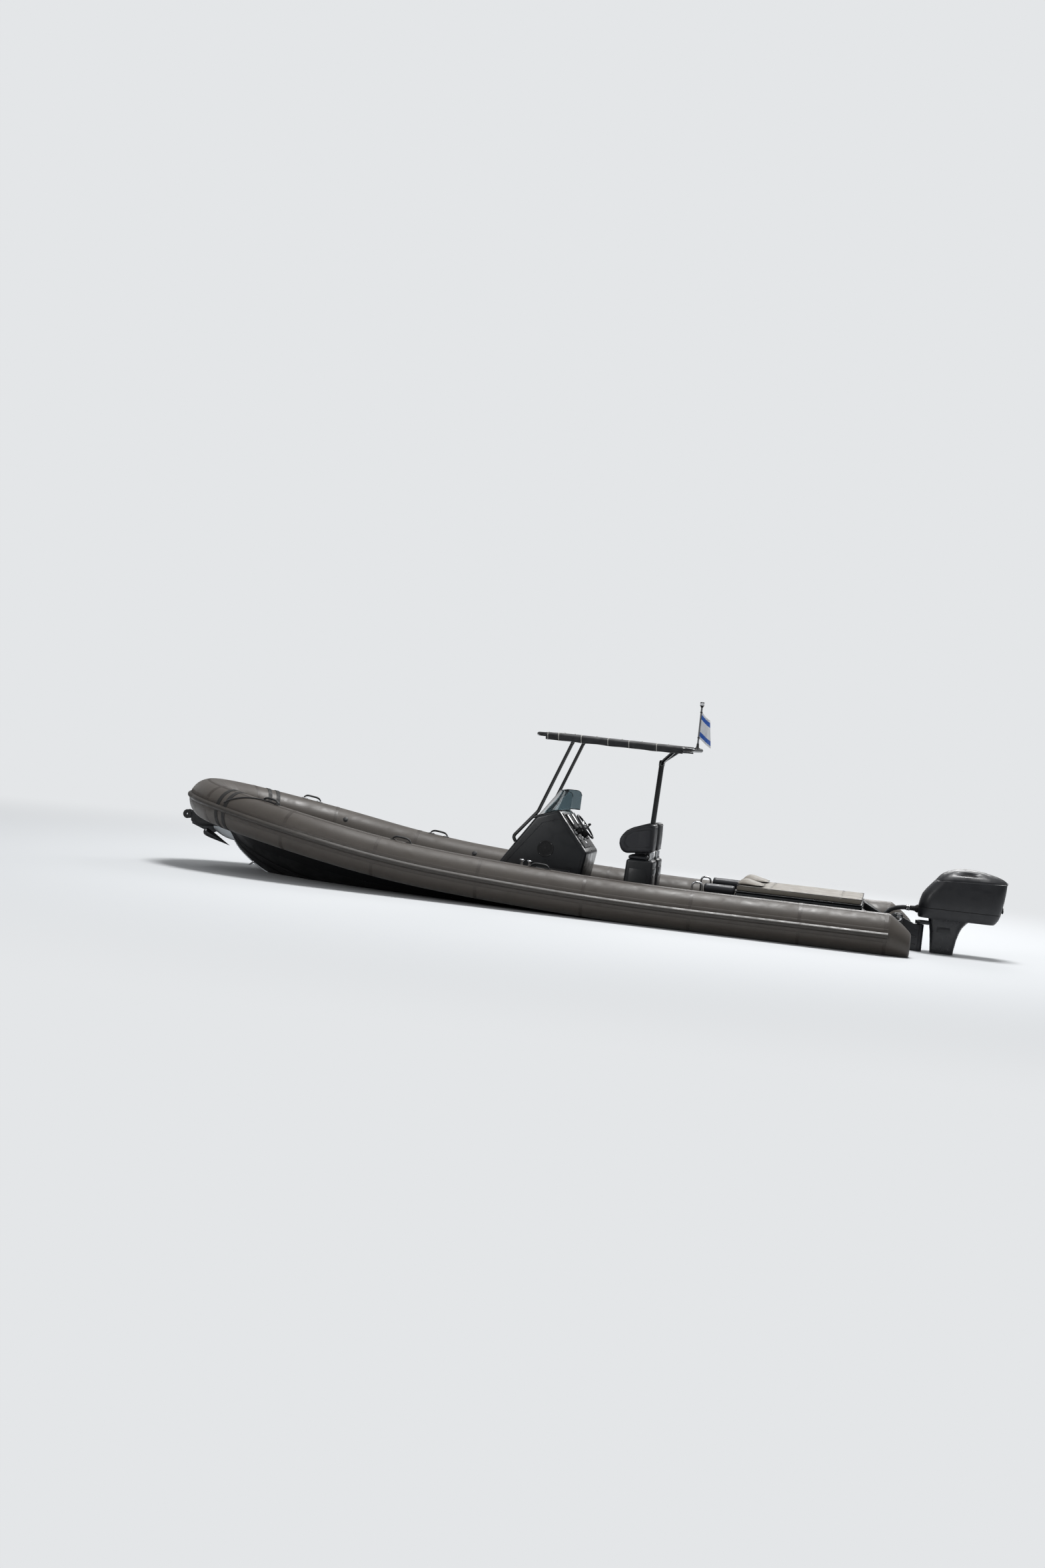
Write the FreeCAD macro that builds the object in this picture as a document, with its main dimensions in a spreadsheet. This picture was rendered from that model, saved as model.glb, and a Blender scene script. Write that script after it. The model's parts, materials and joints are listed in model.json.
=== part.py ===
"""Rigid inflatable boat with console, canopy frame, sunbed and outboard engine.

Frame: +X forward, +Y port, +Z up, origin on the centreline, amidships, at the waterline.
All lengths are millimetres and all angles degrees.
"""
import FreeCAD, Part
import math
import os
import Sketcher
from FreeCAD import Placement, Rotation, Vector

DOC = FreeCAD.newDocument("rigid_inflatable_boat")

# Driving dimensions: name, value, meaning
SIZE_ROWS = [
    # Buoyancy tubes
    ("tube_radius", 250, "inflated tube, half its diameter"),
    ("tube_spread", 1200, "centreline to tube centre, along the straight sides"),
    ("tube_level", 240, "tube centre above the water, aft"),
    ("tube_start", -4330, "aft end of the parallel tube, where its end cone starts"),
    ("sheer_start", -2200, "where the tubes begin to rise"),
    ("sheer_middle", 1000, "where the rise becomes steeper"),
    ("sheer_end", 2400, "where the rise becomes straight and the bow curve starts"),
    ("sheer_gentle", 4.1, "rise of the tubes at the middle of the sheer"),
    ("sheer_steep", 9.7, "rise of the tubes at the bow"),
    ("bow_reach", 2030, "length of the bow curve along its own slope"),
    ("bow_turn", 32, "turn of the long bow arc before the tight one"),
    ("cone_length", 270, "oblique end cone of a tube"),
    ("cone_end_radius", 150, "small end of the end cone"),
    ("strake_height", 70, "rubbing strake, across its foot"),
    ("strake_depth", 26, "rubbing strake, how far it stands out"),
    ("band_width", 55, "reinforcing band round the tube"),
    ("band_thick", 5, "reinforcing band, thickness"),
    ("band_angle", 27.5, "where the first band sits on the long bow arc"),
    ("band_step", 2.2, "turn between the two bands"),
    # Hull
    ("transom_x", -4350, "aft face of the transom"),
    ("transom_thick", 70, "transom thickness"),
    ("transom_top", 310, "top of the transom"),
    ("chine_flat", 40, "width of the flat chine"),
    ("sheer_inboard", 120, "hull edge inboard of the tube centre"),
    ("sheer_below", 130, "hull edge below the tube centre"),
    ("rail_width", 32, "spray rail, width of its flat"),
    ("rail_place", 0.52, "spray rail, share of the half width of the bottom"),
    ("sole_level", 50, "top of the cockpit sole"),
    ("sole_thick", 12, "sole panel"),
    ("cockpit_inset", 305, "side of the cockpit aft, inboard of the tube centre"),
    ("cockpit_waist", 40, "how much narrower the cockpit is at the console's toe"),
    ("cockpit_bow_inset", 600, "side of the cockpit at its front, inboard of the tube centre"),
    ("sole_gap", 1, "gap round the sole panel"),
    ("overcut", 1, "how far a cutting block passes a face"),
    ("cockpit_end", 2250, "front of the cockpit"),
    ("foredeck_thick", 12, "foredeck panel"),
    ("foredeck_gap", 14, "foredeck panel to the tube"),
    ("hatch_length", 460, "anchor hatch, fore and aft"),
    ("hatch_width", 420, "anchor hatch, across"),
    ("hatch_aft", 1150, "anchor hatch's forward edge, aft of the tubes' centre at the bow"),
    ("hatch_gap", 6, "gap round a lid"),
    ("locker_depth", 260, "depth of the anchor locker"),
    ("rest_gap", 0.3, "clearance between pieces that only lie near each other"),
    ("run_gap", 0.05, "radial clearance of a pin in its bore"),
    # Console
    ("console_half", 550, "half width of the console"),
    ("console_toe", 830, "foot of the console's front slope"),
    ("console_brow_x", 100, "top of the front slope, where the screen stands"),
    ("console_brow_z", 1135, "height of the brow"),
    ("dash_top_x", -170, "upper edge of the dash"),
    ("dash_top_z", 1230, "height of the dash's upper edge"),
    ("dash_foot_x", -570, "lower edge of the dash"),
    ("dash_foot_z", 743, "height of the dash's lower edge"),
    ("console_heel", -460, "aft foot of the console"),
    ("console_round", 30, "rounding of the console's side edges"),
    ("speaker_radius", 105, "loudspeaker in the console's side"),
    ("speaker_x", -55, "loudspeaker centre"),
    ("speaker_z", 745, "loudspeaker centre height"),
    ("speaker_depth", 14, "loudspeaker ring, how deep it is let in"),
    ("screen_height", 410, "windscreen, along its slope"),
    ("screen_thick", 8, "windscreen pane"),
    ("panel_thick", 10, "instrument panel"),
    ("panel_half", 420, "half width of the instrument panel"),
    ("display_width", 330, "chart display"),
    ("display_height", 215, "chart display"),
    ("display_thick", 24, "chart display, how far it stands out"),
    ("wheel_radius", 180, "steering wheel, centre of its rim"),
    ("wheel_rim", 14, "steering wheel rim, half its thickness"),
    ("wheel_y", 250, "steering wheel, to port of the centreline"),
    ("wheel_drop", 330, "steering wheel axis below the dash's upper edge, along it"),
    ("wheel_stand", 120, "steering wheel plane off the instrument panel"),
    ("column_radius", 38, "steering column boss"),
    ("throttle_y", -60, "throttle box, off the centreline"),
    # Canopy frame
    ("canopy_front", 170, "front of the canopy hoop"),
    ("canopy_rear", -1740, "rear of the canopy hoop"),
    ("canopy_half", 750, "half width of the canopy hoop"),
    ("canopy_level", 2150, "height of the hoop's tube"),
    ("canopy_corner", 160, "corner radius of the hoop"),
    ("hoop_radius", 25, "hoop tube, half its diameter"),
    ("canopy_inset", 110, "cloth short of the hoop's front and rear"),
    ("canopy_cloth", 10, "thickness of the cloth's solid"),
    ("leg_radius", 21, "front leg tube, half its diameter"),
    ("leg_inset", 32, "front leg, inboard of the console's side"),
    ("leg_bend", 54, "bend radius of the front legs"),
    ("leg_foot_z", 790, "height of a front leg's foot on the console's slope"),
    ("leg_knee_x", 370, "first bend of a front leg"),
    ("leg_knee_z", 850, "height of the first bend"),
    ("leg_bend_x", 90, "second bend of a front leg"),
    ("leg_bend_z", 1195, "height of the second bend"),
    ("leg_head_x", -270, "head of a front leg, under the hoop's cross bar"),
    ("brace_radius", 17, "standoff between a front leg and the console's brow"),
    ("mast_radius", 32, "rear mast tube, half its diameter"),
    ("mast_foot_x", -1250, "foot of the rear mast"),
    ("mast_head_x", -1320, "head of the rear mast"),
    ("mast_head_z", 1940, "height of the mast's head, where it forks"),
    ("fork_spread", 380, "fork ends, off the centreline"),
    ("fork_radius", 22, "fork tube, half its diameter"),
    ("fork_x", -1530, "fork ends, along the boat"),
    ("staff_radius", 11, "light staff"),
    ("staff_height", 540, "light staff above the hoop"),
    ("flag_width", 330, "flag, hoist"),
    ("flag_thick", 6, "flag, thickness of its solid"),
    # Seats
    ("seat_spread", 330, "helm seat centre, off the centreline"),
    ("seat_half", 230, "half width of a helm seat"),
    ("seat_front", -1040, "front of the seat box"),
    ("seat_back", -1400, "back of the seat box"),
    ("seat_top", 740, "top of the seat box"),
    ("bolster_front", -950, "front of the hip bolster"),
    ("bolster_back", -1385, "back of the hip bolster"),
    ("bolster_low", 800, "underside of the hip bolster"),
    ("bolster_high", 1200, "top of the hip bolster"),
    ("bolster_thick", 65, "padding of the hip bolster"),
    ("post_radius", 17, "seat post"),
    # Sunbed
    ("bed_front", -2450, "front of the sunbed"),
    ("bed_back", -3985, "aft edge of the sunbed"),
    ("bed_aisle", 145, "side of the sunbed, inboard of the cockpit's side"),
    ("bed_locker_top", 500, "top of the locker under the sunbed"),
    ("bed_wall", 25, "wall of the locker"),
    ("bed_lid_thick", 20, "lid of the locker"),
    ("bed_cushion", 75, "sunbed cushion"),
    ("headrest_length", 330, "headrest, fore and aft"),
    ("headrest_rise", 75, "headrest above the cushion"),
    ("headrest_half", 230, "half width of a headrest"),
    ("roll_length", 390, "armrest roll"),
    ("roll_radius", 62, "armrest roll, half its height"),
    ("roll_inset", 60, "armrest roll's axis, inboard of the sunbed's side"),
    # Splash well
    ("coaming_wide", 560, "inner face of a quarter coaming, inboard of the tube centre"),
    ("coaming_edge", 160, "outer edge of a quarter coaming, inboard of the tube centre"),
    ("coaming_gap", 2, "quarter coaming to the sunbed's locker"),
    ("coaming_high", 485, "coaming height at the sunbed"),
    ("coaming_low", 330, "coaming height at the transom"),
    # Outboard engine
    ("tilt_x", -4440, "tilt axis"),
    ("tilt_z", 385, "height of the tilt axis"),
    ("steer_x", -4700, "steering axis"),
    ("tilt_tube", 22, "tilt tube, half its diameter"),
    ("clamp_inner", 115, "inner face of a clamp arm"),
    ("clamp_thick", 34, "clamp arm"),
    ("clamp_low", -190, "lower end of the clamp arms"),
    ("swivel_clear", 6, "swivel bracket to the clamp arms"),
    ("kingpin_radius", 30, "steering shaft"),
    ("swivel_radius", 50, "steering shaft's housing"),
    ("swivel_low", -210, "lower end of the shaft's housing"),
    ("swivel_high", 330, "upper end of the shaft's housing"),
    ("cowl_base", 430, "underside of the lower cowl"),
    ("cowl_split", 560, "joint between the lower and upper cowl"),
    ("cowl_top", 1050, "crown of the cowl"),
    ("cowl_wall", 8, "wall of the cowls"),
    ("plate_level", -455, "underside of the plate above the propeller"),
    ("plate_thick", 14, "plate above the propeller"),
    ("prop_level", -695, "propeller axis"),
    ("prop_radius", 200, "propeller, half its diameter"),
    ("prop_x", -5225, "front of the propeller hub"),
    ("hub_radius", 62, "propeller hub"),
    ("hub_length", 190, "propeller hub"),
    ("shaft_radius", 15, "propeller shaft"),
    ("bullet_radius", 66, "gearcase bullet"),
    ("skeg_low", -930, "lower end of the skeg"),
    ("hose_side", 70, "rigging hose, to port of the centreline"),
    ("hose_well", 65, "rigging hose ahead of the transom"),
    ("hose_foot", 130, "lower end of the rigging hose above the sole"),
    ("hose_level", 520, "rigging hose where it enters the lower cowl"),
    ("hose_bend", 230, "bend radius of the rigging hose"),
    ("hose_radius", 29, "rigging hose, half its diameter"),
    # Bow fittings
    ("roller_ahead", 289, "anchor roller axis ahead of the tubes' centre at the bow"),
    ("roller_drop", 238, "anchor roller axis below the tubes' centre at the bow"),
    ("roller_radius", 42, "anchor roller"),
    ("roller_half", 40, "half length of the anchor roller"),
    ("roller_pin", 8, "anchor roller pin"),
    ("cheek_thick", 8, "cheek of the roller bracket"),
    ("nose_half", 75, "half width of the nose moulding"),
    ("eye_bar", 8, "tow eye bar, half its thickness"),
    ("eye_z", 110, "height of the tow eye"),
    ("handle_fore", 3380, "foremost grab handle"),
    ("handle_middle", 1655, "middle grab handle"),
    ("handle_aft", -95, "aftmost grab handle"),
    ("handle_length", 250, "grab handle, foot to foot"),
    ("handle_rise", 62, "grab handle above the tube"),
    ("handle_width", 44, "grab handle strap"),
    ("bollard_x", 120, "middle of the pair of mooring posts"),
    ("bollard_step", 46, "mooring post off the pair's middle"),
    ("bollard_radius", 19, "mooring post"),
    ("bollard_rise", 110, "mooring post above its pad"),
    ("bollard_pad", 190, "top of the posts' pedestal above the tube's centre"),
]


def formula_of(value):
    """Text of a number or of a linked number, for a formula."""
    return value.formula if isinstance(value, Linked) else "(%r)" % float(value)


class Linked(float):
    """A number that keeps the formula of sheet names it came from."""

    def __new__(cls, value, formula):
        made = super().__new__(cls, value)
        made.formula = formula
        return made

    def join(self, sign, other, value, swapped=False):
        """The linked result of one sum or product."""
        pair = [formula_of(self), formula_of(other)]
        if swapped:
            pair.reverse()
        return Linked(value, "(%s %s %s)" % (pair[0], sign, pair[1]))

    def __add__(self, other):
        return self.join("+", other, float(self) + float(other))

    def __radd__(self, other):
        return self.join("+", other, float(self) + float(other), True)

    def __sub__(self, other):
        return self.join("-", other, float(self) - float(other))

    def __rsub__(self, other):
        return self.join("-", other, float(other) - float(self), True)

    def __mul__(self, other):
        return self.join("*", other, float(self) * float(other))

    def __rmul__(self, other):
        return self.join("*", other, float(self) * float(other), True)

    def __truediv__(self, other):
        return self.join("/", other, float(self) / float(other))

    def __neg__(self):
        return Linked(-float(self), "(-%s)" % formula_of(self))


class Sizes:
    """The sheet of driving dimensions, each read back as a linked number."""

    def __init__(self, rows):
        self.sheet = DOC.addObject("Spreadsheet::Sheet", "Sizes")
        for number, (alias, value, meaning) in enumerate(rows, start=1):
            self.sheet.set("A%d" % number, alias)
            self.sheet.set("B%d" % number, str(value))
            self.sheet.set("C%d" % number, meaning)
            self.sheet.setAlias("B%d" % number, alias)
        DOC.recompute()
        for alias, _, _ in rows:
            setattr(self, alias, Linked(float(self.sheet.get(alias)), "Sizes." + alias))


size = Sizes(SIZE_ROWS)
SIDES = (("port", 1), ("starboard", -1))
FORWARD = Vector(1, 0, 0)
PORTWARD = Vector(0, 1, 0)
UP = Vector(0, 0, 1)
parts = []


def bind(thing, name, value):
    """Ties one property to the sheet."""
    thing.setExpression(name, formula_of(value))


def new_body(label):
    """A body with its own label, which also names its file."""
    body = DOC.addObject("PartDesign::Body", label)
    body.Label = label
    parts.append(body)
    return body


def shaped(label, shape, place=None):
    """A piece whose shape comes from the sheet's values by formula."""
    piece = DOC.addObject("Part::Feature", label)
    piece.Label = label
    piece.Shape = shape
    if place:
        piece.Placement = place
    parts.append(piece)
    return piece


def piece_named(label):
    """The shape of a piece that is already built."""
    return [part.Shape for part in parts if part.Label == label][0]


def new_sketch(body, role, level):
    """An empty sketch on one of the body's own origin planes."""
    sketch = body.newObject("Sketcher::SketchObject", body.Label + "_sketch")
    plane = [item for item in body.Origin.OriginFeatures if item.Role == role][0]
    sketch.AttachmentSupport = (plane, "")
    sketch.MapMode = "FlatFace"
    bind(sketch, "AttachmentOffset.Base.z", level)
    return sketch


def pin_point(sketch, geometry, point, place):
    """Fixes one point of a sketch by two dimensions tied to the sheet."""
    for kind, value in zip(("DistanceX", "DistanceY"), place):
        number = sketch.addConstraint(Sketcher.Constraint(kind, -1, 1, geometry, point, float(value)))
        sketch.setExpression("Constraints[%d]" % number, formula_of(value))


def outline(body, role, corners, level=0):
    """A closed outline of straight sides, each corner tied to the sheet."""
    sketch = new_sketch(body, role, level)
    count = len(corners)
    places = [Vector(float(u), float(v), 0) for u, v in corners]
    for number in range(count):
        line = Part.LineSegment(places[number], places[(number + 1) % count])
        sketch.addGeometry(line, False)
    for number in range(count):
        sketch.addConstraint(Sketcher.Constraint("Coincident", number, 2, (number + 1) % count, 1))
    for number, place in enumerate(corners):
        pin_point(sketch, number, 1, place)
    return sketch


def circle(body, role, place, radius, level=0):
    """A sketch of one circle."""
    sketch = new_sketch(body, role, level)
    centre = Vector(float(place[0]), float(place[1]), 0)
    sketch.addGeometry(Part.Circle(centre, UP, float(radius)), False)
    number = sketch.addConstraint(Sketcher.Constraint("Radius", 0, float(radius)))
    sketch.setExpression("Constraints[%d]" % number, formula_of(radius))
    pin_point(sketch, 0, 3, place)
    return sketch


def pad(body, sketch, length, both_sides=False, backwards=False):
    """A pad of the sketch."""
    feature = body.newObject("PartDesign::Pad", body.Label + "_pad")
    feature.Profile = sketch
    bind(feature, "Length", length)
    feature.SideType = "Symmetric" if both_sides else "One side"
    feature.Reversed = backwards
    DOC.recompute()
    return feature


def pocket(body, sketch, length, both_sides=False, backwards=False):
    """A pocket of the sketch, which has to take material away."""
    before = body.Shape.Volume
    feature = body.newObject("PartDesign::Pocket", body.Label + "_pocket")
    feature.Profile = sketch
    bind(feature, "Length", length)
    feature.SideType = "Symmetric" if both_sides else "One side"
    feature.Reversed = backwards
    DOC.recompute()
    if not body.Shape.Volume < before:
        raise RuntimeError("a pocket of %s cuts nothing" % body.Label)
    return feature


def turned(body, role, corners, axis_role):
    """A solid of revolution about one of the body's own axes."""
    sketch = outline(body, role, corners)
    axis = [item for item in body.Origin.OriginFeatures if item.Role == axis_role][0]
    feature = body.newObject("PartDesign::Revolution", body.Label + "_turned")
    feature.Profile = sketch
    feature.ReferenceAxis = (axis, [""])
    feature.Angle = 360
    DOC.recompute()
    return feature


def along(axis):
    """A test for straight edges that run along an axis."""
    def test(edge):
        if not isinstance(edge.Curve, Part.Line):
            return False
        return abs(abs(edge.Curve.Direction.dot(axis)) - 1) < 1e-6
    return test


def rounded(body, base, test, radius):
    """A fillet on the edges that pass a test."""
    names = ["Edge%d" % (index + 1) for index, edge in enumerate(base.Shape.Edges) if test(edge)]
    feature = body.newObject("PartDesign::Fillet", body.Label + "_round")
    feature.Base = (base, names)
    bind(feature, "Radius", radius)
    DOC.recompute()
    return feature


def mirrored_pair(shape):
    """A shape and its mirror image across the centreline."""
    return [shape, shape.mirror(Vector(0, 0, 0), PORTWARD)]


def fused(shapes):
    """One solid from several that meet."""
    return shapes[0].multiFuse(shapes[1:]).removeSplitter()


class Course:
    """A path of straight runs and tangent arcs that carries a flat section along."""

    def __init__(self, start, heading):
        self.place = start
        self.heading = heading
        self.steps = []

    def run(self, length):
        """A straight run."""
        self.steps.append(("run", self.heading * length))
        self.place = self.place + self.heading * length

    def turn(self, axis, radius, angle):
        """An arc that turns the heading about an axis."""
        centre = self.place + axis.cross(self.heading) * radius
        spin = Rotation(axis, angle)
        self.steps.append(("turn", centre, axis, angle))
        self.place = centre + spin.multVec(self.place - centre)
        self.heading = spin.multVec(self.heading)

    def carry(self, face, first=0, last=None):
        """The solid that a section sweeps, from one step to another."""
        pieces = []
        for number, step in enumerate(self.steps[:last]):
            if step[0] == "run":
                piece = face.extrude(step[1])
                face = face.translated(step[1])
            else:
                piece = face.revolve(step[1], step[2], step[3])
                face = face.copy()
                face.rotate(step[1], step[2], step[3])
            if number >= first:
                pieces.append(piece)
        return fused(pieces)


def disc(centre, normal, radius):
    """A round flat face."""
    return Part.Face(Part.Wire(Part.makeCircle(float(radius), centre, normal)))


def flat(points):
    """A flat face with straight sides."""
    return Part.Face(Part.makePolygon(points + points[:1]))


def bent_course(points, bend, closed=False):
    """The course through points, with an arc of one radius at each corner."""
    corners = list(points)
    if closed:
        middle = (points[0] + points[1]) * 0.5
        corners = [middle] + points[1:] + [points[0], middle]
    headings = [(after - before).normalize() for before, after in zip(corners, corners[1:])]
    course = Course(corners[0], headings[0])
    for number, (before, after) in enumerate(zip(headings, headings[1:]), start=1):
        angle = before.getAngle(after)
        reach = float(bend) * math.tan(angle / 2)
        course.run((corners[number] - course.place).Length - reach)
        course.turn(before.cross(after).normalize(), float(bend), math.degrees(angle))
    course.run((corners[-1] - course.place).Length)
    return course


def bent_tube(points, bend, radius, closed=False):
    """A round tube through points."""
    course = bent_course(points, bend, closed)
    start = (points[0] + points[1]) * 0.5 if closed else points[0]
    heading = (points[1] - points[0]).normalize()
    return course.carry(disc(start, heading, radius))


# The tubes' centre line, which the hull, strakes, bands, handles and foredeck follow
def bow_radii():
    """Radii of the long and the tight bow arc, from reach, spread and turn."""
    turn = math.radians(size.bow_turn)
    across = (1 - math.cos(turn), math.cos(turn))
    ahead = (math.sin(turn), 1 - math.sin(turn))
    det = across[0] * ahead[1] - across[1] * ahead[0]
    long_radius = (size.tube_spread * ahead[1] - across[1] * size.bow_reach) / det
    tight_radius = (across[0] * size.bow_reach - size.tube_spread * ahead[0]) / det
    return float(long_radius), float(tight_radius)


LONG_RADIUS, TIGHT_RADIUS = bow_radii()
GENTLE = math.radians(size.sheer_gentle)
STEEP = math.radians(size.sheer_steep)
GENTLE_RADIUS = float(size.sheer_middle - size.sheer_start) / math.sin(GENTLE)
STEEP_RADIUS = float(size.sheer_end - size.sheer_middle) / (math.sin(STEEP) - math.sin(GENTLE))
MIDDLE_LEVEL = size.tube_level + GENTLE_RADIUS * (1 - math.cos(GENTLE))
BOW_LEVEL = MIDDLE_LEVEL + STEEP_RADIUS * (math.cos(GENTLE) - math.cos(STEEP))
BOW_UP = Vector(-math.sin(STEEP), 0, math.cos(STEEP))
BOW_PLACE = Placement(Vector(float(size.sheer_end), 0, float(BOW_LEVEL)), Rotation(PORTWARD, -size.sheer_steep))


def tube_course():
    """The port tube's centre line from its end cone to the centreline at the bow."""
    start = Vector(float(size.tube_start), float(size.tube_spread), float(size.tube_level))
    course = Course(start, FORWARD)
    course.run(float(size.sheer_start - size.tube_start))
    course.turn(-PORTWARD, GENTLE_RADIUS, float(size.sheer_gentle))
    course.turn(-PORTWARD, STEEP_RADIUS, float(size.sheer_steep - size.sheer_gentle))
    course.turn(-BOW_UP, LONG_RADIUS, float(size.bow_turn))
    course.turn(-BOW_UP, TIGHT_RADIUS, 90 - float(size.bow_turn))
    return course


def tube_centre(x):
    """Half spread and height of the tube's centre at a place along the boat."""
    if x <= size.sheer_start:
        return float(size.tube_spread), float(size.tube_level)
    if x <= size.sheer_middle:
        run = x - size.sheer_start
        return float(size.tube_spread), float(size.tube_level) + GENTLE_RADIUS - math.sqrt(GENTLE_RADIUS**2 - run**2)
    if x <= size.sheer_end:
        run = x - size.sheer_middle + STEEP_RADIUS * math.sin(GENTLE)
        drop = STEEP_RADIUS * math.cos(GENTLE) - math.sqrt(STEEP_RADIUS**2 - run**2)
        return float(size.tube_spread), float(MIDDLE_LEVEL) + drop
    level = float(BOW_LEVEL) + (x - size.sheer_end) * math.tan(STEEP)
    ahead = (x - size.sheer_end) / math.cos(STEEP)
    if ahead <= LONG_RADIUS * math.sin(math.radians(size.bow_turn)):
        return float(size.tube_spread) - LONG_RADIUS + math.sqrt(LONG_RADIUS**2 - ahead**2), level
    return math.sqrt(TIGHT_RADIUS**2 - (ahead - float(size.bow_reach) + TIGHT_RADIUS) ** 2), level


COURSE = tube_course()


def tube_face(radius):
    """The tube's section at the start of its course, at some radius."""
    start = Vector(float(size.tube_start), float(size.tube_spread), float(size.tube_level))
    return disc(start, FORWARD, radius)


def tube_solid():
    """The port tube with its oblique end cone."""
    start = Vector(float(size.tube_start), float(size.tube_spread), float(size.tube_level))
    drop = float(size.tube_radius - size.cone_end_radius)
    end = start + Vector(-float(size.cone_length), 0, -drop)
    rings = [Part.Wire(Part.makeCircle(float(radius), centre, FORWARD))
             for centre, radius in ((end, size.cone_end_radius), (start, size.tube_radius))]
    cone = Part.makeLoft(rings, True, True)
    return fused([COURSE.carry(tube_face(size.tube_radius)), cone])


def make_tubes():
    """The two buoyancy tubes, which meet face to face at the bow."""
    solid = tube_solid()
    for (side, _), shape in zip(SIDES, mirrored_pair(solid)):
        shaped("tube_" + side, shape)
    return solid


def make_strake():
    """The rubbing strake, one D section all round the tubes' outer side."""
    start = Vector(float(size.tube_start), float(size.tube_spread + size.tube_radius), float(size.tube_level))
    half = float(size.strake_height) / 2
    deep = float(size.strake_depth)
    inset = float(size.tube_radius) - math.sqrt(float(size.tube_radius) ** 2 - half**2)
    foot_low = start + Vector(0, -inset, -half)
    foot_high = start + Vector(0, -inset, half)
    nose = start + Vector(0, deep, 0)
    edges = [Part.Arc(foot_low, nose, foot_high).toShape(), Part.makeLine(foot_high, foot_low)]
    band = COURSE.carry(Part.Face(Part.Wire(edges)))
    port = band.cut(COURSE.carry(tube_face(size.tube_radius)))
    shaped("rubbing_strake", fused(mirrored_pair(port)))


def make_bands():
    """Two reinforcing bands round each tube at the shoulder of the bow."""
    outer = tube_face(size.tube_radius + size.band_thick)
    ring = outer.cut(tube_face(size.tube_radius))
    below = [piece_named("rubbing_strake"), piece_named("hull")]
    bands = []
    for number in range(2):
        course = Course(COURSE.place, COURSE.heading)
        course.steps = COURSE.steps[:3]
        angle = float(size.band_angle + size.band_step * number)
        long_turn = COURSE.steps[3]
        short = math.degrees(float(size.band_width) / LONG_RADIUS)
        course.steps = course.steps + [("turn", long_turn[1], long_turn[2], angle),
                                       ("turn", long_turn[1], long_turn[2], short)]
        band = course.carry(ring, first=4)
        for shape in below:
            band = band.cut(shape)
        bands += band.Solids
    shaped("bow_bands", Part.makeCompound([copy for band in bands for copy in mirrored_pair(band)]))


def on_run(share):
    """A place between the transom and the start of the bow curve."""
    return size.transom_x + (size.sheer_end - size.transom_x) * share


def on_bow(share):
    """A place on the bow curve, by its share of the reach."""
    return size.sheer_end + size.bow_reach * math.cos(STEEP) * share


# Hull sections: place, then keel level, chine half width and chine level as shares of the tubes' spread
HULL_RUN = [
    (on_run(0.0), -0.375, 0.75, -0.035),
    (size.sheer_start, -0.375, 0.75, -0.035),
    (on_run(0.4444), -0.375, 0.75, -0.035),
]
HULL_BOW = [
    (on_run(0.4444), -0.375, 0.75, -0.035),
    (on_run(0.5926), -0.3725, 0.75, -0.0275),
    (on_run(0.7407), -0.36, 0.7433, -0.0042),
    (on_run(0.8741), -0.3317, 0.7208, 0.0458),
    (on_run(0.9926), -0.275, 0.6625, 0.1083),
    (on_bow(0.3248), -0.1625, 0.5625, 0.1917),
    (on_bow(0.5997), 0.0125, 0.4, 0.2917),
    (on_bow(0.7746), 0.2083, 0.225, 0.3875),
    (on_bow(0.8746), 0.4208, 0.0667, 0.4917),
]


def hull_section(x, keel_share, chine_share, chine_level_share):
    """One closed section of the hull, with spray rails and flat chines."""
    spread, level = tube_centre(x)
    keel, chine, chine_level = (float(size.tube_spread) * share
                                for share in (keel_share, chine_share, chine_level_share))
    edge = (spread - float(size.sheer_inboard), level - float(size.sheer_below))
    place = float(size.rail_place)
    rail = (chine * place, keel + (chine_level - keel) * place)
    flat_width = min(float(size.rail_width), chine * (1 - place) / 2)
    half = [rail, (rail[0] + flat_width, rail[1]), (chine, chine_level),
            (chine + float(size.chine_flat), chine_level), edge]
    port = [Vector(float(x), y, z) for y, z in half]
    starboard = [Vector(float(x), -y, z) for y, z in reversed(half)]
    return Part.makePolygon([Vector(float(x), 0, keel)] + port + starboard + [Vector(float(x), 0, keel)])


COCKPIT_HALF = size.tube_spread - size.cockpit_inset
BED_HALF = COCKPIT_HALF - size.bed_aisle
ROLL_SPREAD = BED_HALF - size.roll_inset


def cockpit_space():
    """What the cockpit takes out of the hull, from its floor up."""
    floor = float(size.sole_level - size.sole_thick)
    back = float(size.transom_x + size.transom_thick)
    shoulder = float(size.console_toe)
    plan = [(back, float(COCKPIT_HALF)), (shoulder, float(COCKPIT_HALF - size.cockpit_waist)),
            (float(size.cockpit_end), float(size.tube_spread - size.cockpit_bow_inset))]
    outline_points = [Vector(x, y, floor) for x, y in plan] + [Vector(x, -y, floor) for x, y in reversed(plan)]
    return flat(outline_points).extrude(UP * float(size.canopy_level))


def above_foredeck():
    """All that lies above the foredeck's plane."""
    low = -float(size.sheer_below)
    back = float(size.sheer_end - size.cockpit_end + size.tube_radius)
    ahead = float(size.bow_reach + size.tube_radius)
    block = Part.makeBox(back + ahead, 4 * float(size.tube_spread), float(size.tube_spread))
    block.translate(Vector(-back, -2 * float(size.tube_spread), low))
    block.Placement = BOW_PLACE.multiply(block.Placement)
    return block


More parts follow.
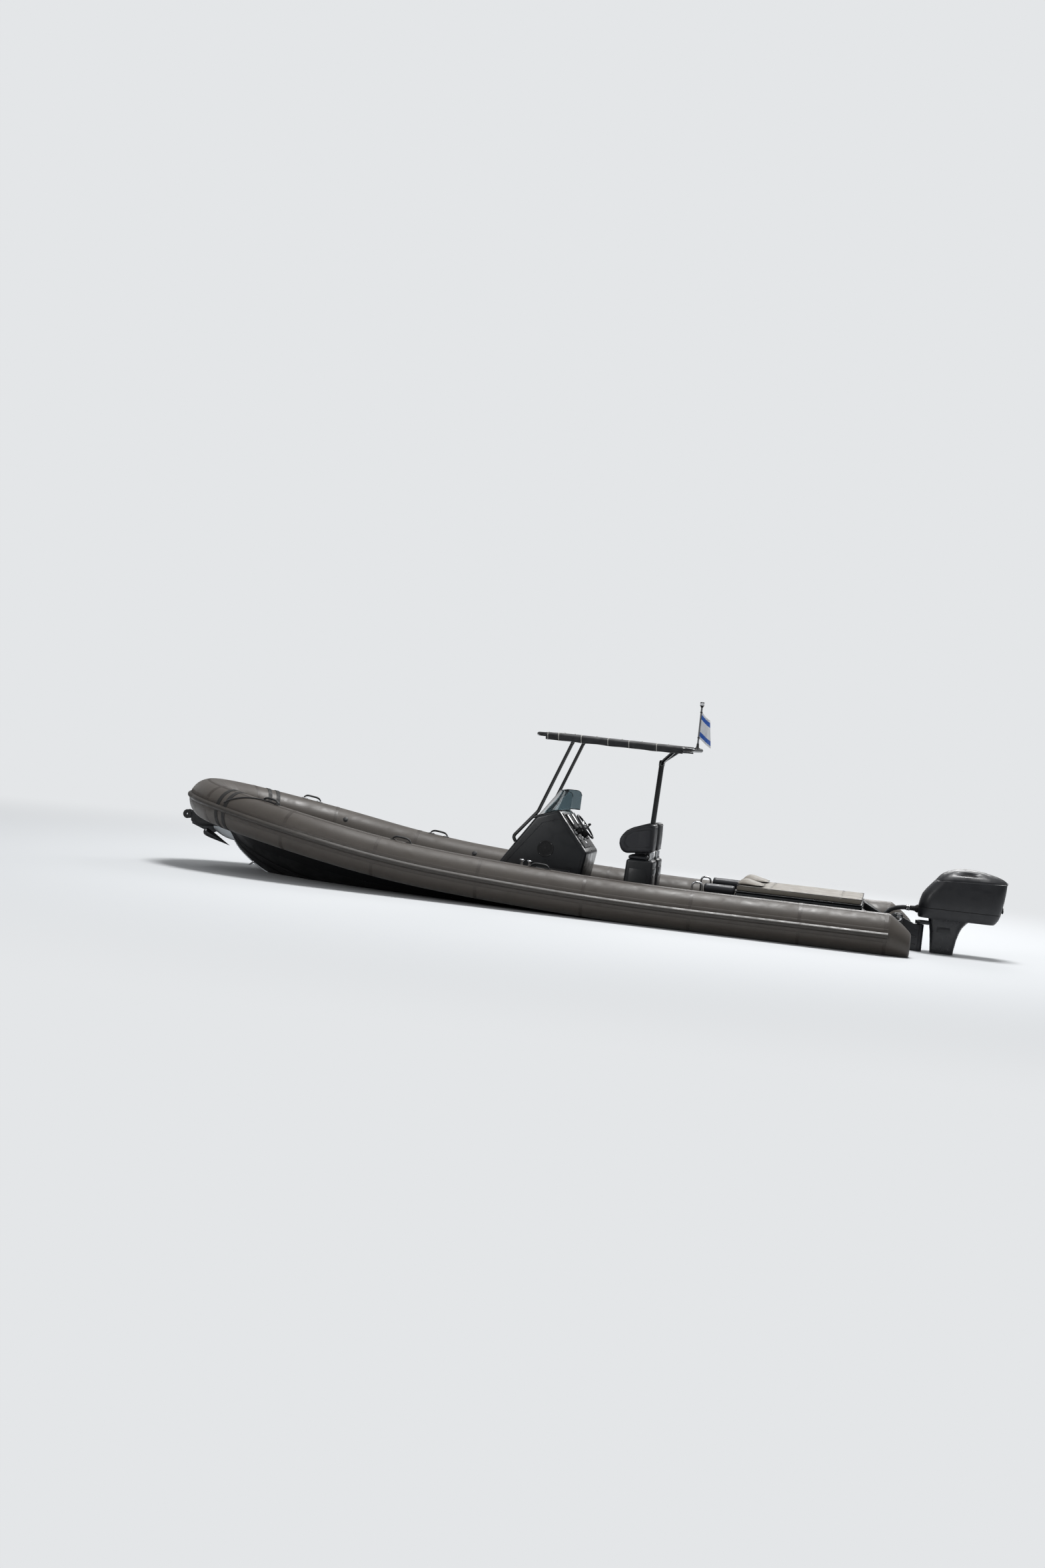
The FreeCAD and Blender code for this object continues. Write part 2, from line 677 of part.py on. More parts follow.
def hatch_block(grow, low, high):
    """A block of the anchor hatch's plan in the bow's own frame."""
    length = float(size.hatch_length + 2 * grow)
    width = float(size.hatch_width + 2 * grow)
    block = Part.makeBox(length, width, high - low)
    back = size.bow_reach - size.hatch_aft - size.hatch_length
    block.translate(Vector(float(back - grow), -width / 2, low))
    block.Placement = BOW_PLACE.multiply(block.Placement)
    return block


def make_hull(tube):
    """The deep V hull: lofted shell with the cockpit, foredeck and locker cut in."""
    run = Part.makeLoft([hull_section(*row) for row in HULL_RUN], True, True)
    bow = Part.makeLoft([hull_section(*row) for row in HULL_BOW], True, False)
    loft = run.fuse(bow)
    deck_level = -float(size.sheer_below)
    body = loft.cut(above_foredeck()).cut(cockpit_space())
    body = body.cut(hatch_block(0, deck_level - float(size.locker_depth), deck_level + float(size.overcut)))
    for shape in mirrored_pair(tube):
        body = body.cut(shape)
    shaped("hull", max(body.Solids, key=lambda solid: solid.Volume))


def make_sole():
    """The non-slip sole panel."""
    body = new_body("cockpit_sole")
    back = size.transom_x + size.transom_thick + size.sole_gap
    front = size.cockpit_end - size.sole_gap
    wide = COCKPIT_HALF - size.sole_gap
    waist = wide - size.cockpit_waist
    narrow = size.tube_spread - size.cockpit_bow_inset - size.sole_gap
    corners = [(back, -wide), (size.console_toe, -waist), (front, -narrow),
               (front, narrow), (size.console_toe, waist), (back, wide)]
    pad(body, outline(body, "XY_Plane", corners, size.sole_level), size.sole_thick, backwards=True)


def make_foredeck():
    """The foredeck panel, which follows the tubes, with the hatch cut in it."""
    inset = float(size.tube_radius) + float(size.foredeck_gap)
    turn = math.radians(size.bow_turn)
    long_centre = Vector(0, float(size.tube_spread) - LONG_RADIUS, 0)
    tight_centre = Vector(float(size.bow_reach) - TIGHT_RADIUS, 0, 0)

    def on_arc(centre, radius, angle, side):
        return Vector(centre.x + radius * math.sin(angle), side * (centre.y + radius * math.cos(angle)), 0)

    long_in = LONG_RADIUS - inset
    tight_in = TIGHT_RADIUS - inset
    corner = {side: on_arc(long_centre, long_in, turn, side) for _, side in SIDES}
    aft = {side: on_arc(long_centre, long_in, 0, side) for _, side in SIDES}
    half = {side: on_arc(long_centre, long_in, turn / 2, side) for _, side in SIDES}
    tip = Vector(tight_centre.x + tight_in, 0, 0)
    shoulder = {side: on_arc(tight_centre, tight_in, (turn + math.pi / 2) / 2, side) for _, side in SIDES}
    edges = [Part.makeLine(aft[-1], aft[1]), Part.Arc(aft[1], half[1], corner[1]).toShape(),
             Part.Arc(corner[1], shoulder[1], tip).toShape(), Part.Arc(tip, shoulder[-1], corner[-1]).toShape(),
             Part.Arc(corner[-1], half[-1], aft[-1]).toShape()]
    panel = Part.Face(Part.Wire(edges)).extrude(UP * float(size.foredeck_thick))
    panel.translate(Vector(0, 0, -float(size.sheer_below)))
    panel.Placement = BOW_PLACE.multiply(panel.Placement)
    level = -float(size.sheer_below)
    shaped("foredeck", panel.cut(hatch_block(size.hatch_gap, level - 1, level + 100)))


def make_hatch():
    """The anchor hatch lid, in the foredeck's opening."""
    level = -float(size.sheer_below)
    lid = hatch_block(0, level + float(size.rest_gap), level + float(size.foredeck_thick))
    rim = [edge for edge in lid.Edges if abs(edge.tangentAt(0).dot(BOW_UP)) > 0.99]
    shaped("anchor_hatch", lid.makeFillet(40, rim))


def on_line(first, last, share):
    """A place between two, by its share of the way."""
    return first[0] + (last[0] - first[0]) * share, first[1] + (last[1] - first[1]) * share


def console_corners():
    """The console's side outline, from its toe over the dash to its heel."""
    return [(size.console_toe, size.sole_level), (size.console_brow_x, size.console_brow_z),
            (size.dash_top_x, size.dash_top_z), (size.dash_foot_x, size.dash_foot_z),
            (size.console_heel, size.sole_level)]


def on_sides(edge):
    """A test for the edges round the console's sides, apart from those on the sole."""
    ends = [vertex.Point for vertex in edge.Vertexes]
    outer = all(abs(abs(point.y) - size.console_half) < 1 for point in ends)
    return outer and max(point.z for point in ends) > size.sole_level + 1


def make_console():
    """The console moulding, padded from its side outline."""
    body = new_body("console")
    base = pad(body, outline(body, "XZ_Plane", console_corners()), 2 * size.console_half, both_sides=True)
    rounded(body, base, on_sides, size.console_round)
    for level, backwards in ((-size.console_half, True), (size.console_half, False)):
        ring = circle(body, "XZ_Plane", (size.speaker_x, size.speaker_z), size.speaker_radius, level)
        pocket(body, ring, size.speaker_depth, backwards=backwards)
    return base


def make_speakers():
    """The two loudspeakers let into the console's sides."""
    deep = float(size.speaker_depth)
    radius = float(size.speaker_radius) - 1
    place = Vector(float(size.speaker_x), float(size.console_half) - deep, float(size.speaker_z))
    ring = Part.makeCylinder(radius, deep + 6, place, PORTWARD)
    bowl = Part.makeCone(radius - 22, radius * 0.35, deep * 0.7, place + PORTWARD * (deep + 6), -PORTWARD)
    shaped("speakers", Part.makeCompound(mirrored_pair(ring.cut(bowl))))


SLOPE = Vector(float(size.console_brow_x - size.console_toe), 0, float(size.console_brow_z - size.sole_level))
SLOPE_UP = SLOPE.normalize()
SLOPE_OUT = Vector(SLOPE_UP.z, 0, -SLOPE_UP.x)
DASH_UP = Vector(float(size.dash_top_x - size.dash_foot_x), 0, float(size.dash_top_z - size.dash_foot_z)).normalize()
DASH_OUT = Vector(-DASH_UP.z, 0, DASH_UP.x)
DASH_TOP = Vector(float(size.dash_top_x), 0, float(size.dash_top_z))


def tilted_box(corner, up, out, high, half, thick):
    """A slab on a sloping face: its foot's middle, two directions and three sizes."""
    points = [corner + PORTWARD * -half, corner + PORTWARD * half,
              corner + PORTWARD * half + up * high, corner + PORTWARD * -half + up * high]
    return flat(points).extrude(out * thick)


def make_windscreen():
    """The wraparound screen: a front pane and two swept wings, bent from one sheet."""
    foot = Vector(float(size.console_brow_x), 0, float(size.console_brow_z)) + SLOPE_OUT * 2
    half = float(size.console_half) - 75
    top_half = half - 70
    high = float(size.screen_height)
    wing = 230
    thick = float(size.screen_thick)

    def section(up, half_width, back):
        base = foot + SLOPE_UP * up
        inner = [base + PORTWARD * (half_width - 80), base + PORTWARD * half_width + Vector(-80, 0, 0),
                 base + PORTWARD * half_width + Vector(-back, 0, 0)]
        outer = [base + PORTWARD * (half_width - 80) + Vector(thick, 0, 0),
                 base + PORTWARD * (half_width + thick) + Vector(-80, 0, 0),
                 base + PORTWARD * (half_width + thick) + Vector(-back, 0, 0)]

        def flip(points):
            return [Vector(point.x, -point.y, point.z) for point in reversed(points)]

        bend = 80 * (1 - math.sqrt(0.5))
        corner_in = base + PORTWARD * (half_width - bend) + Vector(-bend, 0, 0)
        corner_out = base + PORTWARD * (half_width - bend + thick * 0.7) + Vector(-bend + thick * 0.7, 0, 0)
        edges = [Part.makeLine(flip(outer)[2], outer[0]),
                 Part.Arc(outer[0], corner_out, outer[1]).toShape(), Part.makeLine(outer[1], outer[2]),
                 Part.makeLine(outer[2], inner[2]), Part.makeLine(inner[2], inner[1]),
                 Part.Arc(inner[1], corner_in, inner[0]).toShape(), Part.makeLine(inner[0], flip(inner)[2])]
        mirror_in = Vector(corner_in.x, -corner_in.y, corner_in.z)
        mirror_out = Vector(corner_out.x, -corner_out.y, corner_out.z)
        edges += [Part.Arc(flip(inner)[2], mirror_in, flip(inner)[1]).toShape(),
                  Part.makeLine(flip(inner)[1], flip(inner)[0]), Part.makeLine(flip(inner)[0], flip(outer)[0]),
                  Part.makeLine(flip(outer)[0], flip(outer)[1]),
                  Part.Arc(flip(outer)[1], mirror_out, flip(outer)[2]).toShape()]
        return Part.Wire(edges)

    screen = Part.makeLoft([section(0, half, wing), section(high, top_half, wing * 0.8)], True, True)
    below = Part.makeBox(2000, 3000, float(size.dash_top_z) + 20, Vector(-1500, -1500, 0))
    cut_line = flat([Vector(float(size.console_toe), -1500, 0),
                     Vector(float(size.console_brow_x), -1500, float(size.console_brow_z)),
                     Vector(float(size.dash_top_x), -1500, float(size.dash_top_z)),
                     Vector(float(size.dash_top_x) - 1500, -1500, float(size.dash_top_z)),
                     Vector(float(size.dash_top_x) - 1500, -1500, 0)]).extrude(PORTWARD * 3000)
    shaped("windscreen", screen.cut(cut_line.common(below)))


def dash_place(down, across, out):
    """A place over the dash: down from its upper edge, to port, and out of it."""
    return DASH_TOP + DASH_UP * -float(down) + PORTWARD * float(across) + DASH_OUT * float(out)


def make_dash():
    """The instrument panel with two chart displays and the column boss."""
    thick = float(size.panel_thick)
    panel = tilted_box(dash_place(560, 0, 0), DASH_UP, DASH_OUT, 520, float(size.panel_half), thick)
    displays = [tilted_box(dash_place(70 + float(size.display_height), across, thick), DASH_UP, DASH_OUT,
                           float(size.display_height), float(size.display_width) / 2, float(size.display_thick))
                for across in (-210, 190)]
    boss = Part.makeCylinder(float(size.column_radius), float(size.wheel_stand) - 40,
                             dash_place(size.wheel_drop, size.wheel_y, thick), DASH_OUT)
    shaped("instrument_panel", fused([panel] + displays + [boss]))


def make_throttle():
    """The engine control box with its lever."""
    thick = float(size.panel_thick)
    box = tilted_box(dash_place(430, size.throttle_y, thick), DASH_UP, DASH_OUT, 130, 45, 70)
    root = dash_place(365, size.throttle_y, thick + 60)
    lever = Part.makeCylinder(9, 120, root, (DASH_OUT + UP * 0.8).normalize())
    grip = Part.makeCylinder(16, 90, root + (DASH_OUT + UP * 0.8).normalize() * 120 - PORTWARD * 45, PORTWARD)
    shaped("throttle", fused([box, lever, grip]))


def make_wheel():
    """The steering wheel: rim, three spokes and hub, made flat and laid on the column."""
    stand = float(size.panel_thick + size.wheel_stand)
    place = dash_place(size.wheel_drop, size.wheel_y, stand)
    rim = Part.makeTorus(float(size.wheel_radius), float(size.wheel_rim))
    hub = Part.makeCylinder(float(size.column_radius) - 4, 70, Vector(0, 0, -39.5))
    spokes = []
    for number in range(3):
        spoke = Part.makeBox(float(size.wheel_radius), 30, 8, Vector(0, -15, -4))
        spoke.rotate(Vector(0, 0, 0), UP, 90 + 120 * number)
        spokes.append(spoke)
    spin = Rotation(UP, DASH_OUT)
    shaped("steering_wheel", fused([rim, hub] + spokes), Placement(place, spin))


def make_canopy_frame():
    """The hoop, front legs, rear mast and its fork, and the cloth laced over them."""
    front, rear = float(size.canopy_front), float(size.canopy_rear)
    half, level = float(size.canopy_half), float(size.canopy_level)
    corners = [Vector(front, -half, level), Vector(front, half, level),
               Vector(rear, half, level), Vector(rear, -half, level)]
    hoop = bent_tube(corners, size.canopy_corner, size.hoop_radius, closed=True)
    cross_places = (float(size.leg_head_x), float(size.fork_x))
    bars = [Part.makeCylinder(float(size.leg_radius), 2 * half, Vector(x, -half, level), PORTWARD)
            for x in cross_places]
    shaped("canopy_hoop", fused([hoop] + bars))
    for side, sign in SIDES:
        spread = sign * float(size.console_half - size.leg_inset)
        rise = float(size.leg_foot_z - size.sole_level) / SLOPE_UP.z
        foot = Vector(float(size.console_toe), spread, float(size.sole_level)) + SLOPE_UP * rise
        knee = Vector(float(size.leg_knee_x), spread, float(size.leg_knee_z))
        bend = Vector(float(size.leg_bend_x), spread, float(size.leg_bend_z))
        head = Vector(float(size.leg_head_x), spread, level)
        sunk = foot - (knee - foot).normalize() * float(size.leg_radius)
        leg = bent_tube([sunk, knee, bend, head], size.leg_bend, size.leg_radius)
        brow = Vector(float(size.console_brow_x), spread, float(size.console_brow_z))
        reach = bend + (knee - bend) * 0.25
        brace = Part.makeCylinder(float(size.brace_radius), (reach - brow).Length, brow, reach - brow)
        hoop_bar = Part.makeCylinder(float(size.leg_radius), 200, Vector(head.x, spread - 100, level), PORTWARD)
        whole = fused([leg, brace]).cut(hoop_bar).cut(piece_named("console"))
        shaped("canopy_leg_" + side, max(whole.Solids, key=lambda solid: solid.Volume))
    make_mast(level)
    make_cloth()


def make_mast(level):
    """The rear mast with its forked head."""
    foot = Vector(float(size.mast_foot_x), 0, float(size.sole_level))
    head = Vector(float(size.mast_head_x), 0, float(size.mast_head_z))
    column = bent_course([foot + UP * 4, head], 0).carry(disc(foot + UP * 4, head - foot, size.mast_radius))
    arms = []
    for _, sign in SIDES:
        top = Vector(float(size.fork_x), sign * float(size.fork_spread), level)
        arms.append(Part.makeCylinder(float(size.fork_radius), (top - head).Length, head, top - head))
    joint = Part.makeSphere(float(size.mast_radius), head)
    bar = Part.makeCylinder(float(size.leg_radius), 2000, Vector(float(size.fork_x), -1000, level), PORTWARD)
    plate = Part.makeCylinder(float(size.mast_radius) * 2, 10, foot)
    whole = fused([column, joint, plate] + arms).cut(bar)
    shaped("canopy_mast", max(whole.Solids, key=lambda solid: solid.Volume))


def make_cloth():
    """The canopy cloth over the hoop."""
    body = new_body("canopy_cloth")
    front = size.canopy_front - size.canopy_inset
    rear = size.canopy_rear + size.canopy_inset
    wide = size.canopy_half + size.hoop_radius
    low = size.canopy_level + size.hoop_radius + size.rest_gap
    corners = [(rear, -wide), (front, -wide), (front, wide), (rear, wide)]
    pad(body, outline(body, "XY_Plane", corners, low), size.canopy_cloth)


def make_staff():
    """The light staff on the canopy, with its all-round light, and the flag on it."""
    body = new_body("light_staff")
    low = size.canopy_level + size.hoop_radius
    foot_x = size.canopy_rear
    base = pad(body, circle(body, "XY_Plane", (foot_x, 0), size.staff_radius, low), size.staff_height)
    pad(body, circle(body, "XY_Plane", (foot_x, 0), size.staff_radius * 3, low), size.staff_radius)
    top = low + size.staff_height
    pad(body, circle(body, "XY_Plane", (foot_x, 0), size.staff_radius * 2.6, top), size.staff_radius * 4)
    return base


def make_flag():
    """The flag, hanging from the staff."""
    body = new_body("flag")
    near = size.canopy_rear - size.staff_radius - size.rest_gap
    low = size.canopy_level + 60
    high = size.canopy_level + size.staff_height - 60
    corners = [(near, high), (near, high - size.flag_width), (near - 150, low - 20), (near - 110, high - 90)]
    pad(body, outline(body, "XZ_Plane", corners), size.flag_thick, both_sides=True)


def make_seats():
    """Two helm seats: a box, and a padded hip bolster on two posts."""
    for side, sign in SIDES:
        middle = sign * size.seat_spread
        box = new_body("seat_box_" + side)
        corners = [(size.seat_back, size.sole_level), (size.seat_front, size.sole_level),
                   (size.seat_front - 30, size.seat_top), (size.seat_back, size.seat_top)]
        base = pad(box, outline(box, "XZ_Plane", corners, -middle), 2 * size.seat_half, both_sides=True)
        rounded(box, base, lambda edge: not along(PORTWARD)(edge), Linked(30, "30"))
        bolster = new_body("seat_bolster_" + side)
        low, high = size.bolster_low, size.bolster_high
        corners = [(size.bolster_back, low + 40), (size.bolster_front - 110, low), (size.bolster_front, low + 150),
                   (size.bolster_front - 40, high - 80), (size.bolster_back + 60, high), (size.bolster_back, high)]
        base = pad(bolster, outline(bolster, "XZ_Plane", corners, -middle), 2 * size.seat_half, both_sides=True)
        inner = size.seat_half - size.bolster_thick
        well = [(size.bolster_back + size.bolster_thick, middle - inner), (size.bolster_front + 10, middle - inner),
                (size.bolster_front + 10, middle + inner), (size.bolster_back + size.bolster_thick, middle + inner)]
        pocket(bolster, outline(bolster, "XY_Plane", well, low - 10), high - low + 20, backwards=True)
        make_seat_posts(side, middle)


def make_seat_posts(side, middle):
    """The two posts and cushion of one seat, between its box and its bolster."""
    x = float(size.bolster_back + size.bolster_thick / 2)
    low = float(size.seat_top)
    high = float(size.bolster_low) + 34
    posts = [Part.makeCylinder(float(size.post_radius), high - low, Vector(x, float(middle) + across, low))
             for across in (-120, 120)]
    bar = Part.makeBox(40, 300, 12, Vector(x - 20, float(middle) - 150, low))
    shaped("seat_posts_" + side, fused(posts + [bar]))
    cushion = new_body("seat_cushion_" + side)
    inner = size.seat_half - size.bolster_thick - 6
    back = size.bolster_back + size.bolster_thick + 8
    corners = [(back, middle - inner), (size.seat_front - 32, middle - inner),
               (size.seat_front - 32, middle + inner), (back, middle + inner)]
    pad(cushion, outline(cushion, "XY_Plane", corners, size.seat_top + size.rest_gap), Linked(60, "60"))


def make_bed():
    """The sunbed locker, its lid with cushion and headrests, and the armrest rolls."""
    locker = new_body("sunbed_locker")
    wide = BED_HALF
    corners = [(size.bed_back, -wide), (size.bed_front, -wide), (size.bed_front, wide), (size.bed_back, wide)]
    tall = size.bed_locker_top - size.sole_level
    pad(locker, outline(locker, "XY_Plane", corners, size.sole_level), tall)
    wall = size.bed_wall
    hollow = [(size.bed_back + wall, wall - wide), (size.bed_front - wall, wall - wide),
              (size.bed_front - wall, wide - wall), (size.bed_back + wall, wide - wall)]
    pocket(locker, outline(locker, "XY_Plane", hollow, size.bed_locker_top), tall - wall)
    lid = new_body("sunbed_lid")
    lid_low = size.bed_locker_top + size.rest_gap
    pad(lid, outline(lid, "XY_Plane", corners, lid_low), size.bed_lid_thick)
    cushion = new_body("sunbed_cushion")
    cushion_low = lid_low + size.bed_lid_thick + size.rest_gap
    pad(cushion, outline(cushion, "XY_Plane", corners, cushion_low), size.bed_cushion)
    rest_low = cushion_low + size.bed_cushion + size.rest_gap
    make_headrests(rest_low)
    make_rolls()


def make_headrests(low):
    """The two raised headrests at the front of the sunbed."""
    body = new_body("headrests")
    front = size.bed_front - 10
    back = front - size.headrest_length
    corners = [(back, low), (front, low), (front - 25, low + size.headrest_rise * 0.8),
               (front - 110, low + size.headrest_rise)]
    for _, sign in SIDES:
        middle = sign * (BED_HALF - size.headrest_half - 40)
        pad(body, outline(body, "XZ_Plane", corners, -middle), 2 * size.headrest_half, both_sides=True)


def make_rolls():
    """The padded armrest rolls and the black hoops ahead of the sunbed."""
    for side, sign in SIDES:
        body = new_body("armrest_roll_" + side)
        middle = sign * ROLL_SPREAD
        level = size.bed_locker_top + 10
        ring = circle(body, "YZ_Plane", (middle, level), size.roll_radius, size.bed_front + size.rest_gap)
        pad(body, ring, size.roll_length)
    hoops = []
    for _, sign in SIDES:
        across = sign * float(ROLL_SPREAD - 30)
        x = float(size.bed_front + size.roll_length) + 22
        level = float(size.sole_level)
        top = float(size.bed_locker_top) + 60
        points = [Vector(x, across, level), Vector(x, across, top), Vector(x + 120, across, top),
                  Vector(x + 120, across, level)]
        hoops.append(bent_tube(points, 45, 12))
    shaped("grab_hoops", Part.makeCompound(hoops))


def make_stern(tube):
    """The transom board and the quarter coamings of the splash well."""
    back = float(size.transom_x)
    thick = float(size.transom_thick)
    _, level = tube_centre(back)
    foot = level - float(size.sheer_below)
    half = float(size.tube_spread)
    board = Part.makeBox(thick, 2 * half, float(size.transom_top) - foot, Vector(back, -half, foot))
    for shape in mirrored_pair(tube):
        board = board.cut(shape)
    shaped("transom_board", max(board.Solids, key=lambda solid: solid.Volume))
    inner = back + thick
    across = float(size.tube_spread - size.coaming_wide)
    ahead = float(size.bed_back - size.coaming_gap)
    outline_points = [Vector(inner, across, foot), Vector(ahead, across, foot),
                      Vector(ahead, across, float(size.coaming_high)), Vector(inner, across, float(size.coaming_low))]
    block = flat(outline_points).extrude(PORTWARD * float(size.coaming_wide - size.coaming_edge)).cut(tube)
    coaming = max(block.Solids, key=lambda solid: solid.Volume)
    shaped("quarter_coamings", Part.makeCompound(mirrored_pair(coaming)))


def make_clamp():
    """The clamp bracket: two arms that hook over the transom and carry the tilt tube."""
    back = float(size.transom_x)
    thick = float(size.transom_thick)
    top = float(size.transom_top)
    tilt = (float(size.tilt_x), float(size.tilt_z))
    low = float(size.clamp_low)
    side = [(back, low), (back, top), (back + thick + 2, top), (back + thick + 2, top - 170),
            (back + thick + 30, top - 170), (back + thick + 30, top + 34), (tilt[0] + 60, tilt[1] + 46),
            (tilt[0] - 40, tilt[1] + 46), (tilt[0] - 52, tilt[1] - 20), (back - 70, low + 120), (back - 46, low)]
    inner = float(size.clamp_inner)
    arm = flat([Vector(x, inner, z) for x, z in side]).extrude(PORTWARD * float(size.clamp_thick))
    bore = Part.makeCylinder(float(size.tilt_tube + size.run_gap), 1000, Vector(tilt[0], -500, tilt[1]), PORTWARD)
    shaped("clamp_bracket", Part.makeCompound(mirrored_pair(arm.cut(bore))))


def make_swivel():
    """The swivel bracket: tilt tube, web and the steering shaft's housing."""
    tilt = Vector(float(size.tilt_x), 0, float(size.tilt_z))
    reach = float(size.clamp_inner + size.clamp_thick) + 8
    tube = Part.makeCylinder(float(size.tilt_tube), 2 * reach, tilt - PORTWARD * reach, PORTWARD)
    half = float(size.clamp_inner - size.swivel_clear)
    sleeve = Part.makeCylinder(float(size.tilt_tube) + 16, 2 * half, tilt - PORTWARD * half, PORTWARD)
    low, high = float(size.swivel_low), float(size.swivel_high)
    steer = float(size.steer_x)
    housing = Part.makeCylinder(float(size.swivel_radius), high - low, Vector(steer, 0, low))
    side = [(tilt.x + 20, tilt.z - 34), (tilt.x, tilt.z + 30), (tilt.x - 40, tilt.z + 10), (steer + 75, high),
            (steer, high), (steer, low), (steer + 40, low), (tilt.x - 90, low + 150)]
    web = flat([Vector(x, -half * 0.55, z) for x, z in side]).extrude(PORTWARD * half * 1.1)
    pin = Part.makeCylinder(float(size.kingpin_radius + size.run_gap), 2000, Vector(steer, 0, -1000))
    shaped("swivel_bracket", fused([tube, sleeve, housing, web]).cut(pin))


def ring_section(z, front, rear, half, corner):
    """A rounded rectangle at one height, for the engine's lofts."""
    corner = min(corner, half - 1, (front - rear) / 2 - 1)
    points = [Vector(front, half - corner, z), Vector(front - corner, half, z), Vector(rear + corner, half, z),
              Vector(rear, half - corner, z), Vector(rear, corner - half, z), Vector(rear + corner, -half, z),
              Vector(front - corner, -half, z), Vector(front, corner - half, z)]
    cut = corner * (1 - math.sqrt(0.5))
    bends = [Vector(front - cut, half - cut, z), Vector(rear + cut, half - cut, z),
             Vector(rear + cut, cut - half, z), Vector(front - cut, cut - half, z)]
    edges = []
    for number in range(4):
        first, last = points[2 * number], points[2 * number + 1]
        edges.append(Part.Arc(first, bends[number], last).toShape())
        edges.append(Part.makeLine(last, points[(2 * number + 2) % 8]))
    return Part.Wire(edges)


# Cowl sections: height, front and rear off the steering axis, half width, corner radius
UPPER_COWL = [
    (0, 45, -955, 285, 150),
    (150, 10, -980, 290, 150),
    (260, -70, -991, 283, 145),
    (340, -140, -995, 270, 140),
    (384, -190, -985, 255, 132),
    (420, -250, -850, 225, 120),
    (455, -320, -700, 180, 100),
    (size.cowl_top - size.cowl_split, -390, -560, 120, 75),
]
LOWER_COWL = [(0, 32, -890, 235, 130), (60, 48, -930, 272, 140), (130, 45, -955, 285, 150)]
# Leg sections: height, front and rear off the steering axis, half width, corner radius
LEG = [
    (size.plate_level, -180, -410, 62, 50),
    (0, -150, -430, 70, 55),
    (size.cowl_base - 120, -120, -500, 100, 80),
    (size.cowl_base, -90, -600, 150, 110),
]
STRUT = [(size.prop_level, -60, -490, 30, 28), (size.plate_level - 2, -160, -430, 46, 44)]


def loft_of(rows, base, inset=0, smooth=True):
    """A loft through rounded sections, all moved in by a wall's thickness."""
    steer = float(size.steer_x)
    rings = [ring_section(base + z, steer + front - inset, steer + rear + inset, half - inset, corner)
             for z, front, rear, half, corner in rows]
    return Part.makeLoft(rings, True, not smooth)


def make_cowls():
    """The upper and lower cowls, hollow, with the engine block inside."""
    wall = float(size.cowl_wall)
    split, base = float(size.cowl_split), float(size.cowl_base)
    upper = loft_of(UPPER_COWL, split, 0, False)
    dome = loft_of([(-2,) + UPPER_COWL[0][1:]] + UPPER_COWL[1:-1], split, wall, False)
    shaped("cowl_upper", upper.cut(dome))
    lower = loft_of(LOWER_COWL, base)
    inner = loft_of([(wall,) + LOWER_COWL[0][1:], LOWER_COWL[1], (140,) + LOWER_COWL[2][1:]], base, wall)
    shaped("cowl_lower", lower.cut(inner))
    block = Part.makeBox(640, 340, 330, Vector(float(size.steer_x) - 720, -170, base + wall))
    shaped("engine_block", block)


def make_midsection():
    """The leg under the cowls, with the yokes that carry the steering shaft."""
    leg = loft_of(LEG, 0)
    steer = float(size.steer_x)
    low, high = float(size.swivel_low), float(size.swivel_high)
    pin = Part.makeCylinder(float(size.kingpin_radius), high - low + 40, Vector(steer, 0, low - 20))
    upper = Part.makeBox(290, 120, 46, Vector(steer - 290, -60, high + 6))
    lower = Part.makeBox(250, 110, 46, Vector(steer - 250, -55, low - 52))
    head = Part.makeCylinder(62, 46, Vector(steer, 0, high + 6))
    foot = Part.makeCylinder(58, 46, Vector(steer, 0, low - 52))
    shaped("engine_leg", fused([leg, pin, upper, lower, head, foot]))


def make_gearcase():
    """The gearcase: strut, plate above the propeller, bullet and skeg."""
    plate_low = float(size.plate_level)
    axis = float(size.prop_level)
    radius = float(size.bullet_radius)
    end = float(size.prop_x) + 4
    nose = end + 560
    plate = loft_of([(z, -20, -700, 120, 100) for z in (plate_low - float(size.plate_thick), plate_low)], 0)
    strut = loft_of(STRUT, 0)
    point = 8
    taper = 230
    ogive = (taper**2 + (radius - point)**2) / (2 * (radius - point))

    def on_nose(ahead):
        drop = ogive - math.sqrt(ogive**2 - ahead**2)
        return Vector(nose - taper + ahead, 0, axis + radius - drop)

    profile = [Vector(nose, 0, axis), Vector(end, 0, axis), Vector(end, 0, axis + radius), on_nose(0),
               on_nose(taper)]
    arc = Part.Arc(profile[3], on_nose(taper * 0.55), profile[4]).toShape()
    face = Part.Face(Part.Wire([Part.makeLine(profile[0], profile[1]), Part.makeLine(profile[1], profile[2]),
                                Part.makeLine(profile[2], profile[3]), arc,
                                Part.makeLine(profile[4], profile[0])]))
    bullet = face.revolve(profile[0], FORWARD, 360)
    skeg_points = [Vector(nose - 200, -8, axis - 30), Vector(end + 30, -8, axis - 30),
                   Vector(end - 10, -8, float(size.skeg_low)), Vector(end + 110, -8, float(size.skeg_low))]
    skeg = flat(skeg_points).extrude(PORTWARD * 16)
    shaft = Part.makeCylinder(float(size.shaft_radius), float(size.hub_length) + 14, Vector(end, 0, axis), -FORWARD)
    nut = Part.makeCylinder(float(size.shaft_radius) + 12, 26, Vector(float(size.prop_x - size.hub_length) - 4, 0, axis),
                            -FORWARD)
    shaped("gearcase", fused([plate, strut, bullet, skeg, shaft, nut]))


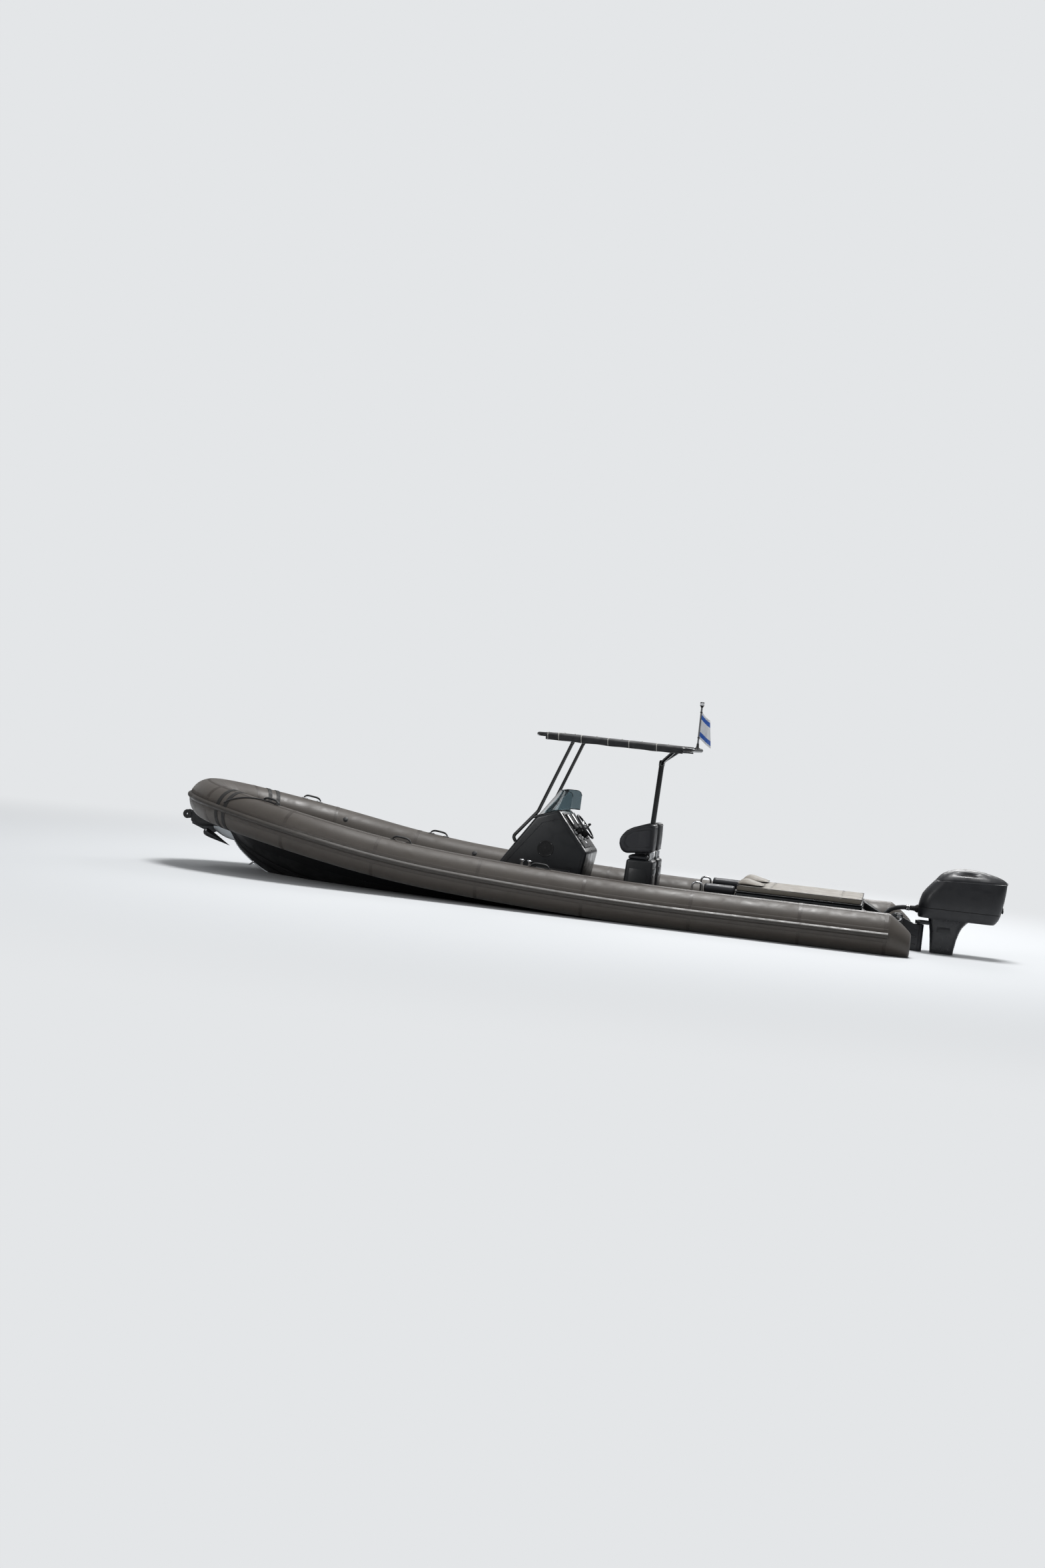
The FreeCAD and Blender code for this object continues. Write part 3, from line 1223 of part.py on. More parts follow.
def make_propeller():
    """The three-blade propeller, turned hub and lofted blades."""
    axis = Vector(float(size.prop_x), 0, float(size.prop_level))
    length = float(size.hub_length)
    hub = Part.makeCone(float(size.hub_radius), float(size.hub_radius) * 1.12, length, axis, -FORWARD)
    middle = axis - FORWARD * (length * 0.45)
    blade_rows = [(float(size.hub_radius) - 12, 130, 14, 58), (float(size.prop_radius) * 0.66, 190, 9, 36),
                  (float(size.prop_radius) - 6, 110, 4, 26)]
    sections = []
    for out, chord, thick, pitch in blade_rows:
        reach = [Vector(-chord / 2, 0, 0), Vector(0, thick / 2, 0), Vector(chord / 2, 0, 0), Vector(0, -thick / 2, 0)]
        spin = Rotation(UP, 90 - pitch)
        places = [middle + UP * out + spin.multVec(point) for point in reach]
        sections.append(Part.Wire([Part.Arc(places[0], places[1], places[2]).toShape(),
                                   Part.Arc(places[2], places[3], places[0]).toShape()]))
    blade = Part.makeLoft(sections, True, False)
    blades = []
    for number in range(3):
        copy = blade.copy()
        copy.rotate(axis, FORWARD, 120 * number)
        blades.append(copy)
    bore = Part.makeCylinder(float(size.shaft_radius + size.run_gap), length + 20, axis + FORWARD * 10, -FORWARD)
    shaped("propeller", fused([hub] + blades).cut(bore))


def make_hose():
    """The rigging hose: out of the splash well, over the transom and square into the lower cowl."""
    side = float(size.hose_side)
    level = float(size.hose_level)
    well = float(size.transom_x + size.transom_thick + size.hose_well)
    foot = float(size.sole_level + size.hose_foot)
    cowl = piece_named("cowl_lower").optimalBoundingBox(False).XMax + float(size.rest_gap)
    rise = float(size.hose_bend) * 0.7
    points = [Vector(well, side, foot), Vector(well, side, level - rise),
              Vector(well - rise * 0.9, side, level), Vector(cowl, side, level)]
    shaped("rigging_hose", bent_tube(points, size.hose_bend, size.hose_radius))


ROLLER_X = size.sheer_end + size.bow_reach * math.cos(STEEP) + size.roller_ahead
ROLLER_Z = BOW_LEVEL + size.bow_reach * math.sin(STEEP) - size.roller_drop


def make_nose(tube):
    """The nose moulding under the tubes, the roller bracket and the roller."""
    half = float(size.nose_half)
    spread = float(ROLLER_X)
    level = float(ROLLER_Z)
    side = [(spread - 560, level - 110), (spread - 190, level - 120), (spread - 50, level - 92),
            (spread - 60, level + 60), (spread - 300, level + 120)]
    block = flat([Vector(x, -half, z) for x, z in side]).extrude(PORTWARD * 2 * half)
    for shape in mirrored_pair(tube):
        block = block.cut(shape)
    block = max(block.Solids, key=lambda solid: solid.Volume)
    hull = piece_named("hull")
    block = max(block.cut(hull).Solids, key=lambda solid: solid.Volume)
    pocket_box = Part.makeBox(200, 2 * (float(size.roller_half + size.cheek_thick) + 1), 400,
                              Vector(spread - 110, -float(size.roller_half + size.cheek_thick) - 1, level - 200))
    shaped("nose_moulding", max(block.cut(pocket_box).Solids, key=lambda solid: solid.Volume))
    cheek_side = [(spread - 108, level - 60), (spread + 46, level - 22), (spread + 46, level + 24),
                  (spread - 40, level + 52), (spread - 108, level + 52)]
    inner = float(size.roller_half) + 1
    cheek = flat([Vector(x, inner, z) for x, z in cheek_side]).extrude(PORTWARD * float(size.cheek_thick))
    pin = Part.makeCylinder(float(size.roller_pin), 2 * inner + 2, Vector(spread, -inner - 1, level), PORTWARD)
    web = Part.makeBox(20, 2 * inner + 2, 100, Vector(spread - 108, -inner - 1, level - 52))
    shaped("roller_bracket", fused(mirrored_pair(cheek) + [pin, web]))
    roller = new_body("anchor_roller")
    radius, long_half, bore = size.roller_radius, size.roller_half, size.roller_pin + size.run_gap
    corners = [(bore, -long_half), (radius, -long_half), (radius * 0.6, 0), (radius, long_half), (bore, long_half)]
    turned(roller, "XY_Plane", corners, "Y_Axis")
    roller.Placement = Placement(Vector(spread, 0, level), Rotation())


def make_anchor():
    """The plough anchor, stowed under the nose."""
    level = float(ROLLER_Z)
    spread = float(ROLLER_X)
    gap = float(size.rest_gap)
    shank = flat([Vector(spread - 60, -7, level - 94.2 - gap), Vector(spread - 190, -7, level - 120 - gap),
                  Vector(spread - 522, -7, level - 111 - gap), Vector(spread - 526, -7, level - 128),
                  Vector(spread - 330, -7, level - 215), Vector(spread - 60, -7, level - 118)])
    shank = shank.extrude(PORTWARD * 14)
    tip = Vector(spread - 590, 0, level - 345)
    heel = Vector(spread - 255, 0, level - 160)
    wing = Vector(spread - 290, 95, level - 190)
    sole = Vector(spread - 275, 0, level - 215)

    def solid(corners):
        faces = [flat([corners[a], corners[b], corners[c]]) for a, b, c in ((0, 1, 2), (0, 2, 3), (0, 3, 1), (1, 3, 2))]
        return Part.makeSolid(Part.makeShell(faces))

    fluke = solid([tip, heel, wing, sole])
    halves = []
    for shape in mirrored_pair(fluke):
        halves.append(shape if shape.Volume > 0 else shape.reversed())
    shaped("anchor", fused(halves + [shank]))


def make_eye():
    """The tow eye on the stem, bent from round bar."""
    hull = piece_named("hull")
    z = float(size.eye_z)
    reach = Part.makeLine(Vector(0, 0, z), Vector(float(ROLLER_X), 0, z))
    x = reach.common(hull).BoundBox.XMax
    out = Vector(0.78, 0, -0.62)
    points = [Vector(x, -34, z) - out * 20, Vector(x, -34, z) + out * 62, Vector(x, 34, z) + out * 62,
              Vector(x, 34, z) - out * 20]
    ring = bent_tube(points, 30, size.eye_bar)
    pieces = ring.cut(hull).Solids
    shaped("tow_eye", max(pieces, key=lambda solid: solid.Volume))


# Grab handles on a tube's top: place along the boat
HANDLE_PLACES = (size.handle_fore, size.handle_middle, size.handle_aft)


def make_handles(tube):
    """Moulded grab handles on the tops of the tubes."""
    for (side, sign) in SIDES:
        solids = []
        for x in HANDLE_PLACES:
            spread, level = tube_centre(x)
            half = float(size.handle_length) / 2
            rise = float(size.handle_rise)
            wide = float(size.handle_width) / 2
            top = float(size.tube_radius)
            side_points = [(-half, top - 30), (-half, top + 10), (-half + 50, top + rise), (half - 50, top + rise),
                           (half, top + 10), (half, top - 30)]
            strap = flat([Vector(u, -wide, v) for u, v in side_points]).extrude(PORTWARD * 2 * wide)
            gap = flat([Vector(-half + 45, -wide - 1, top + 2), Vector(-half + 68, -wide - 1, top + rise - 16),
                        Vector(half - 68, -wide - 1, top + rise - 16), Vector(half - 45, -wide - 1, top + 2)])
            strap = strap.cut(gap.extrude(PORTWARD * (2 * wide + 2)))
            slope = math.degrees(math.atan2(tube_centre(x + 10)[1] - level, 10))
            turn = math.degrees(math.atan2(tube_centre(x + 10)[0] - spread, 10))
            strap.Placement = Placement(Vector(x, spread, level), Rotation(UP, turn).multiply(Rotation(PORTWARD, -slope)))
            strap = max(strap.cut(tube).Solids, key=lambda solid: solid.Volume)
            solids.append(strap if sign > 0 else strap.mirror(Vector(0, 0, 0), PORTWARD))
        shaped("grab_handles_" + side, Part.makeCompound(solids))


def make_bollards():
    """Twin polished mooring posts on a pedestal at the inner shoulder of each tube."""
    radius = float(size.bollard_radius)
    half = float(size.bollard_step) + 64
    clear = float(size.tube_radius) + 1
    high = float(size.bollard_pad)
    low = -float(size.sheer_below)
    inner = -clear - 45
    outer = -math.sqrt(clear**2 - high**2)
    foot = -math.sqrt(clear**2 - low**2)
    edges = [Part.makeLine(Vector(-half, foot, low), Vector(-half, inner, low)),
             Part.makeLine(Vector(-half, inner, low), Vector(-half, inner, high)),
             Part.makeLine(Vector(-half, inner, high), Vector(-half, outer, high)),
             Part.Arc(Vector(-half, outer, high), Vector(-half, -clear, 0), Vector(-half, foot, low)).toShape()]
    pedestal = Part.Face(Part.Wire(edges)).extrude(FORWARD * 2 * half)
    solids = [pedestal]
    for offset in (-float(size.bollard_step), float(size.bollard_step)):
        place = Vector(offset, (inner + outer) / 2, high)
        solids.append(Part.makeCylinder(radius, float(size.bollard_rise), place))
        solids.append(Part.makeCylinder(radius * 1.5, 10, place + UP * float(size.bollard_rise)))
    whole = fused(solids)
    spread, level = tube_centre(size.bollard_x)
    slope = math.degrees(math.atan2(tube_centre(size.bollard_x + 10)[1] - level, 10))
    whole.Placement = Placement(Vector(float(size.bollard_x), spread, level), Rotation(PORTWARD, -slope))
    whole = max(whole.cut(piece_named("hull")).Solids, key=lambda solid: solid.Volume)
    shaped("mooring_bollards", Part.makeCompound(mirrored_pair(whole)))


def build():
    """Builds every piece in order, from the tubes inwards."""
    tube = make_tubes()
    make_strake()
    make_hull(tube)
    make_bands()
    make_sole()
    make_foredeck()
    make_hatch()
    make_console()
    make_speakers()
    make_windscreen()
    make_dash()
    make_throttle()
    make_wheel()
    make_canopy_frame()
    make_staff()
    make_flag()
    make_seats()
    make_bed()
    make_stern(tube)
    make_clamp()
    make_swivel()
    make_cowls()
    make_midsection()
    make_gearcase()
    make_propeller()
    make_hose()
    make_nose(tube)
    make_anchor()
    make_eye()
    make_handles(tube)
    make_bollards()


def check_and_write():
    """Checks each object's state and shape, then writes one file a piece."""
    DOC.recompute()
    for item in DOC.Objects:
        if "Invalid" in item.State or "Error" in item.State:
            raise RuntimeError("%s is %s" % (item.Label, item.State))
    for part in parts:
        if part.Shape.isNull() or not part.Shape.isValid() or not part.Shape.Solids:
            raise RuntimeError("the shape of %s isn't sound" % part.Label)
    os.makedirs("parts", exist_ok=True)
    for part in parts:
        part.Shape.exportStep("parts/%s.step" % part.Label)
        box = part.Shape.BoundBox
        print("%-24s solids %d  volume %.4f m3  x %.0f..%.0f  y %.0f..%.0f  z %.0f..%.0f" % (
            part.Label, len(part.Shape.Solids), part.Shape.Volume / 1e9,
            box.XMin, box.XMax, box.YMin, box.YMax, box.ZMin, box.ZMax))


build()
check_and_write()
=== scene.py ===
"""Rigid inflatable boat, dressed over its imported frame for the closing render.

Metres throughout. +X is forward, +Y is to port and +Z is up, with the origin on the
centreline, amidships, at the waterline. Every sub-assembly is a class that holds its
sizes, builds its meshes and dresses them.
"""
import json
import logging
import math
from dataclasses import dataclass
from enum import Enum
from typing import Callable, Iterable, Sequence

import bmesh
import bpy
from mathutils import Matrix, Quaternion, Vector, noise

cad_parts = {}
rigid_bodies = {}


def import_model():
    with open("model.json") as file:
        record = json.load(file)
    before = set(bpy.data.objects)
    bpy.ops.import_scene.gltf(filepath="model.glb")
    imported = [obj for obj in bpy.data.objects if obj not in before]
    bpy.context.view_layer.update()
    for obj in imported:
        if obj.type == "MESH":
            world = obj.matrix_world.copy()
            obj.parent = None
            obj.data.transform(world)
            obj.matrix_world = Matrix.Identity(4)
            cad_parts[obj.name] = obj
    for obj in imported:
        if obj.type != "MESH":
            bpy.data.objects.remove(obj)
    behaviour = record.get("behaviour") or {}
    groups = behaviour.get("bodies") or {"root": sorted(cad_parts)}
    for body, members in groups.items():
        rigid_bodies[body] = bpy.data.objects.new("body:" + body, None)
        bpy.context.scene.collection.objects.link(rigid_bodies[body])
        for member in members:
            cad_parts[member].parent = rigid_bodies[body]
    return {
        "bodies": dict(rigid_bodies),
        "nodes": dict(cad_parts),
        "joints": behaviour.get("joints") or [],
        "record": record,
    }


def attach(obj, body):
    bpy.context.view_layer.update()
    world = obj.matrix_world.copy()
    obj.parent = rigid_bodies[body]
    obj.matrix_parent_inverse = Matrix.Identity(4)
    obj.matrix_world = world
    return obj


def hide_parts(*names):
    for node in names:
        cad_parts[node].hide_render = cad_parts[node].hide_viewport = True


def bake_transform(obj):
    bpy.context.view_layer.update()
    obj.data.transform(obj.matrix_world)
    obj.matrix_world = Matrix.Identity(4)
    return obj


LOG = logging.getLogger("boat")
FORWARD = Vector((1.0, 0.0, 0.0))
PORTWARD = Vector((0.0, 1.0, 0.0))
UP = Vector((0.0, 0.0, 1.0))
SIDES = (("port", 1), ("starboard", -1))
# Pairs of numbers, such as the corners of an outline or a turned part's places and radii
Pairs = tuple[tuple[float, float], ...]
# Rows of a table of sizes
Rows = tuple[tuple[float, ...], ...]
# A step of the tubes' centre line: place, outward and upward directions, length so far
Step = tuple[Vector, Vector, Vector, float]


class Pattern(Enum):
    """The relief that a finish carries."""

    PEBBLE = "pebble"
    WEAVE = "weave"
    RIBBED = "ribbed"
    TREAD = "tread"
    BRUSHED = "brushed"
    PEEL = "peel"


def linear(colour: str) -> tuple[float, float, float, float]:
    """Turns an sRGB hex colour into linear RGBA.

    Args:
        colour: The colour, such as "#20242a".

    Returns:
        The linear red, green, blue and an alpha of one.
    """
    parts = [int(colour[place:place + 2], 16) / 255 for place in (1, 3, 5)]
    turned = [part / 12.92 if part <= 0.04045 else ((part + 0.055) / 1.055) ** 2.4 for part in parts]
    return turned[0], turned[1], turned[2], 1.0


def add_node(tree: bpy.types.NodeTree, kind: str, settings: dict | None = None,
             inputs: dict | None = None) -> bpy.types.Node:
    """Adds one node with its settings and links.

    Args:
        tree: The node tree that gets the node.
        kind: The node's type name.
        settings: Values of the node's own properties.
        inputs: For each input, by name or number, a value or the socket that feeds it.

    Returns:
        The new node.
    """
    node = tree.nodes.new(kind)
    for name, value in (settings or {}).items():
        setattr(node, name, value)
    for name, value in (inputs or {}).items():
        if isinstance(value, bpy.types.NodeSocket):
            tree.links.new(value, node.inputs[name])
        else:
            node.inputs[name].default_value = value
    return node


def maths(tree: bpy.types.NodeTree, operation: str,
          *values: float | bpy.types.NodeSocket) -> bpy.types.NodeSocket:
    """Adds a node that works out one value.

    Args:
        tree: The node tree that gets the node.
        operation: What it does.
        values: The numbers or sockets that it takes.

    Returns:
        The result's socket.
    """
    return add_node(tree, "ShaderNodeMath", {"operation": operation}, dict(enumerate(values))).outputs[0]


@dataclass(frozen=True)
class Finish:
    """One finish: what the real surface is made of and how it was made."""

    name: str
    slot: str
    colour: str
    roughness: float
    pattern: Pattern = Pattern.PEBBLE
    pattern_mm: float = 2.0
    relief_mm: float = 0.05
    variation: float = 0.18
    patch_mm: float = 260.0
    metallic: float = 0.0
    coat: float = 0.0
    sheen: float = 0.0
    ior: float = 1.5
    worn: str = ""
    through: float = 0.0

    def build(self) -> bpy.types.Material:
        """Builds the material once and returns it afterwards."""
        made = bpy.data.materials.get(self.name)
        if made:
            return made
        made = bpy.data.materials.new(self.name)
        made.use_nodes = True
        tree = made.node_tree
        tree.nodes.clear()
        output = add_node(tree, "ShaderNodeOutputMaterial")
        shader = add_node(tree, "ShaderNodeBsdfPrincipled", inputs={
            "Metallic": self.metallic, "IOR": self.ior, "Coat Weight": self.coat, "Coat Roughness": 0.06,
            "Sheen Weight": self.sheen, "Sheen Roughness": 0.5, "Transmission Weight": self.through})
        place = add_node(tree, "ShaderNodeTexCoord").outputs["Object"]
        tree.links.new(self.coloured(tree, place), shader.inputs["Base Color"])
        tree.links.new(self.roughened(tree, place), shader.inputs["Roughness"])
        tree.links.new(self.raised(tree, place), shader.inputs["Normal"])
        tree.links.new(shader.outputs["BSDF"], output.inputs["Surface"])
        made.diffuse_color = linear(self.colour)
        return made

    def coloured(self, tree: bpy.types.NodeTree, place: bpy.types.NodeSocket) -> bpy.types.NodeSocket:
        """The colour, lighter and darker in broad patches and in the grain.

        Args:
            tree: The material's tree.
            place: Object coordinates.

        Returns:
            The colour's socket.
        """
        base = Vector(linear(self.colour)[:3])
        low = base * (1 - self.variation)
        high = Vector(linear(self.worn)[:3]) if self.worn else base * (1 + self.variation)
        patches = add_node(tree, "ShaderNodeTexNoise", inputs={
            "Vector": place, "Scale": 1000 / self.patch_mm, "Detail": 6.0, "Roughness": 0.62})
        grain = add_node(tree, "ShaderNodeTexNoise", inputs={
            "Vector": place, "Scale": 1000 / (self.pattern_mm * 3), "Detail": 3.0})
        blend = maths(tree, "MULTIPLY", patches.outputs["Fac"], 0.7)
        total = maths(tree, "MULTIPLY_ADD", grain.outputs["Fac"], 0.3, blend)
        ramp = add_node(tree, "ShaderNodeValToRGB", inputs={"Fac": total})
        ramp.color_ramp.elements[0].position = 0.32
        ramp.color_ramp.elements[0].color = (*low, 1)
        ramp.color_ramp.elements[1].position = 0.72
        ramp.color_ramp.elements[1].color = (*high, 1)
        middle = ramp.color_ramp.elements.new(0.5)
        middle.color = (*base, 1)
        return ramp.outputs["Color"]

    def roughened(self, tree: bpy.types.NodeTree, place: bpy.types.NodeSocket) -> bpy.types.NodeSocket:
        """The roughness, a little uneven as handled and weathered surfaces are.

        Args:
            tree: The material's tree.
            place: Object coordinates.

        Returns:
            The roughness's socket.
        """
        smears = add_node(tree, "ShaderNodeTexNoise", inputs={
            "Vector": place, "Scale": 1000 / (self.patch_mm * 0.4), "Detail": 5.0, "Distortion": 0.6})
        spread = min(self.roughness * 0.35, 0.12)
        ranged = add_node(tree, "ShaderNodeMapRange", inputs={
            "Value": smears.outputs["Fac"], "From Min": 0.3, "From Max": 0.7,
            "To Min": max(self.roughness - spread, 0.02), "To Max": min(self.roughness + spread, 1.0)})
        return ranged.outputs["Result"]

    def raised(self, tree: bpy.types.NodeTree, place: bpy.types.NodeSocket) -> bpy.types.NodeSocket:
        """The relief of the finish's own pattern.

        Args:
            tree: The material's tree.
            place: Object coordinates.

        Returns:
            The bumped normal's socket.
        """
        scale = 1000 / self.pattern_mm
        if self.pattern is Pattern.WEAVE:
            waves = [add_node(tree, "ShaderNodeTexWave", {"bands_direction": axis, "wave_type": "BANDS"}, {
                "Vector": place, "Scale": scale / 6.3, "Distortion": 0.4}) for axis in ("X", "Y", "Z")]
            crossed = maths(tree, "MULTIPLY", waves[0].outputs["Fac"], waves[1].outputs["Fac"])
            height = maths(tree, "ADD", crossed, waves[2].outputs["Fac"])
        elif self.pattern is Pattern.RIBBED:
            height = add_node(tree, "ShaderNodeTexWave", {"bands_direction": "X", "wave_type": "BANDS"}, {
                "Vector": place, "Scale": scale / 6.3}).outputs["Fac"]
        elif self.pattern is Pattern.TREAD:
            cells = add_node(tree, "ShaderNodeTexVoronoi", {"feature": "F1", "distance": "CHEBYCHEV"}, {
                "Vector": place, "Scale": scale, "Randomness": 0.0})
            height = add_node(tree, "ShaderNodeMapRange", inputs={
                "Value": cells.outputs["Distance"], "From Min": 0.25, "From Max": 0.4,
                "To Min": 1.0, "To Max": 0.0}).outputs["Result"]
        elif self.pattern is Pattern.BRUSHED:
            stretched = add_node(tree, "ShaderNodeMapping", inputs={
                "Vector": place, "Scale": (scale * 0.05, scale, scale)})
            height = add_node(tree, "ShaderNodeTexNoise", inputs={
                "Vector": stretched.outputs["Vector"], "Scale": 1.0, "Detail": 2.0}).outputs["Fac"]
        elif self.pattern is Pattern.PEEL:
            height = add_node(tree, "ShaderNodeTexNoise", inputs={
                "Vector": place, "Scale": scale, "Detail": 1.0, "Roughness": 0.3}).outputs["Fac"]
        else:
            cells = add_node(tree, "ShaderNodeTexVoronoi", {"feature": "SMOOTH_F1"}, {
                "Vector": place, "Scale": scale, "Smoothness": 0.6})
            fine = add_node(tree, "ShaderNodeTexNoise", inputs={"Vector": place, "Scale": scale * 2.2})
            height = maths(tree, "ADD", cells.outputs["Distance"], fine.outputs["Fac"])
        bump = add_node(tree, "ShaderNodeBump", inputs={
            "Height": height, "Strength": 0.6, "Distance": self.relief_mm / 1000})
        return bump.outputs["Normal"]


# Coated fabric of an inflatable tube: calendered, matt, with a fine weave showing through
TUBE_FABRIC = Finish("coated_tube_fabric", "tube_fabric", "#3e3832", 0.5, Pattern.WEAVE, 5.0, 0.12, 0.14,
                     420, sheen=0.12)
# The same fabric cut as glued tape: a shade darker where the glue line holds dirt
SEAM_TAPE = Finish("coated_seam_tape", "tube_fabric", "#39332e", 0.46, Pattern.WEAVE, 5.0, 0.12, 0.12, 180)
# Extruded rubber fender, satin and a little chalky on its crown
STRAKE_RUBBER = Finish("extruded_strake_rubber", "strake_rubber", "#35312d", 0.44, Pattern.PEBBLE, 3.0,
                       0.05, 0.15, 300, worn="#403b36")
# Thick rubber patch with a pressed pattern
PATCH_RUBBER = Finish("pressed_patch_rubber", "black_moulding", "#171615", 0.62, Pattern.TREAD, 7.0, 0.6,
                      0.12, 90)
# Polished gelcoat: sprayed in a mould, a wet gloss with long soft waves
GELCOAT = Finish("moulded_gelcoat_black", "gelcoat_black", "#0d0e10", 0.38, Pattern.PEEL, 120.0, 0.06, 0.14,
                 500, ior=1.33)
# Moulded deck with a diamond tread, matt grey and scuffed
DECK = Finish("moulded_tread_deck", "deck_grey", "#34363a", 0.68, Pattern.TREAD, 16.0, 0.8, 0.09, 240)
# Satin painted glassfibre of the console and lockers
PAINTED_MOULDING = Finish("painted_glassfibre", "console_black", "#14171b", 0.36, Pattern.PEEL, 40.0, 0.03,
                          0.1, 300, coat=0.12)
# Gloss powder coat on the canopy's tube frame
POWDER_COAT = Finish("powder_coated_tube", "frame_black", "#0b0c0e", 0.16, Pattern.PEEL, 4.0, 0.03, 0.12,
                     150, coat=0.5)
# Polished stainless bar and tube
STAINLESS = Finish("polished_stainless", "stainless", "#c3c4c6", 0.12, Pattern.BRUSHED, 1.2, 0.01, 0.05,
                   120, metallic=1.0)
# Brushed stainless plate, pale and soft
BRUSHED_PLATE = Finish("brushed_stem_plate", "stainless", "#d5dadd", 0.42, Pattern.BRUSHED, 1.2, 0.02, 0.06,
                       90, metallic=0.85)
# Hot-dipped forging, dark and dull
GALVANISED = Finish("galvanised_forging", "galvanised", "#3d3e40", 0.48, Pattern.PEBBLE, 2.5, 0.12, 0.2, 60,
                    metallic=0.8)
# Embossed marine vinyl over foam
VINYL = Finish("embossed_marine_vinyl", "upholstery", "#24252a", 0.44, Pattern.PEBBLE, 3.2, 0.14, 0.12, 160)
# Piping and stitching of the upholstery
PIPING = Finish("welted_vinyl_piping", "upholstery", "#131416", 0.38, Pattern.PEBBLE, 2.0, 0.05, 0.1, 60)
# Grey outdoor fabric over the sunbed's foam
SUNBED_FABRIC = Finish("woven_sunbed_vinyl", "cushion_grey", "#7a746b", 0.62, Pattern.WEAVE, 6.0, 0.15, 0.1,
                       200, sheen=0.2)
# Solution-dyed canopy fabric, coarse plain weave
CANOPY_FABRIC = Finish("woven_canopy_fabric", "canopy_fabric", "#101114", 0.7, Pattern.WEAVE, 5.0, 0.2,
                       0.06, 220, sheen=0.25)
# Baked satin paint on the engine's moulded cowls
ENGINE_PAINT = Finish("baked_cowl_paint", "engine_black", "#15161a", 0.42, Pattern.PEEL, 30.0, 0.02, 0.1,
                      240, coat=0.06)
# Painted aluminium casting of the leg and brackets
ENGINE_CASTING = Finish("painted_casting", "engine_cast", "#1b1c20", 0.36, Pattern.PEBBLE, 4.0, 0.1, 0.15,
                        90, coat=0.15)
# Glass-filled nylon of small mouldings
NYLON = Finish("moulded_nylon", "black_moulding", "#131416", 0.56, Pattern.PEBBLE, 2.0, 0.06, 0.12, 70)
# Glossy cover glass of a switched-off display
DISPLAY_GLASS = Finish("switched_off_display", "black_moulding", "#06080b", 0.05, Pattern.PEEL, 40.0, 0.01,
                       0.05, 90, coat=1.0)
# White lens of the all-round light
LENS = Finish("frosted_lens", "flag_cloth", "#e9eaec", 0.2, Pattern.PEEL, 3.0, 0.02, 0.03, 40, coat=0.3)
# Corrugated rubber sleeve of the rigging hose
HOSE_RUBBER = Finish("corrugated_hose_rubber", "black_moulding", "#16171a", 0.5, Pattern.PEBBLE, 2.0, 0.05,
                     0.14, 80)
# Smoked polycarbonate, cast clear and glossy
SMOKED_SCREEN = Finish("smoked_polycarbonate", "tinted_screen", "#a3b7bd", 0.03, Pattern.PEEL, 90.0, 0.01,
                       0.04, 400, ior=1.45, through=0.96)
# Printed polyester bunting, its two bars
FLAG_BLUE = Finish("blue_bunting", "flag_cloth", "#2b5fb8", 0.75, Pattern.WEAVE, 3.0, 0.1, 0.06, 90,
                   sheen=0.3)
FLAG_WHITE = Finish("white_bunting", "flag_cloth", "#e3e6ea", 0.75, Pattern.WEAVE, 3.0, 0.1, 0.04, 90,
                    sheen=0.3)
# Waxed polyester thread of the sewn seams
THREAD = Finish("seam_thread", "upholstery", "#3a3c42", 0.6, Pattern.RIBBED, 0.8, 0.05, 0.1, 20)
# White polyester lacing cord
CORD_WHITE = Finish("white_lacing_cord", "canopy_fabric", "#cfcdc6", 0.7, Pattern.RIBBED, 1.6, 0.1, 0.08,
                    20)
# Braided polyester rope and webbing, dark and salted
ROPE = Finish("braided_rope", "black_moulding", "#201f20", 0.8, Pattern.WEAVE, 4.0, 0.4, 0.2, 60, sheen=0.2)
# Near-black foam of real gaskets and seals, also laid as painted shade in recesses, gaps, holes and mouths
GASKET_AND_PAINTED_SHADE = Finish("gasket_and_painted_shade", "black_moulding", "#070708", 0.85, Pattern.PEBBLE, 1.5, 0.05, 0.1, 30)

NODES: dict[str, bpy.types.Object] = {}


def turns(count: int) -> list[float]:
    """Angles at even steps round a circle.

    Args:
        count: How many.

    Returns:
        The angles, from nought.
    """
    return [math.tau * step / count for step in range(count)]


def as_data(mesh: bmesh.types.BMesh, name: str) -> bpy.types.Mesh:
    """Keeps an edited mesh as plain data and frees it.

    Args:
        mesh: The edited mesh.
        name: The data's name.

    Returns:
        The data.
    """
    data = bpy.data.meshes.new(name)
    mesh.to_mesh(data)
    mesh.free()
    return data


def linked(name: str, data: bpy.types.ID) -> bpy.types.Object:
    """Puts data in the scene as an object.

    Args:
        name: The object's name.
        data: What it shows.

    Returns:
        The object.
    """
    made = bpy.data.objects.new(name, data)
    bpy.context.scene.collection.objects.link(made)
    return made


def harvested(holder: bpy.types.Object) -> bpy.types.Mesh:
    """The mesh that an object's modifiers or curve give, after which the object goes.

    Args:
        holder: The object.

    Returns:
        Its evaluated mesh.
    """
    depsgraph = bpy.context.evaluated_depsgraph_get()
    result = bpy.data.meshes.new_from_object(holder.evaluated_get(depsgraph), depsgraph=depsgraph)
    bpy.data.objects.remove(holder)
    return result


def rounded_block(extent: Sequence[float], round_by: float, segments: int,
                  profile: float = 0.5) -> bmesh.types.BMesh:
    """A block about the origin with rounded edges.

    Args:
        extent: Its three full sizes.
        round_by: The edges' rounding.
        segments: Steps of the rounding.
        profile: How full the rounding is.

    Returns:
        The block.
    """
    block = bmesh.new()
    bmesh.ops.create_cube(block, size=1.0)
    bmesh.ops.scale(block, vec=Vector(extent), verts=block.verts)
    if round_by > 0:
        bmesh.ops.bevel(block, geom=list(block.edges), offset=round_by, segments=segments, profile=profile,
                        affect="EDGES")
    return block


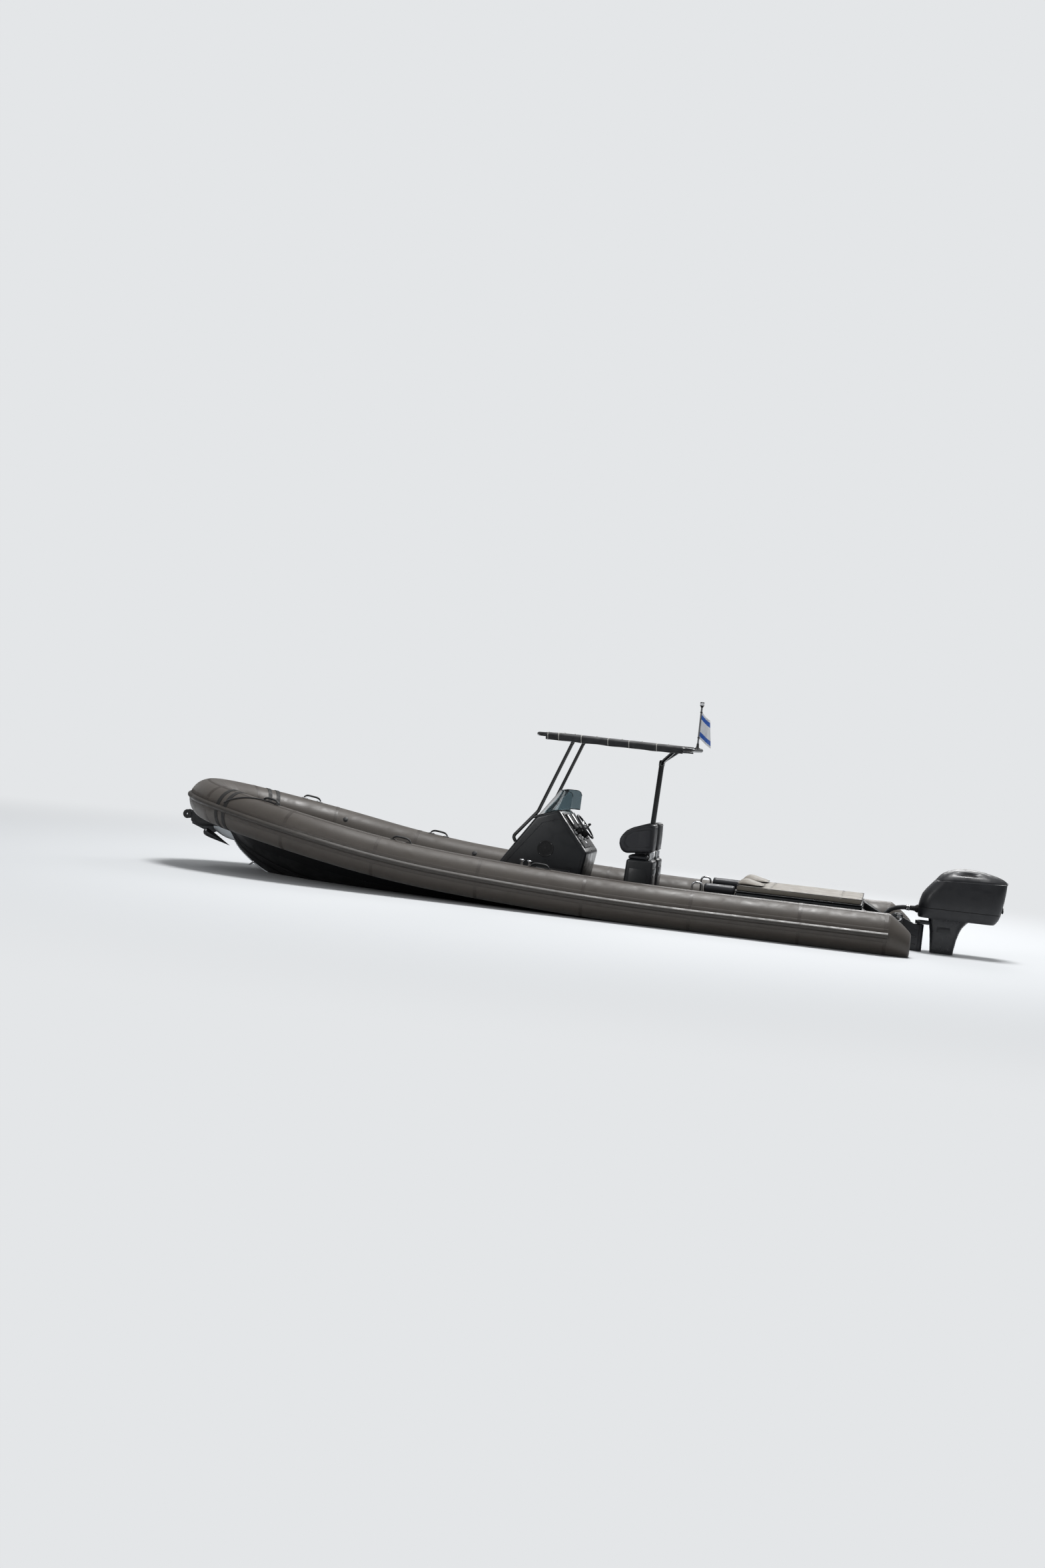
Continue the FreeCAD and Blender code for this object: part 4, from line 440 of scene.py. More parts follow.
def pulled(near: Sequence[Vector], far: Sequence[Vector]) -> bmesh.types.BMesh:
    """The solid between two flat outlines of equal count.

    Args:
        near: The first outline's corners.
        far: The last outline's corners.

    Returns:
        The solid.
    """
    block = bmesh.new()
    first = [block.verts.new(corner) for corner in near]
    last = [block.verts.new(corner) for corner in far]
    block.faces.new(first)
    block.faces.new(last[::-1])
    for step in range(len(first)):
        after = (step + 1) % len(first)
        block.faces.new([first[step], last[step], last[after], first[after]])
    bmesh.ops.recalc_face_normals(block, faces=block.faces)
    return block


def between(rows: Sequence[tuple[float, float]], x: float) -> float:
    """A level from a table of places.

    Args:
        rows: Pairs of place and level, in rising order.
        x: The place.

    Returns:
        The level there, and the nearest row's beyond either end.
    """
    if x <= rows[0][0]:
        return rows[0][1]
    for (first, low), (last, high) in zip(rows, rows[1:]):
        if x <= last:
            return low + (high - low) * (x - first) / (last - first)
    return rows[-1][1]


def grid(rows: int, columns: int, first: int = 0) -> list[list[int]]:
    """The corner numbers of a sheet's faces.

    Args:
        rows: How many rows of faces.
        columns: Faces in each row.
        first: The row that the numbers start at.

    Returns:
        For each face, its corners.
    """
    width = columns + 1
    return [[row * width + column, row * width + column + 1, (row + 1) * width + column + 1,
             (row + 1) * width + column] for row in range(first, first + rows) for column in range(columns)]


def button(radius: float) -> list[tuple[float, float]]:
    """The turned profile of a flush round latch.

    Args:
        radius: Its radius.

    Returns:
        Pairs of height and radius.
    """
    return [(0.0, radius), (0.003, radius), (0.004, radius - 0.0015), (0.0045, 0.001)]


class Maker:
    """Collects the solids of one piece in one mesh, each with its finish."""

    def __init__(self, name: str, *finishes: Finish) -> None:
        """Starts an empty piece.

        Args:
            name: The piece's name.
            finishes: Its finishes, which the solids name by number.
        """
        self.name = name
        self.finishes = finishes
        self.mesh = bmesh.new()
        self.uv = self.mesh.loops.layers.uv.new("along")

    def faces(self, corners: Sequence[Vector], loops: Iterable[Sequence[int]], finish: int = 0,
              smooth: bool = True) -> list[bmesh.types.BMFace]:
        """Adds faces over new corners.

        Args:
            corners: The corners' places.
            loops: For each face, the numbers of its corners.
            finish: The number of the finish.
            smooth: True where the faces belong to one curved surface.

        Returns:
            The new faces.
        """
        made = [self.mesh.verts.new(corner) for corner in corners]
        faces = []
        for loop in loops:
            face = self.mesh.faces.new([made[number] for number in loop])
            face.material_index = finish
            face.smooth = smooth
            faces.append(face)
        return faces

    def take(self, other: bmesh.types.BMesh, finish: int) -> None:
        """Adds another mesh's faces with one finish.

        Args:
            other: The mesh to add, which is freed.
            finish: The number of the finish.
        """
        other.verts.index_update()
        bmesh.ops.recalc_face_normals(other, faces=other.faces)
        self.faces([vert.co.copy() for vert in other.verts],
                   [[vert.index for vert in face.verts] for face in other.faces], finish)
        other.free()

    def box(self, centre: Sequence[float], extent: Sequence[float], round_by: float = 0.003,
            finish: int = 0, turn: Matrix | None = None, segments: int = 2) -> None:
        """Adds a block with rounded edges.

        Args:
            centre: Its middle.
            extent: Its three full sizes.
            round_by: The edges' rounding.
            finish: The number of the finish.
            turn: How it is turned about its middle.
            segments: Steps of the rounding.
        """
        block = rounded_block(extent, min(round_by, min(extent) * 0.45), segments)
        if turn:
            bmesh.ops.transform(block, matrix=turn.to_4x4(), verts=block.verts)
        bmesh.ops.translate(block, vec=Vector(centre), verts=block.verts)
        self.take(block, finish)

    def rings(self, rings: Sequence[Sequence[Vector]], finish: int = 0, capped: bool = True,
              looped: bool = False, smooth: bool = True,
              open_section: bool = False) -> list[bmesh.types.BMFace]:
        """Adds a skin through rings of equal count.

        Args:
            rings: The rings' corners, in order along the skin.
            finish: The number of the finish.
            capped: True where both ends are closed by a face.
            looped: True where the last ring meets the first.
            smooth: True where the skin is one curved surface.
            open_section: True where a ring's last corner doesn't meet its first.

        Returns:
            The new faces.
        """
        count = len(rings[0])
        corners = [corner for ring in rings for corner in ring]
        loops: list[list[int]] = []
        spans = len(rings) if looped else len(rings) - 1
        for number in range(spans):
            near, far = number * count, ((number + 1) % len(rings)) * count
            for step in range(count - 1 if open_section else count):
                after = (step + 1) % count
                loops.append([near + step, near + after, far + after, far + step])
        if capped and not looped and not open_section:
            loops.append(list(reversed(range(count))))
            loops.append([(len(rings) - 1) * count + step for step in range(count)])
        return self.faces(corners, loops, finish, smooth)

    def cylinder(self, start: Sequence[float], end: Sequence[float], radius: float, finish: int = 0,
                 end_radius: float | None = None, steps: int = 24, round_by: float = 0.0) -> None:
        """Adds a round bar or cone with closed ends.

        Args:
            start: The middle of its first end.
            end: The middle of its last end.
            radius: Its radius at the start.
            finish: The number of the finish.
            end_radius: Its radius at the end, where that differs.
            steps: Its number of sides.
            round_by: Rounding of both rims.
        """
        first, last = Vector(start), Vector(end)
        far = radius if end_radius is None else end_radius
        length = (last - first).length
        profile = [(0.0, radius), (length, far)]
        if round_by > 0:
            profile = [(0.0, radius - round_by), (round_by * 0.3, radius - round_by * 0.3),
                       (round_by, radius),
                       (length - round_by, far), (length - round_by * 0.3, far - round_by * 0.3),
                       (length, far - round_by)]
        self.lathe(profile, first, last - first, finish, steps)

    def lathe(self, profile: Sequence[tuple[float, float]], origin: Sequence[float], axis: Sequence[float],
              finish: int = 0, steps: int = 32) -> None:
        """Adds a turned solid.

        Args:
            profile: Pairs of distance along the axis and radius.
            origin: Where the distance is nought.
            axis: The direction of the axis.
            finish: The number of the finish.
            steps: Its number of sides.
        """
        ahead = Vector(axis).normalized()
        side = ahead.orthogonal().normalized()
        other = ahead.cross(side)
        rings = []
        for along, radius in profile:
            middle = Vector(origin) + ahead * along
            rings.append([middle + (side * math.cos(turn) + other * math.sin(turn)) * max(radius, 1e-5)
                          for turn in turns(steps)])
        self.rings(rings, finish)

    def tube(self, points: Sequence[Vector], radius: float | Callable[[float], float], finish: int = 0,
             steps: int = 16, looped: bool = False, squash: float = 1.0) -> None:
        """Adds a round tube along a smooth run of points.

        Args:
            points: The middle line, already rounded.
            radius: The tube's radius, or a function of the share of its length.
            finish: The number of the finish.
            steps: Its number of sides.
            looped: True where the line closes on itself.
            squash: Height of the section as a share of its width.
        """
        frames = frames_along(points, looped)
        rings = []
        for number, (place, side, other) in enumerate(frames):
            share = number / max(len(frames) - 1, 1)
            wide = radius(share) if callable(radius) else radius
            rings.append([place + side * (math.cos(turn) * wide) + other * (math.sin(turn) * wide * squash)
                          for turn in turns(steps)])
        self.rings(rings, finish, looped=looped)

    def prism(self, outline: Sequence[tuple[float, float]], low: float, high: float, axis: str = "y",
              round_by: float = 0.0, finish: int = 0, segments: int = 2) -> None:
        """Adds a flat outline with thickness.

        Args:
            outline: The outline's corners, as (x, z) for axis y, (x, y) for z and (y, z) for x.
            low: Where the solid starts along the axis.
            high: Where it ends.
            axis: The axis that the outline is pulled along.
            round_by: Rounding of all its edges.
            finish: The number of the finish.
            segments: Steps of the rounding.
        """
        def place(first: float, second: float, level: float) -> Vector:
            """A corner of the solid."""
            if axis == "y":
                return Vector((first, level, second))
            if axis == "z":
                return Vector((first, second, level))
            return Vector((level, first, second))

        block = pulled([place(u, v, low) for u, v in outline], [place(u, v, high) for u, v in outline])
        if round_by > 0:
            sharp = [edge for edge in block.edges if edge.calc_face_angle(0.0) > 0.35]
            bmesh.ops.bevel(block, geom=sharp, offset=round_by, segments=segments, profile=0.5,
                            affect="EDGES",
                            clamp_overlap=True)
        self.take(block, finish)

    def copy_turned(self, matrix: Matrix) -> None:
        """Adds a turned or mirrored copy of all that the piece holds so far.

        Args:
            matrix: Where the copy goes.
        """
        verts = list(self.mesh.verts)
        made = bmesh.ops.duplicate(self.mesh,
                                   geom=verts + list(self.mesh.edges) + list(self.mesh.faces))["geom"]
        copies = [item for item in made if isinstance(item, bmesh.types.BMVert)]
        bmesh.ops.transform(self.mesh, matrix=matrix, verts=copies)
        if matrix.determinant() < 0:
            bmesh.ops.reverse_faces(self.mesh,
                                    faces=[item for item in made if isinstance(item, bmesh.types.BMFace)])

    def mirrored(self) -> None:
        """Adds the mirror image across the centreline."""
        self.copy_turned(Matrix.Scale(-1, 4, PORTWARD))

    def finished(self, body: str, replaced: Sequence[str] = (), crease: float = 32.0,
                 welded: float = 1e-5) -> bpy.types.Object:
        """Makes the object, dresses it and lets it ride.

        Args:
            body: The body that carries the piece.
            replaced: The nodes that it stands for.
            crease: The angle, in degrees, past which an edge is sharp.
            welded: How near corners are that become one.

        Returns:
            The finished object.
        """
        bmesh.ops.remove_doubles(self.mesh, verts=self.mesh.verts, dist=welded)
        data = as_data(self.mesh, self.name)
        return settled(self.name, data, self.finishes, body, replaced, crease)


def settled(name: str, data: bpy.types.Mesh, finishes: Sequence[Finish], body: str,
            replaced: Sequence[str] = (), crease: float = 32.0) -> bpy.types.Object:
    """Links a mesh as a finished piece and reports it.

    Args:
        name: The piece's name.
        data: Its mesh, in place.
        finishes: Its finishes, in the order of the faces' numbers.
        body: The body that carries it, or nothing where it is left unattached.
        replaced: The nodes that it stands for.
        crease: The angle, in degrees, past which an edge is sharp.

    Returns:
        The object.
    """
    data.name = name
    numbers = [face.material_index for face in data.polygons]
    data.materials.clear()
    for finish in finishes:
        data.materials.append(finish.build())
    data.polygons.foreach_set("material_index", numbers)
    data.set_sharp_from_angle(angle=math.radians(crease))
    made = linked(name, data)
    if body:
        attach(made, body)
    if replaced:
        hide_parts(*replaced)
    LOG.info("%s: %d faces on %s", name, len(data.polygons), body or "two bodies")
    return made


def frames_along(points: Sequence[Vector], looped: bool = False) -> list[tuple[Vector, Vector, Vector]]:
    """Places and two cross directions along a line, carried without twist.

    Args:
        points: The line's points.
        looped: True where it closes on itself.

    Returns:
        For each point, its place and the section's two directions.
    """
    count = len(points)
    headings = []
    for number in range(count):
        before = points[number - 1] if looped or number else points[0]
        after = points[(number + 1) % count] if looped or number < count - 1 else points[-1]
        headings.append((after - before).normalized())
    side = headings[0].orthogonal().normalized()
    frames = []
    for number, place in enumerate(points):
        side = (side - headings[number] * side.dot(headings[number])).normalized()
        frames.append((place, side.copy(), headings[number].cross(side)))
    return frames


def rounded_line(points: Sequence[Sequence[float]], bend: float, steps: int = 8,
                 looped: bool = False) -> list[Vector]:
    """The line through points with an arc at each corner.

    Args:
        points: The corners.
        bend: The arcs' radius.
        steps: Points on each arc.
        looped: True where the line closes on itself.

    Returns:
        The line's points.
    """
    corners = [Vector(point) for point in points]
    count = len(corners)
    line = [] if looped else [corners[0]]
    for number in range(count) if looped else range(1, count - 1):
        before, corner, after = corners[number - 1], corners[number], corners[(number + 1) % count]
        back, ahead = (before - corner).normalized(), (after - corner).normalized()
        turn = math.pi - back.angle(ahead)
        if turn < 1e-3:
            line.append(corner)
            continue
        reach = min(bend * math.tan(turn / 2), (before - corner).length * 0.5,
                    (after - corner).length * 0.5)
        radius = reach / math.tan(turn / 2)
        middle = corner + (back + ahead).normalized() * (radius / math.cos(turn / 2))
        first, last = corner + back * reach - middle, corner + ahead * reach - middle
        whole = first.rotation_difference(last)
        for step in range(steps + 1):
            line.append(middle + Quaternion().slerp(whole, step / steps) @ first)
    if not looped:
        line.append(corners[-1])
    return line


def refined(node: str, name: str, finishes: Sequence[Finish], body: str, bevel: float = 0.0,
            crease: float = 32.0) -> bpy.types.Object:
    """A node's own form as one welded mesh with softened edges.

    Args:
        node: The node whose mesh is copied.
        name: The piece's name.
        finishes: The finishes, the first of them all over.
        body: The body that carries it.
        bevel: Width of the softened edges.
        crease: The angle, in degrees, past which an edge is sharp.

    Returns:
        The finished object, which stands for the node.
    """
    source = bmesh.new()
    source.from_mesh(NODES[node].data)
    bmesh.ops.remove_doubles(source, verts=source.verts, dist=2e-5)
    bmesh.ops.dissolve_limit(source, angle_limit=math.radians(0.8), verts=source.verts, edges=source.edges)
    for face in source.faces:
        face.smooth = True
    data = as_data(source, name)
    if bevel > 0:
        data = evaluated(data, lambda made: soften(made, bevel))
    return settled(name, data, finishes, body, (node,), crease)


def soften(made: bpy.types.Object, width: float) -> None:
    """Bevels an object's sharp edges.

    Args:
        made: The object.
        width: The bevel's width.
    """
    edge = made.modifiers.new("softened", "BEVEL")
    edge.width = width
    edge.segments = 2
    edge.limit_method = "ANGLE"
    edge.angle_limit = math.radians(34)
    edge.harden_normals = False
    edge.use_clamp_overlap = True


def evaluated(data: bpy.types.Mesh, dress: Callable[[bpy.types.Object], None]) -> bpy.types.Mesh:
    """Runs modifiers on a mesh and returns the plain result.

    Args:
        data: The mesh.
        dress: Adds the modifiers to the object that holds it.

    Returns:
        The evaluated mesh, with no modifier left.
    """
    while len(data.materials) < 3:
        data.materials.append(None)
    holder = linked("holder", data)
    dress(holder)
    return harvested(holder)


class Repeated(Enum):
    """What Geometry Nodes set out many times."""

    STITCH = "stitch"
    SCREW = "screw"
    HOLE = "hole"
# A hole is a near-black disk laid on the surface: painted shade, no opening is cut.


@dataclass(frozen=True)
class Repeat:
    """A small part that Geometry Nodes set out along a seam or at marked places."""

    kind: Repeated
    finish: Finish
    radius: float
    length: float
    pitch: float = 0.004

    def tree(self) -> bpy.types.NodeTree:
        """Builds the node group, with its sizes as named inputs."""
        made = bpy.data.node_groups.new("repeat_" + self.kind.value, "GeometryNodeTree")
        face = made.interface
        face.new_socket("Geometry", in_out="INPUT", socket_type="NodeSocketGeometry")
        for name in ("Radius", "Length", "Pitch"):
            face.new_socket(name, in_out="INPUT", socket_type="NodeSocketFloat")
        face.new_socket("Geometry", in_out="OUTPUT", socket_type="NodeSocketGeometry")
        start = add_node(made, "NodeGroupInput").outputs
        if self.kind is Repeated.STITCH:
            curve = add_node(made, "GeometryNodeMeshToCurve", inputs={"Mesh": start["Geometry"]})
            places = add_node(made, "GeometryNodeCurveToPoints", {"mode": "LENGTH"}, {
                "Curve": curve.outputs[0], "Length": start["Pitch"]})
            points, turn = places.outputs["Points"], places.outputs["Rotation"]
        else:
            facing = add_node(made, "GeometryNodeInputNamedAttribute", {"data_type": "FLOAT_VECTOR"},
                              {"Name": "facing"})
            turned = add_node(made, "FunctionNodeAlignRotationToVector", {"axis": "Z"}, {
                "Vector": facing.outputs["Attribute"]})
            points, turn = start["Geometry"], turned.outputs["Rotation"]
        head = self.shape(made, start)
        spread = add_node(made, "GeometryNodeInstanceOnPoints", inputs={
            "Points": points, "Instance": head, "Rotation": turn})
        real = add_node(made, "GeometryNodeRealizeInstances",
                        inputs={"Geometry": spread.outputs["Instances"]})
        dressed = add_node(made, "GeometryNodeSetMaterial", inputs={
            "Geometry": real.outputs["Geometry"], "Material": self.finish.build()})
        add_node(made, "NodeGroupOutput", inputs={"Geometry": dressed.outputs["Geometry"]})
        return made

    def shape(self, tree: bpy.types.NodeTree, start: bpy.types.NodeInputs) -> bpy.types.NodeSocket:
        """One stitch, screw head or hole, along its own Z.

        Args:
            tree: The node group.
            start: The group's inputs.

        Returns:
            The mesh's socket.
        """
        if self.kind is not Repeated.SCREW:
            fill, sides = ("TRIANGLE_FAN", 6) if self.kind is Repeated.STITCH else ("NGON", 8)
            return add_node(tree, "GeometryNodeMeshCylinder", {"fill_type": fill}, {
                "Vertices": sides, "Radius": start["Radius"], "Depth": start["Length"]}).outputs["Mesh"]
        top = maths(tree, "MULTIPLY", start["Radius"], 0.72)
        cone = add_node(tree, "GeometryNodeMeshCone", {"fill_type": "NGON"}, {
            "Vertices": 18, "Radius Top": top, "Radius Bottom": start["Radius"], "Depth": start["Length"]})
        normal = add_node(tree, "ShaderNodeSeparateXYZ", inputs={
            "Vector": add_node(tree, "GeometryNodeInputNormal").outputs["Normal"]})
        upper = add_node(tree, "FunctionNodeCompare", {"operation": "GREATER_THAN"}, {
            0: normal.outputs["Z"], 1: 0.9})
        inner = add_node(tree, "GeometryNodeExtrudeMesh", {"mode": "FACES"}, {
            "Mesh": cone.outputs["Mesh"], "Selection": upper.outputs[0], "Offset Scale": 0.0})
        shrunk = add_node(tree, "GeometryNodeScaleElements", {"domain": "FACE"}, {
            "Geometry": inner.outputs["Mesh"], "Selection": inner.outputs["Top"], "Scale": 0.5})
        deep = maths(tree, "MULTIPLY", start["Length"], -0.6)
        return add_node(tree, "GeometryNodeExtrudeMesh", {"mode": "FACES"}, {
            "Mesh": shrunk.outputs["Geometry"], "Selection": inner.outputs["Top"],
            "Offset Scale": deep}).outputs["Mesh"]

    def set_out(self, name: str, data: bpy.types.Mesh, body: str) -> bpy.types.Object:
        """Sets the small parts out over a mesh of lines or marked points.

        Args:
            name: The piece's name.
            data: The lines, or points with a facing.
            body: The body that carries them.

        Returns:
            The finished object.
        """
        tree = self.tree()

        def dress(holder: bpy.types.Object) -> None:
            """Hangs the node group on the holder."""
            step = holder.modifiers.new("set_out", "NODES")
            step.node_group = tree
            values = {"Radius": self.radius, "Length": self.length, "Pitch": self.pitch}
            for item in tree.interface.items_tree:
                if item.in_out == "INPUT" and item.name in values:
                    step[item.identifier] = values[item.name]

        return settled(name, evaluated(data, dress), (self.finish,), body, crease=40)

    def along(self, name: str, lines: Sequence[Sequence[Vector]], body: str) -> bpy.types.Object:
        """Sets the parts out along lines.

        Args:
            name: The piece's name.
            lines: The seams.
            body: The body that carries them.

        Returns:
            The finished object.
        """
        places, edges = [], []
        for line in lines:
            first = len(places)
            places += [tuple(point) for point in line]
            edges += [(first + step, first + step + 1) for step in range(len(line) - 1)]
        data = bpy.data.meshes.new(name + "_lines")
        data.from_pydata(places, edges, [])
        return self.set_out(name, data, body)

    def at(self, name: str, places: Sequence[tuple[Vector, Vector]], body: str) -> bpy.types.Object:
        """Sets the parts out at places.

        Args:
            name: The piece's name.
            places: Pairs of a place and the direction that it faces.
            body: The body that carries them.

        Returns:
            The finished object.
        """
        data = bpy.data.meshes.new(name + "_places")
        data.from_pydata([tuple(place) for place, _ in places], [], [])
        facing = data.attributes.new("facing", "FLOAT_VECTOR", "POINT")
        for number, (_, heading) in enumerate(places):
            facing.data[number].vector = heading
        return self.set_out(name, data, body)


def spline_line(name: str, points: Sequence[Vector]) -> list[Vector]:
    """The smooth line that a NURBS curve draws from control points.

    Args:
        name: The curve's name.
        points: Its control points.

    Returns:
        The line's points, from end to end.
    """
    curve = bpy.data.curves.new(name, "CURVE")
    curve.dimensions = "3D"
    curve.resolution_u = 32
    spline = curve.splines.new("NURBS")
    spline.points.add(len(points) - 1)
    for control, place in zip(spline.points, points):
        control.co = (*place, 1.0)
    spline.order_u = 3
    spline.use_endpoint_u = True
    holder = linked(name, curve)
    data = harvested(holder)
    line = [vertex.co.copy() for vertex in data.vertices]
    bpy.data.meshes.remove(data)
    return line


def resampled(line: Sequence[Vector], count: int) -> list[Vector]:
    """Points at even steps along a line.

    Args:
        line: The line's points.
        count: The number of steps.

    Returns:
        One point more than the steps.
    """
    runs = [0.0]
    for before, after in zip(line, line[1:]):
        runs.append(runs[-1] + (after - before).length)
    even, number = [], 0
    for step in range(count + 1):
        goal = runs[-1] * step / count
        while number < len(runs) - 2 and runs[number + 1] < goal:
            number += 1
        span = max(runs[number + 1] - runs[number], 1e-9)
        even.append(line[number].lerp(line[number + 1], min((goal - runs[number]) / span, 1.0)))
    return even


def puffed(data: bpy.types.Mesh, held: Callable[[Vector], float], swell: float = 0.012,
           voxel: float = 0.008,
           pressure: float = 4.0) -> bpy.types.Mesh:
    """Lets a cushion's cover fill out between its seams, as foam under sewn vinyl does.

    Args:
        data: The cover's plain form, a little smaller than the cushion.
        held: How firmly each place is held, from nought to one at a seam.
        swell: How far the cover may move.
        voxel: The size of the cover's even mesh.
        pressure: The foam's push on the cover.

    Returns:
        The filled cover.
    """
    def even_out(holder: bpy.types.Object) -> None:
        """Gives the cover an even mesh."""
        step = holder.modifiers.new("even", "REMESH")
        step.mode = "VOXEL"
        step.voxel_size = voxel
        step.use_smooth_shade = True

    even = evaluated(data, even_out)
    start = [vertex.co.copy() for vertex in even.vertices]
    holder = linked("cover", even)
    seams = holder.vertex_groups.new(name="seams")
    for vertex in even.vertices:
        seams.add([vertex.index], held(vertex.co), "REPLACE")
    cloth = holder.modifiers.new("cover", "CLOTH")
    cloth.settings.quality = 4
    cloth.settings.use_pressure = True
    cloth.settings.uniform_pressure_force = pressure
    cloth.settings.vertex_group_mass = "seams"
    cloth.settings.effector_weights.gravity = 0.0
    cloth.point_cache.frame_start, cloth.point_cache.frame_end = 1, 20
    for frame in range(1, 21):
        bpy.context.scene.frame_set(frame)
    filled = harvested(holder)
    bpy.context.scene.frame_set(1)
    for vertex, place in zip(filled.vertices, start):
        move = vertex.co - place
        if move.length > 1e-6:
            vertex.co = place + move.normalized() * (swell * math.tanh(move.length / swell))
    return filled


def smoothed(data: bpy.types.Mesh, levels: int = 1) -> bpy.types.Mesh:
    """Subdivides a mesh smoothly.

    Args:
        data: The mesh.
        levels: How often.

    Returns:
        The finer mesh.
    """
    def dress(holder: bpy.types.Object) -> None:
        """Hangs the subdivision on the holder."""
        step = holder.modifiers.new("finer", "SUBSURF")
        step.levels = step.render_levels = levels

    return evaluated(data, dress)


def thickened(data: bpy.types.Mesh, thickness: float) -> bpy.types.Mesh:
    """Gives a cloth its thickness, half to each side.

    Args:
        data: The cloth's middle sheet.
        thickness: The cloth's thickness.

    Returns:
        The cloth with both faces.
    """
    def dress(holder: bpy.types.Object) -> None:
        """Hangs the thickness on the holder."""
        step = holder.modifiers.new("thick", "SOLIDIFY")
        step.thickness = thickness
        step.offset = 0.0

    return evaluated(data, dress)


def near_line(place: Vector, start: Vector, end: Vector) -> float:
    """How far a place is from a straight line between two points.

    Args:
        place: The place.
        start: The line's start.
        end: The line's end.

    Returns:
        The distance.
    """
    run = end - start
    share = min(max((place - start).dot(run) / max(run.length_squared, 1e-12), 0.0), 1.0)
    return (place - (start + run * share)).length


@dataclass
class Sheer:
    """The tubes' centre line, which the hull, strakes and handles follow."""

    spread: float = 1.2
    level: float = 0.24
    tube_radius: float = 0.25
    start: float = -4.33
    rise_start: float = -2.2
    rise_middle: float = 1.0
    rise_end: float = 2.4
    gentle: float = math.radians(4.1)
    steep: float = math.radians(9.7)
    bow_reach: float = 2.03
    bow_turn: float = math.radians(32)
    # Steps of the line's straight, its two rises, the bow's shoulder and its nose
    line_steps: tuple[int, int, int, int, int] = (24, 36, 16, 30, 26)

    def __post_init__(self) -> None:
        """Works out the arcs' radii."""
        self.gentle_radius = (self.rise_middle - self.rise_start) / math.sin(self.gentle)
        rise = math.sin(self.steep) - math.sin(self.gentle)
        self.steep_radius = (self.rise_end - self.rise_middle) / rise
        self.middle_level = self.level + self.gentle_radius * (1 - math.cos(self.gentle))
        fall = math.cos(self.gentle) - math.cos(self.steep)
        self.bow_level = self.middle_level + self.steep_radius * fall
        across = (1 - math.cos(self.bow_turn), math.cos(self.bow_turn))
        ahead = (math.sin(self.bow_turn), 1 - math.sin(self.bow_turn))
        det = across[0] * ahead[1] - across[1] * ahead[0]
        self.long_radius = (self.spread * ahead[1] - across[1] * self.bow_reach) / det
        self.tight_radius = (across[0] * self.bow_reach - self.spread * ahead[0]) / det
        self.bow_up = Vector((-math.sin(self.steep), 0, math.cos(self.steep)))

    def centre(self, x: float) -> tuple[float, float]:
        """Half spread and height of the tube's centre.

        Args:
            x: The place along the boat.

        Returns:
            The distance off the centreline and the height.
        """
        if x <= self.rise_start:
            return self.spread, self.level
        if x <= self.rise_middle:
            run = x - self.rise_start
            return self.spread, self.level + self.gentle_radius - math.sqrt(self.gentle_radius**2 - run**2)
        if x <= self.rise_end:
            run = x - self.rise_middle + self.steep_radius * math.sin(self.gentle)
            drop = self.steep_radius * math.cos(self.gentle) - math.sqrt(self.steep_radius**2 - run**2)
            return self.spread, self.middle_level + drop
        level = self.bow_level + (x - self.rise_end) * math.tan(self.steep)
        ahead = (x - self.rise_end) / math.cos(self.steep)
        if ahead <= self.long_radius * math.sin(self.bow_turn):
            return self.spread - self.long_radius + math.sqrt(self.long_radius**2 - ahead**2), level
        past = ahead - self.bow_reach + self.tight_radius
        return math.sqrt(max(self.tight_radius**2 - past**2, 0)), level

    def bow_place(self, ahead: float, across: float, above: float) -> Vector:
        """A place in the foredeck's own sloping frame.

        Args:
            ahead: Distance forward of the bow curve's start, along its slope.
            across: Distance to port.
            above: Height over the tubes' centre plane.

        Returns:
            The place in the boat's frame.
        """
        along = Vector((math.cos(self.steep), 0, math.sin(self.steep)))
        return Vector((self.rise_end, across, self.bow_level)) + along * ahead + self.bow_up * above

    def line(self) -> list[Step]:
        """The port centre line as places, outward and upward directions, and length so far."""
        heading, out, up = FORWARD.copy(), PORTWARD.copy(), UP.copy()
        place = Vector((self.start, self.spread, self.level))
        run = 0.0
        rows = [(place.copy(), out.copy(), up.copy(), run)]

        def straight(length: float, count: int) -> None:
            """Adds a straight run."""
            nonlocal place, run
            for _ in range(count):
                place = place + heading * (length / count)
                run += length / count
                rows.append((place.copy(), out.copy(), up.copy(), run))

        def arc(axis: Vector, radius: float, angle: float, count: int) -> None:
            """Adds a tangent arc."""
            nonlocal place, heading, out, up, run
            for _ in range(count):
                centre = place + axis.cross(heading) * radius
                spin = Quaternion(axis, angle / count)
                place = centre + spin @ (place - centre)
                heading, out, up = spin @ heading, spin @ out, spin @ up
                run += radius * angle / count
                rows.append((place.copy(), out.copy(), up.copy(), run))

        aft, gentle, steep, shoulder, nose = self.line_steps
        straight(self.rise_start - self.start, aft)
        arc(-PORTWARD, self.gentle_radius, self.gentle, gentle)
        arc(-PORTWARD, self.steep_radius, self.steep - self.gentle, steep)
        arc(-self.bow_up, self.long_radius, self.bow_turn, shoulder)
        arc(-self.bow_up, self.tight_radius, math.pi / 2 - self.bow_turn, nose)
        return rows

    def bow_run(self) -> float:
        """The length of the port centre line up to the start of the bow's turn."""
        return self.line()[sum(self.line_steps[:3])][3]

    def around(self) -> list[Step]:
        """The whole centre line, from the port tube's end round the bow to the starboard one's."""
        port = self.line()
        total = port[-1][3]
        flip = Vector((1, -1, 1))
        back = [(place * flip, out * flip, up * flip, 2 * total - run)
                for place, out, up, run in reversed(port[:-1])]
        return port + back


SHEER = Sheer()


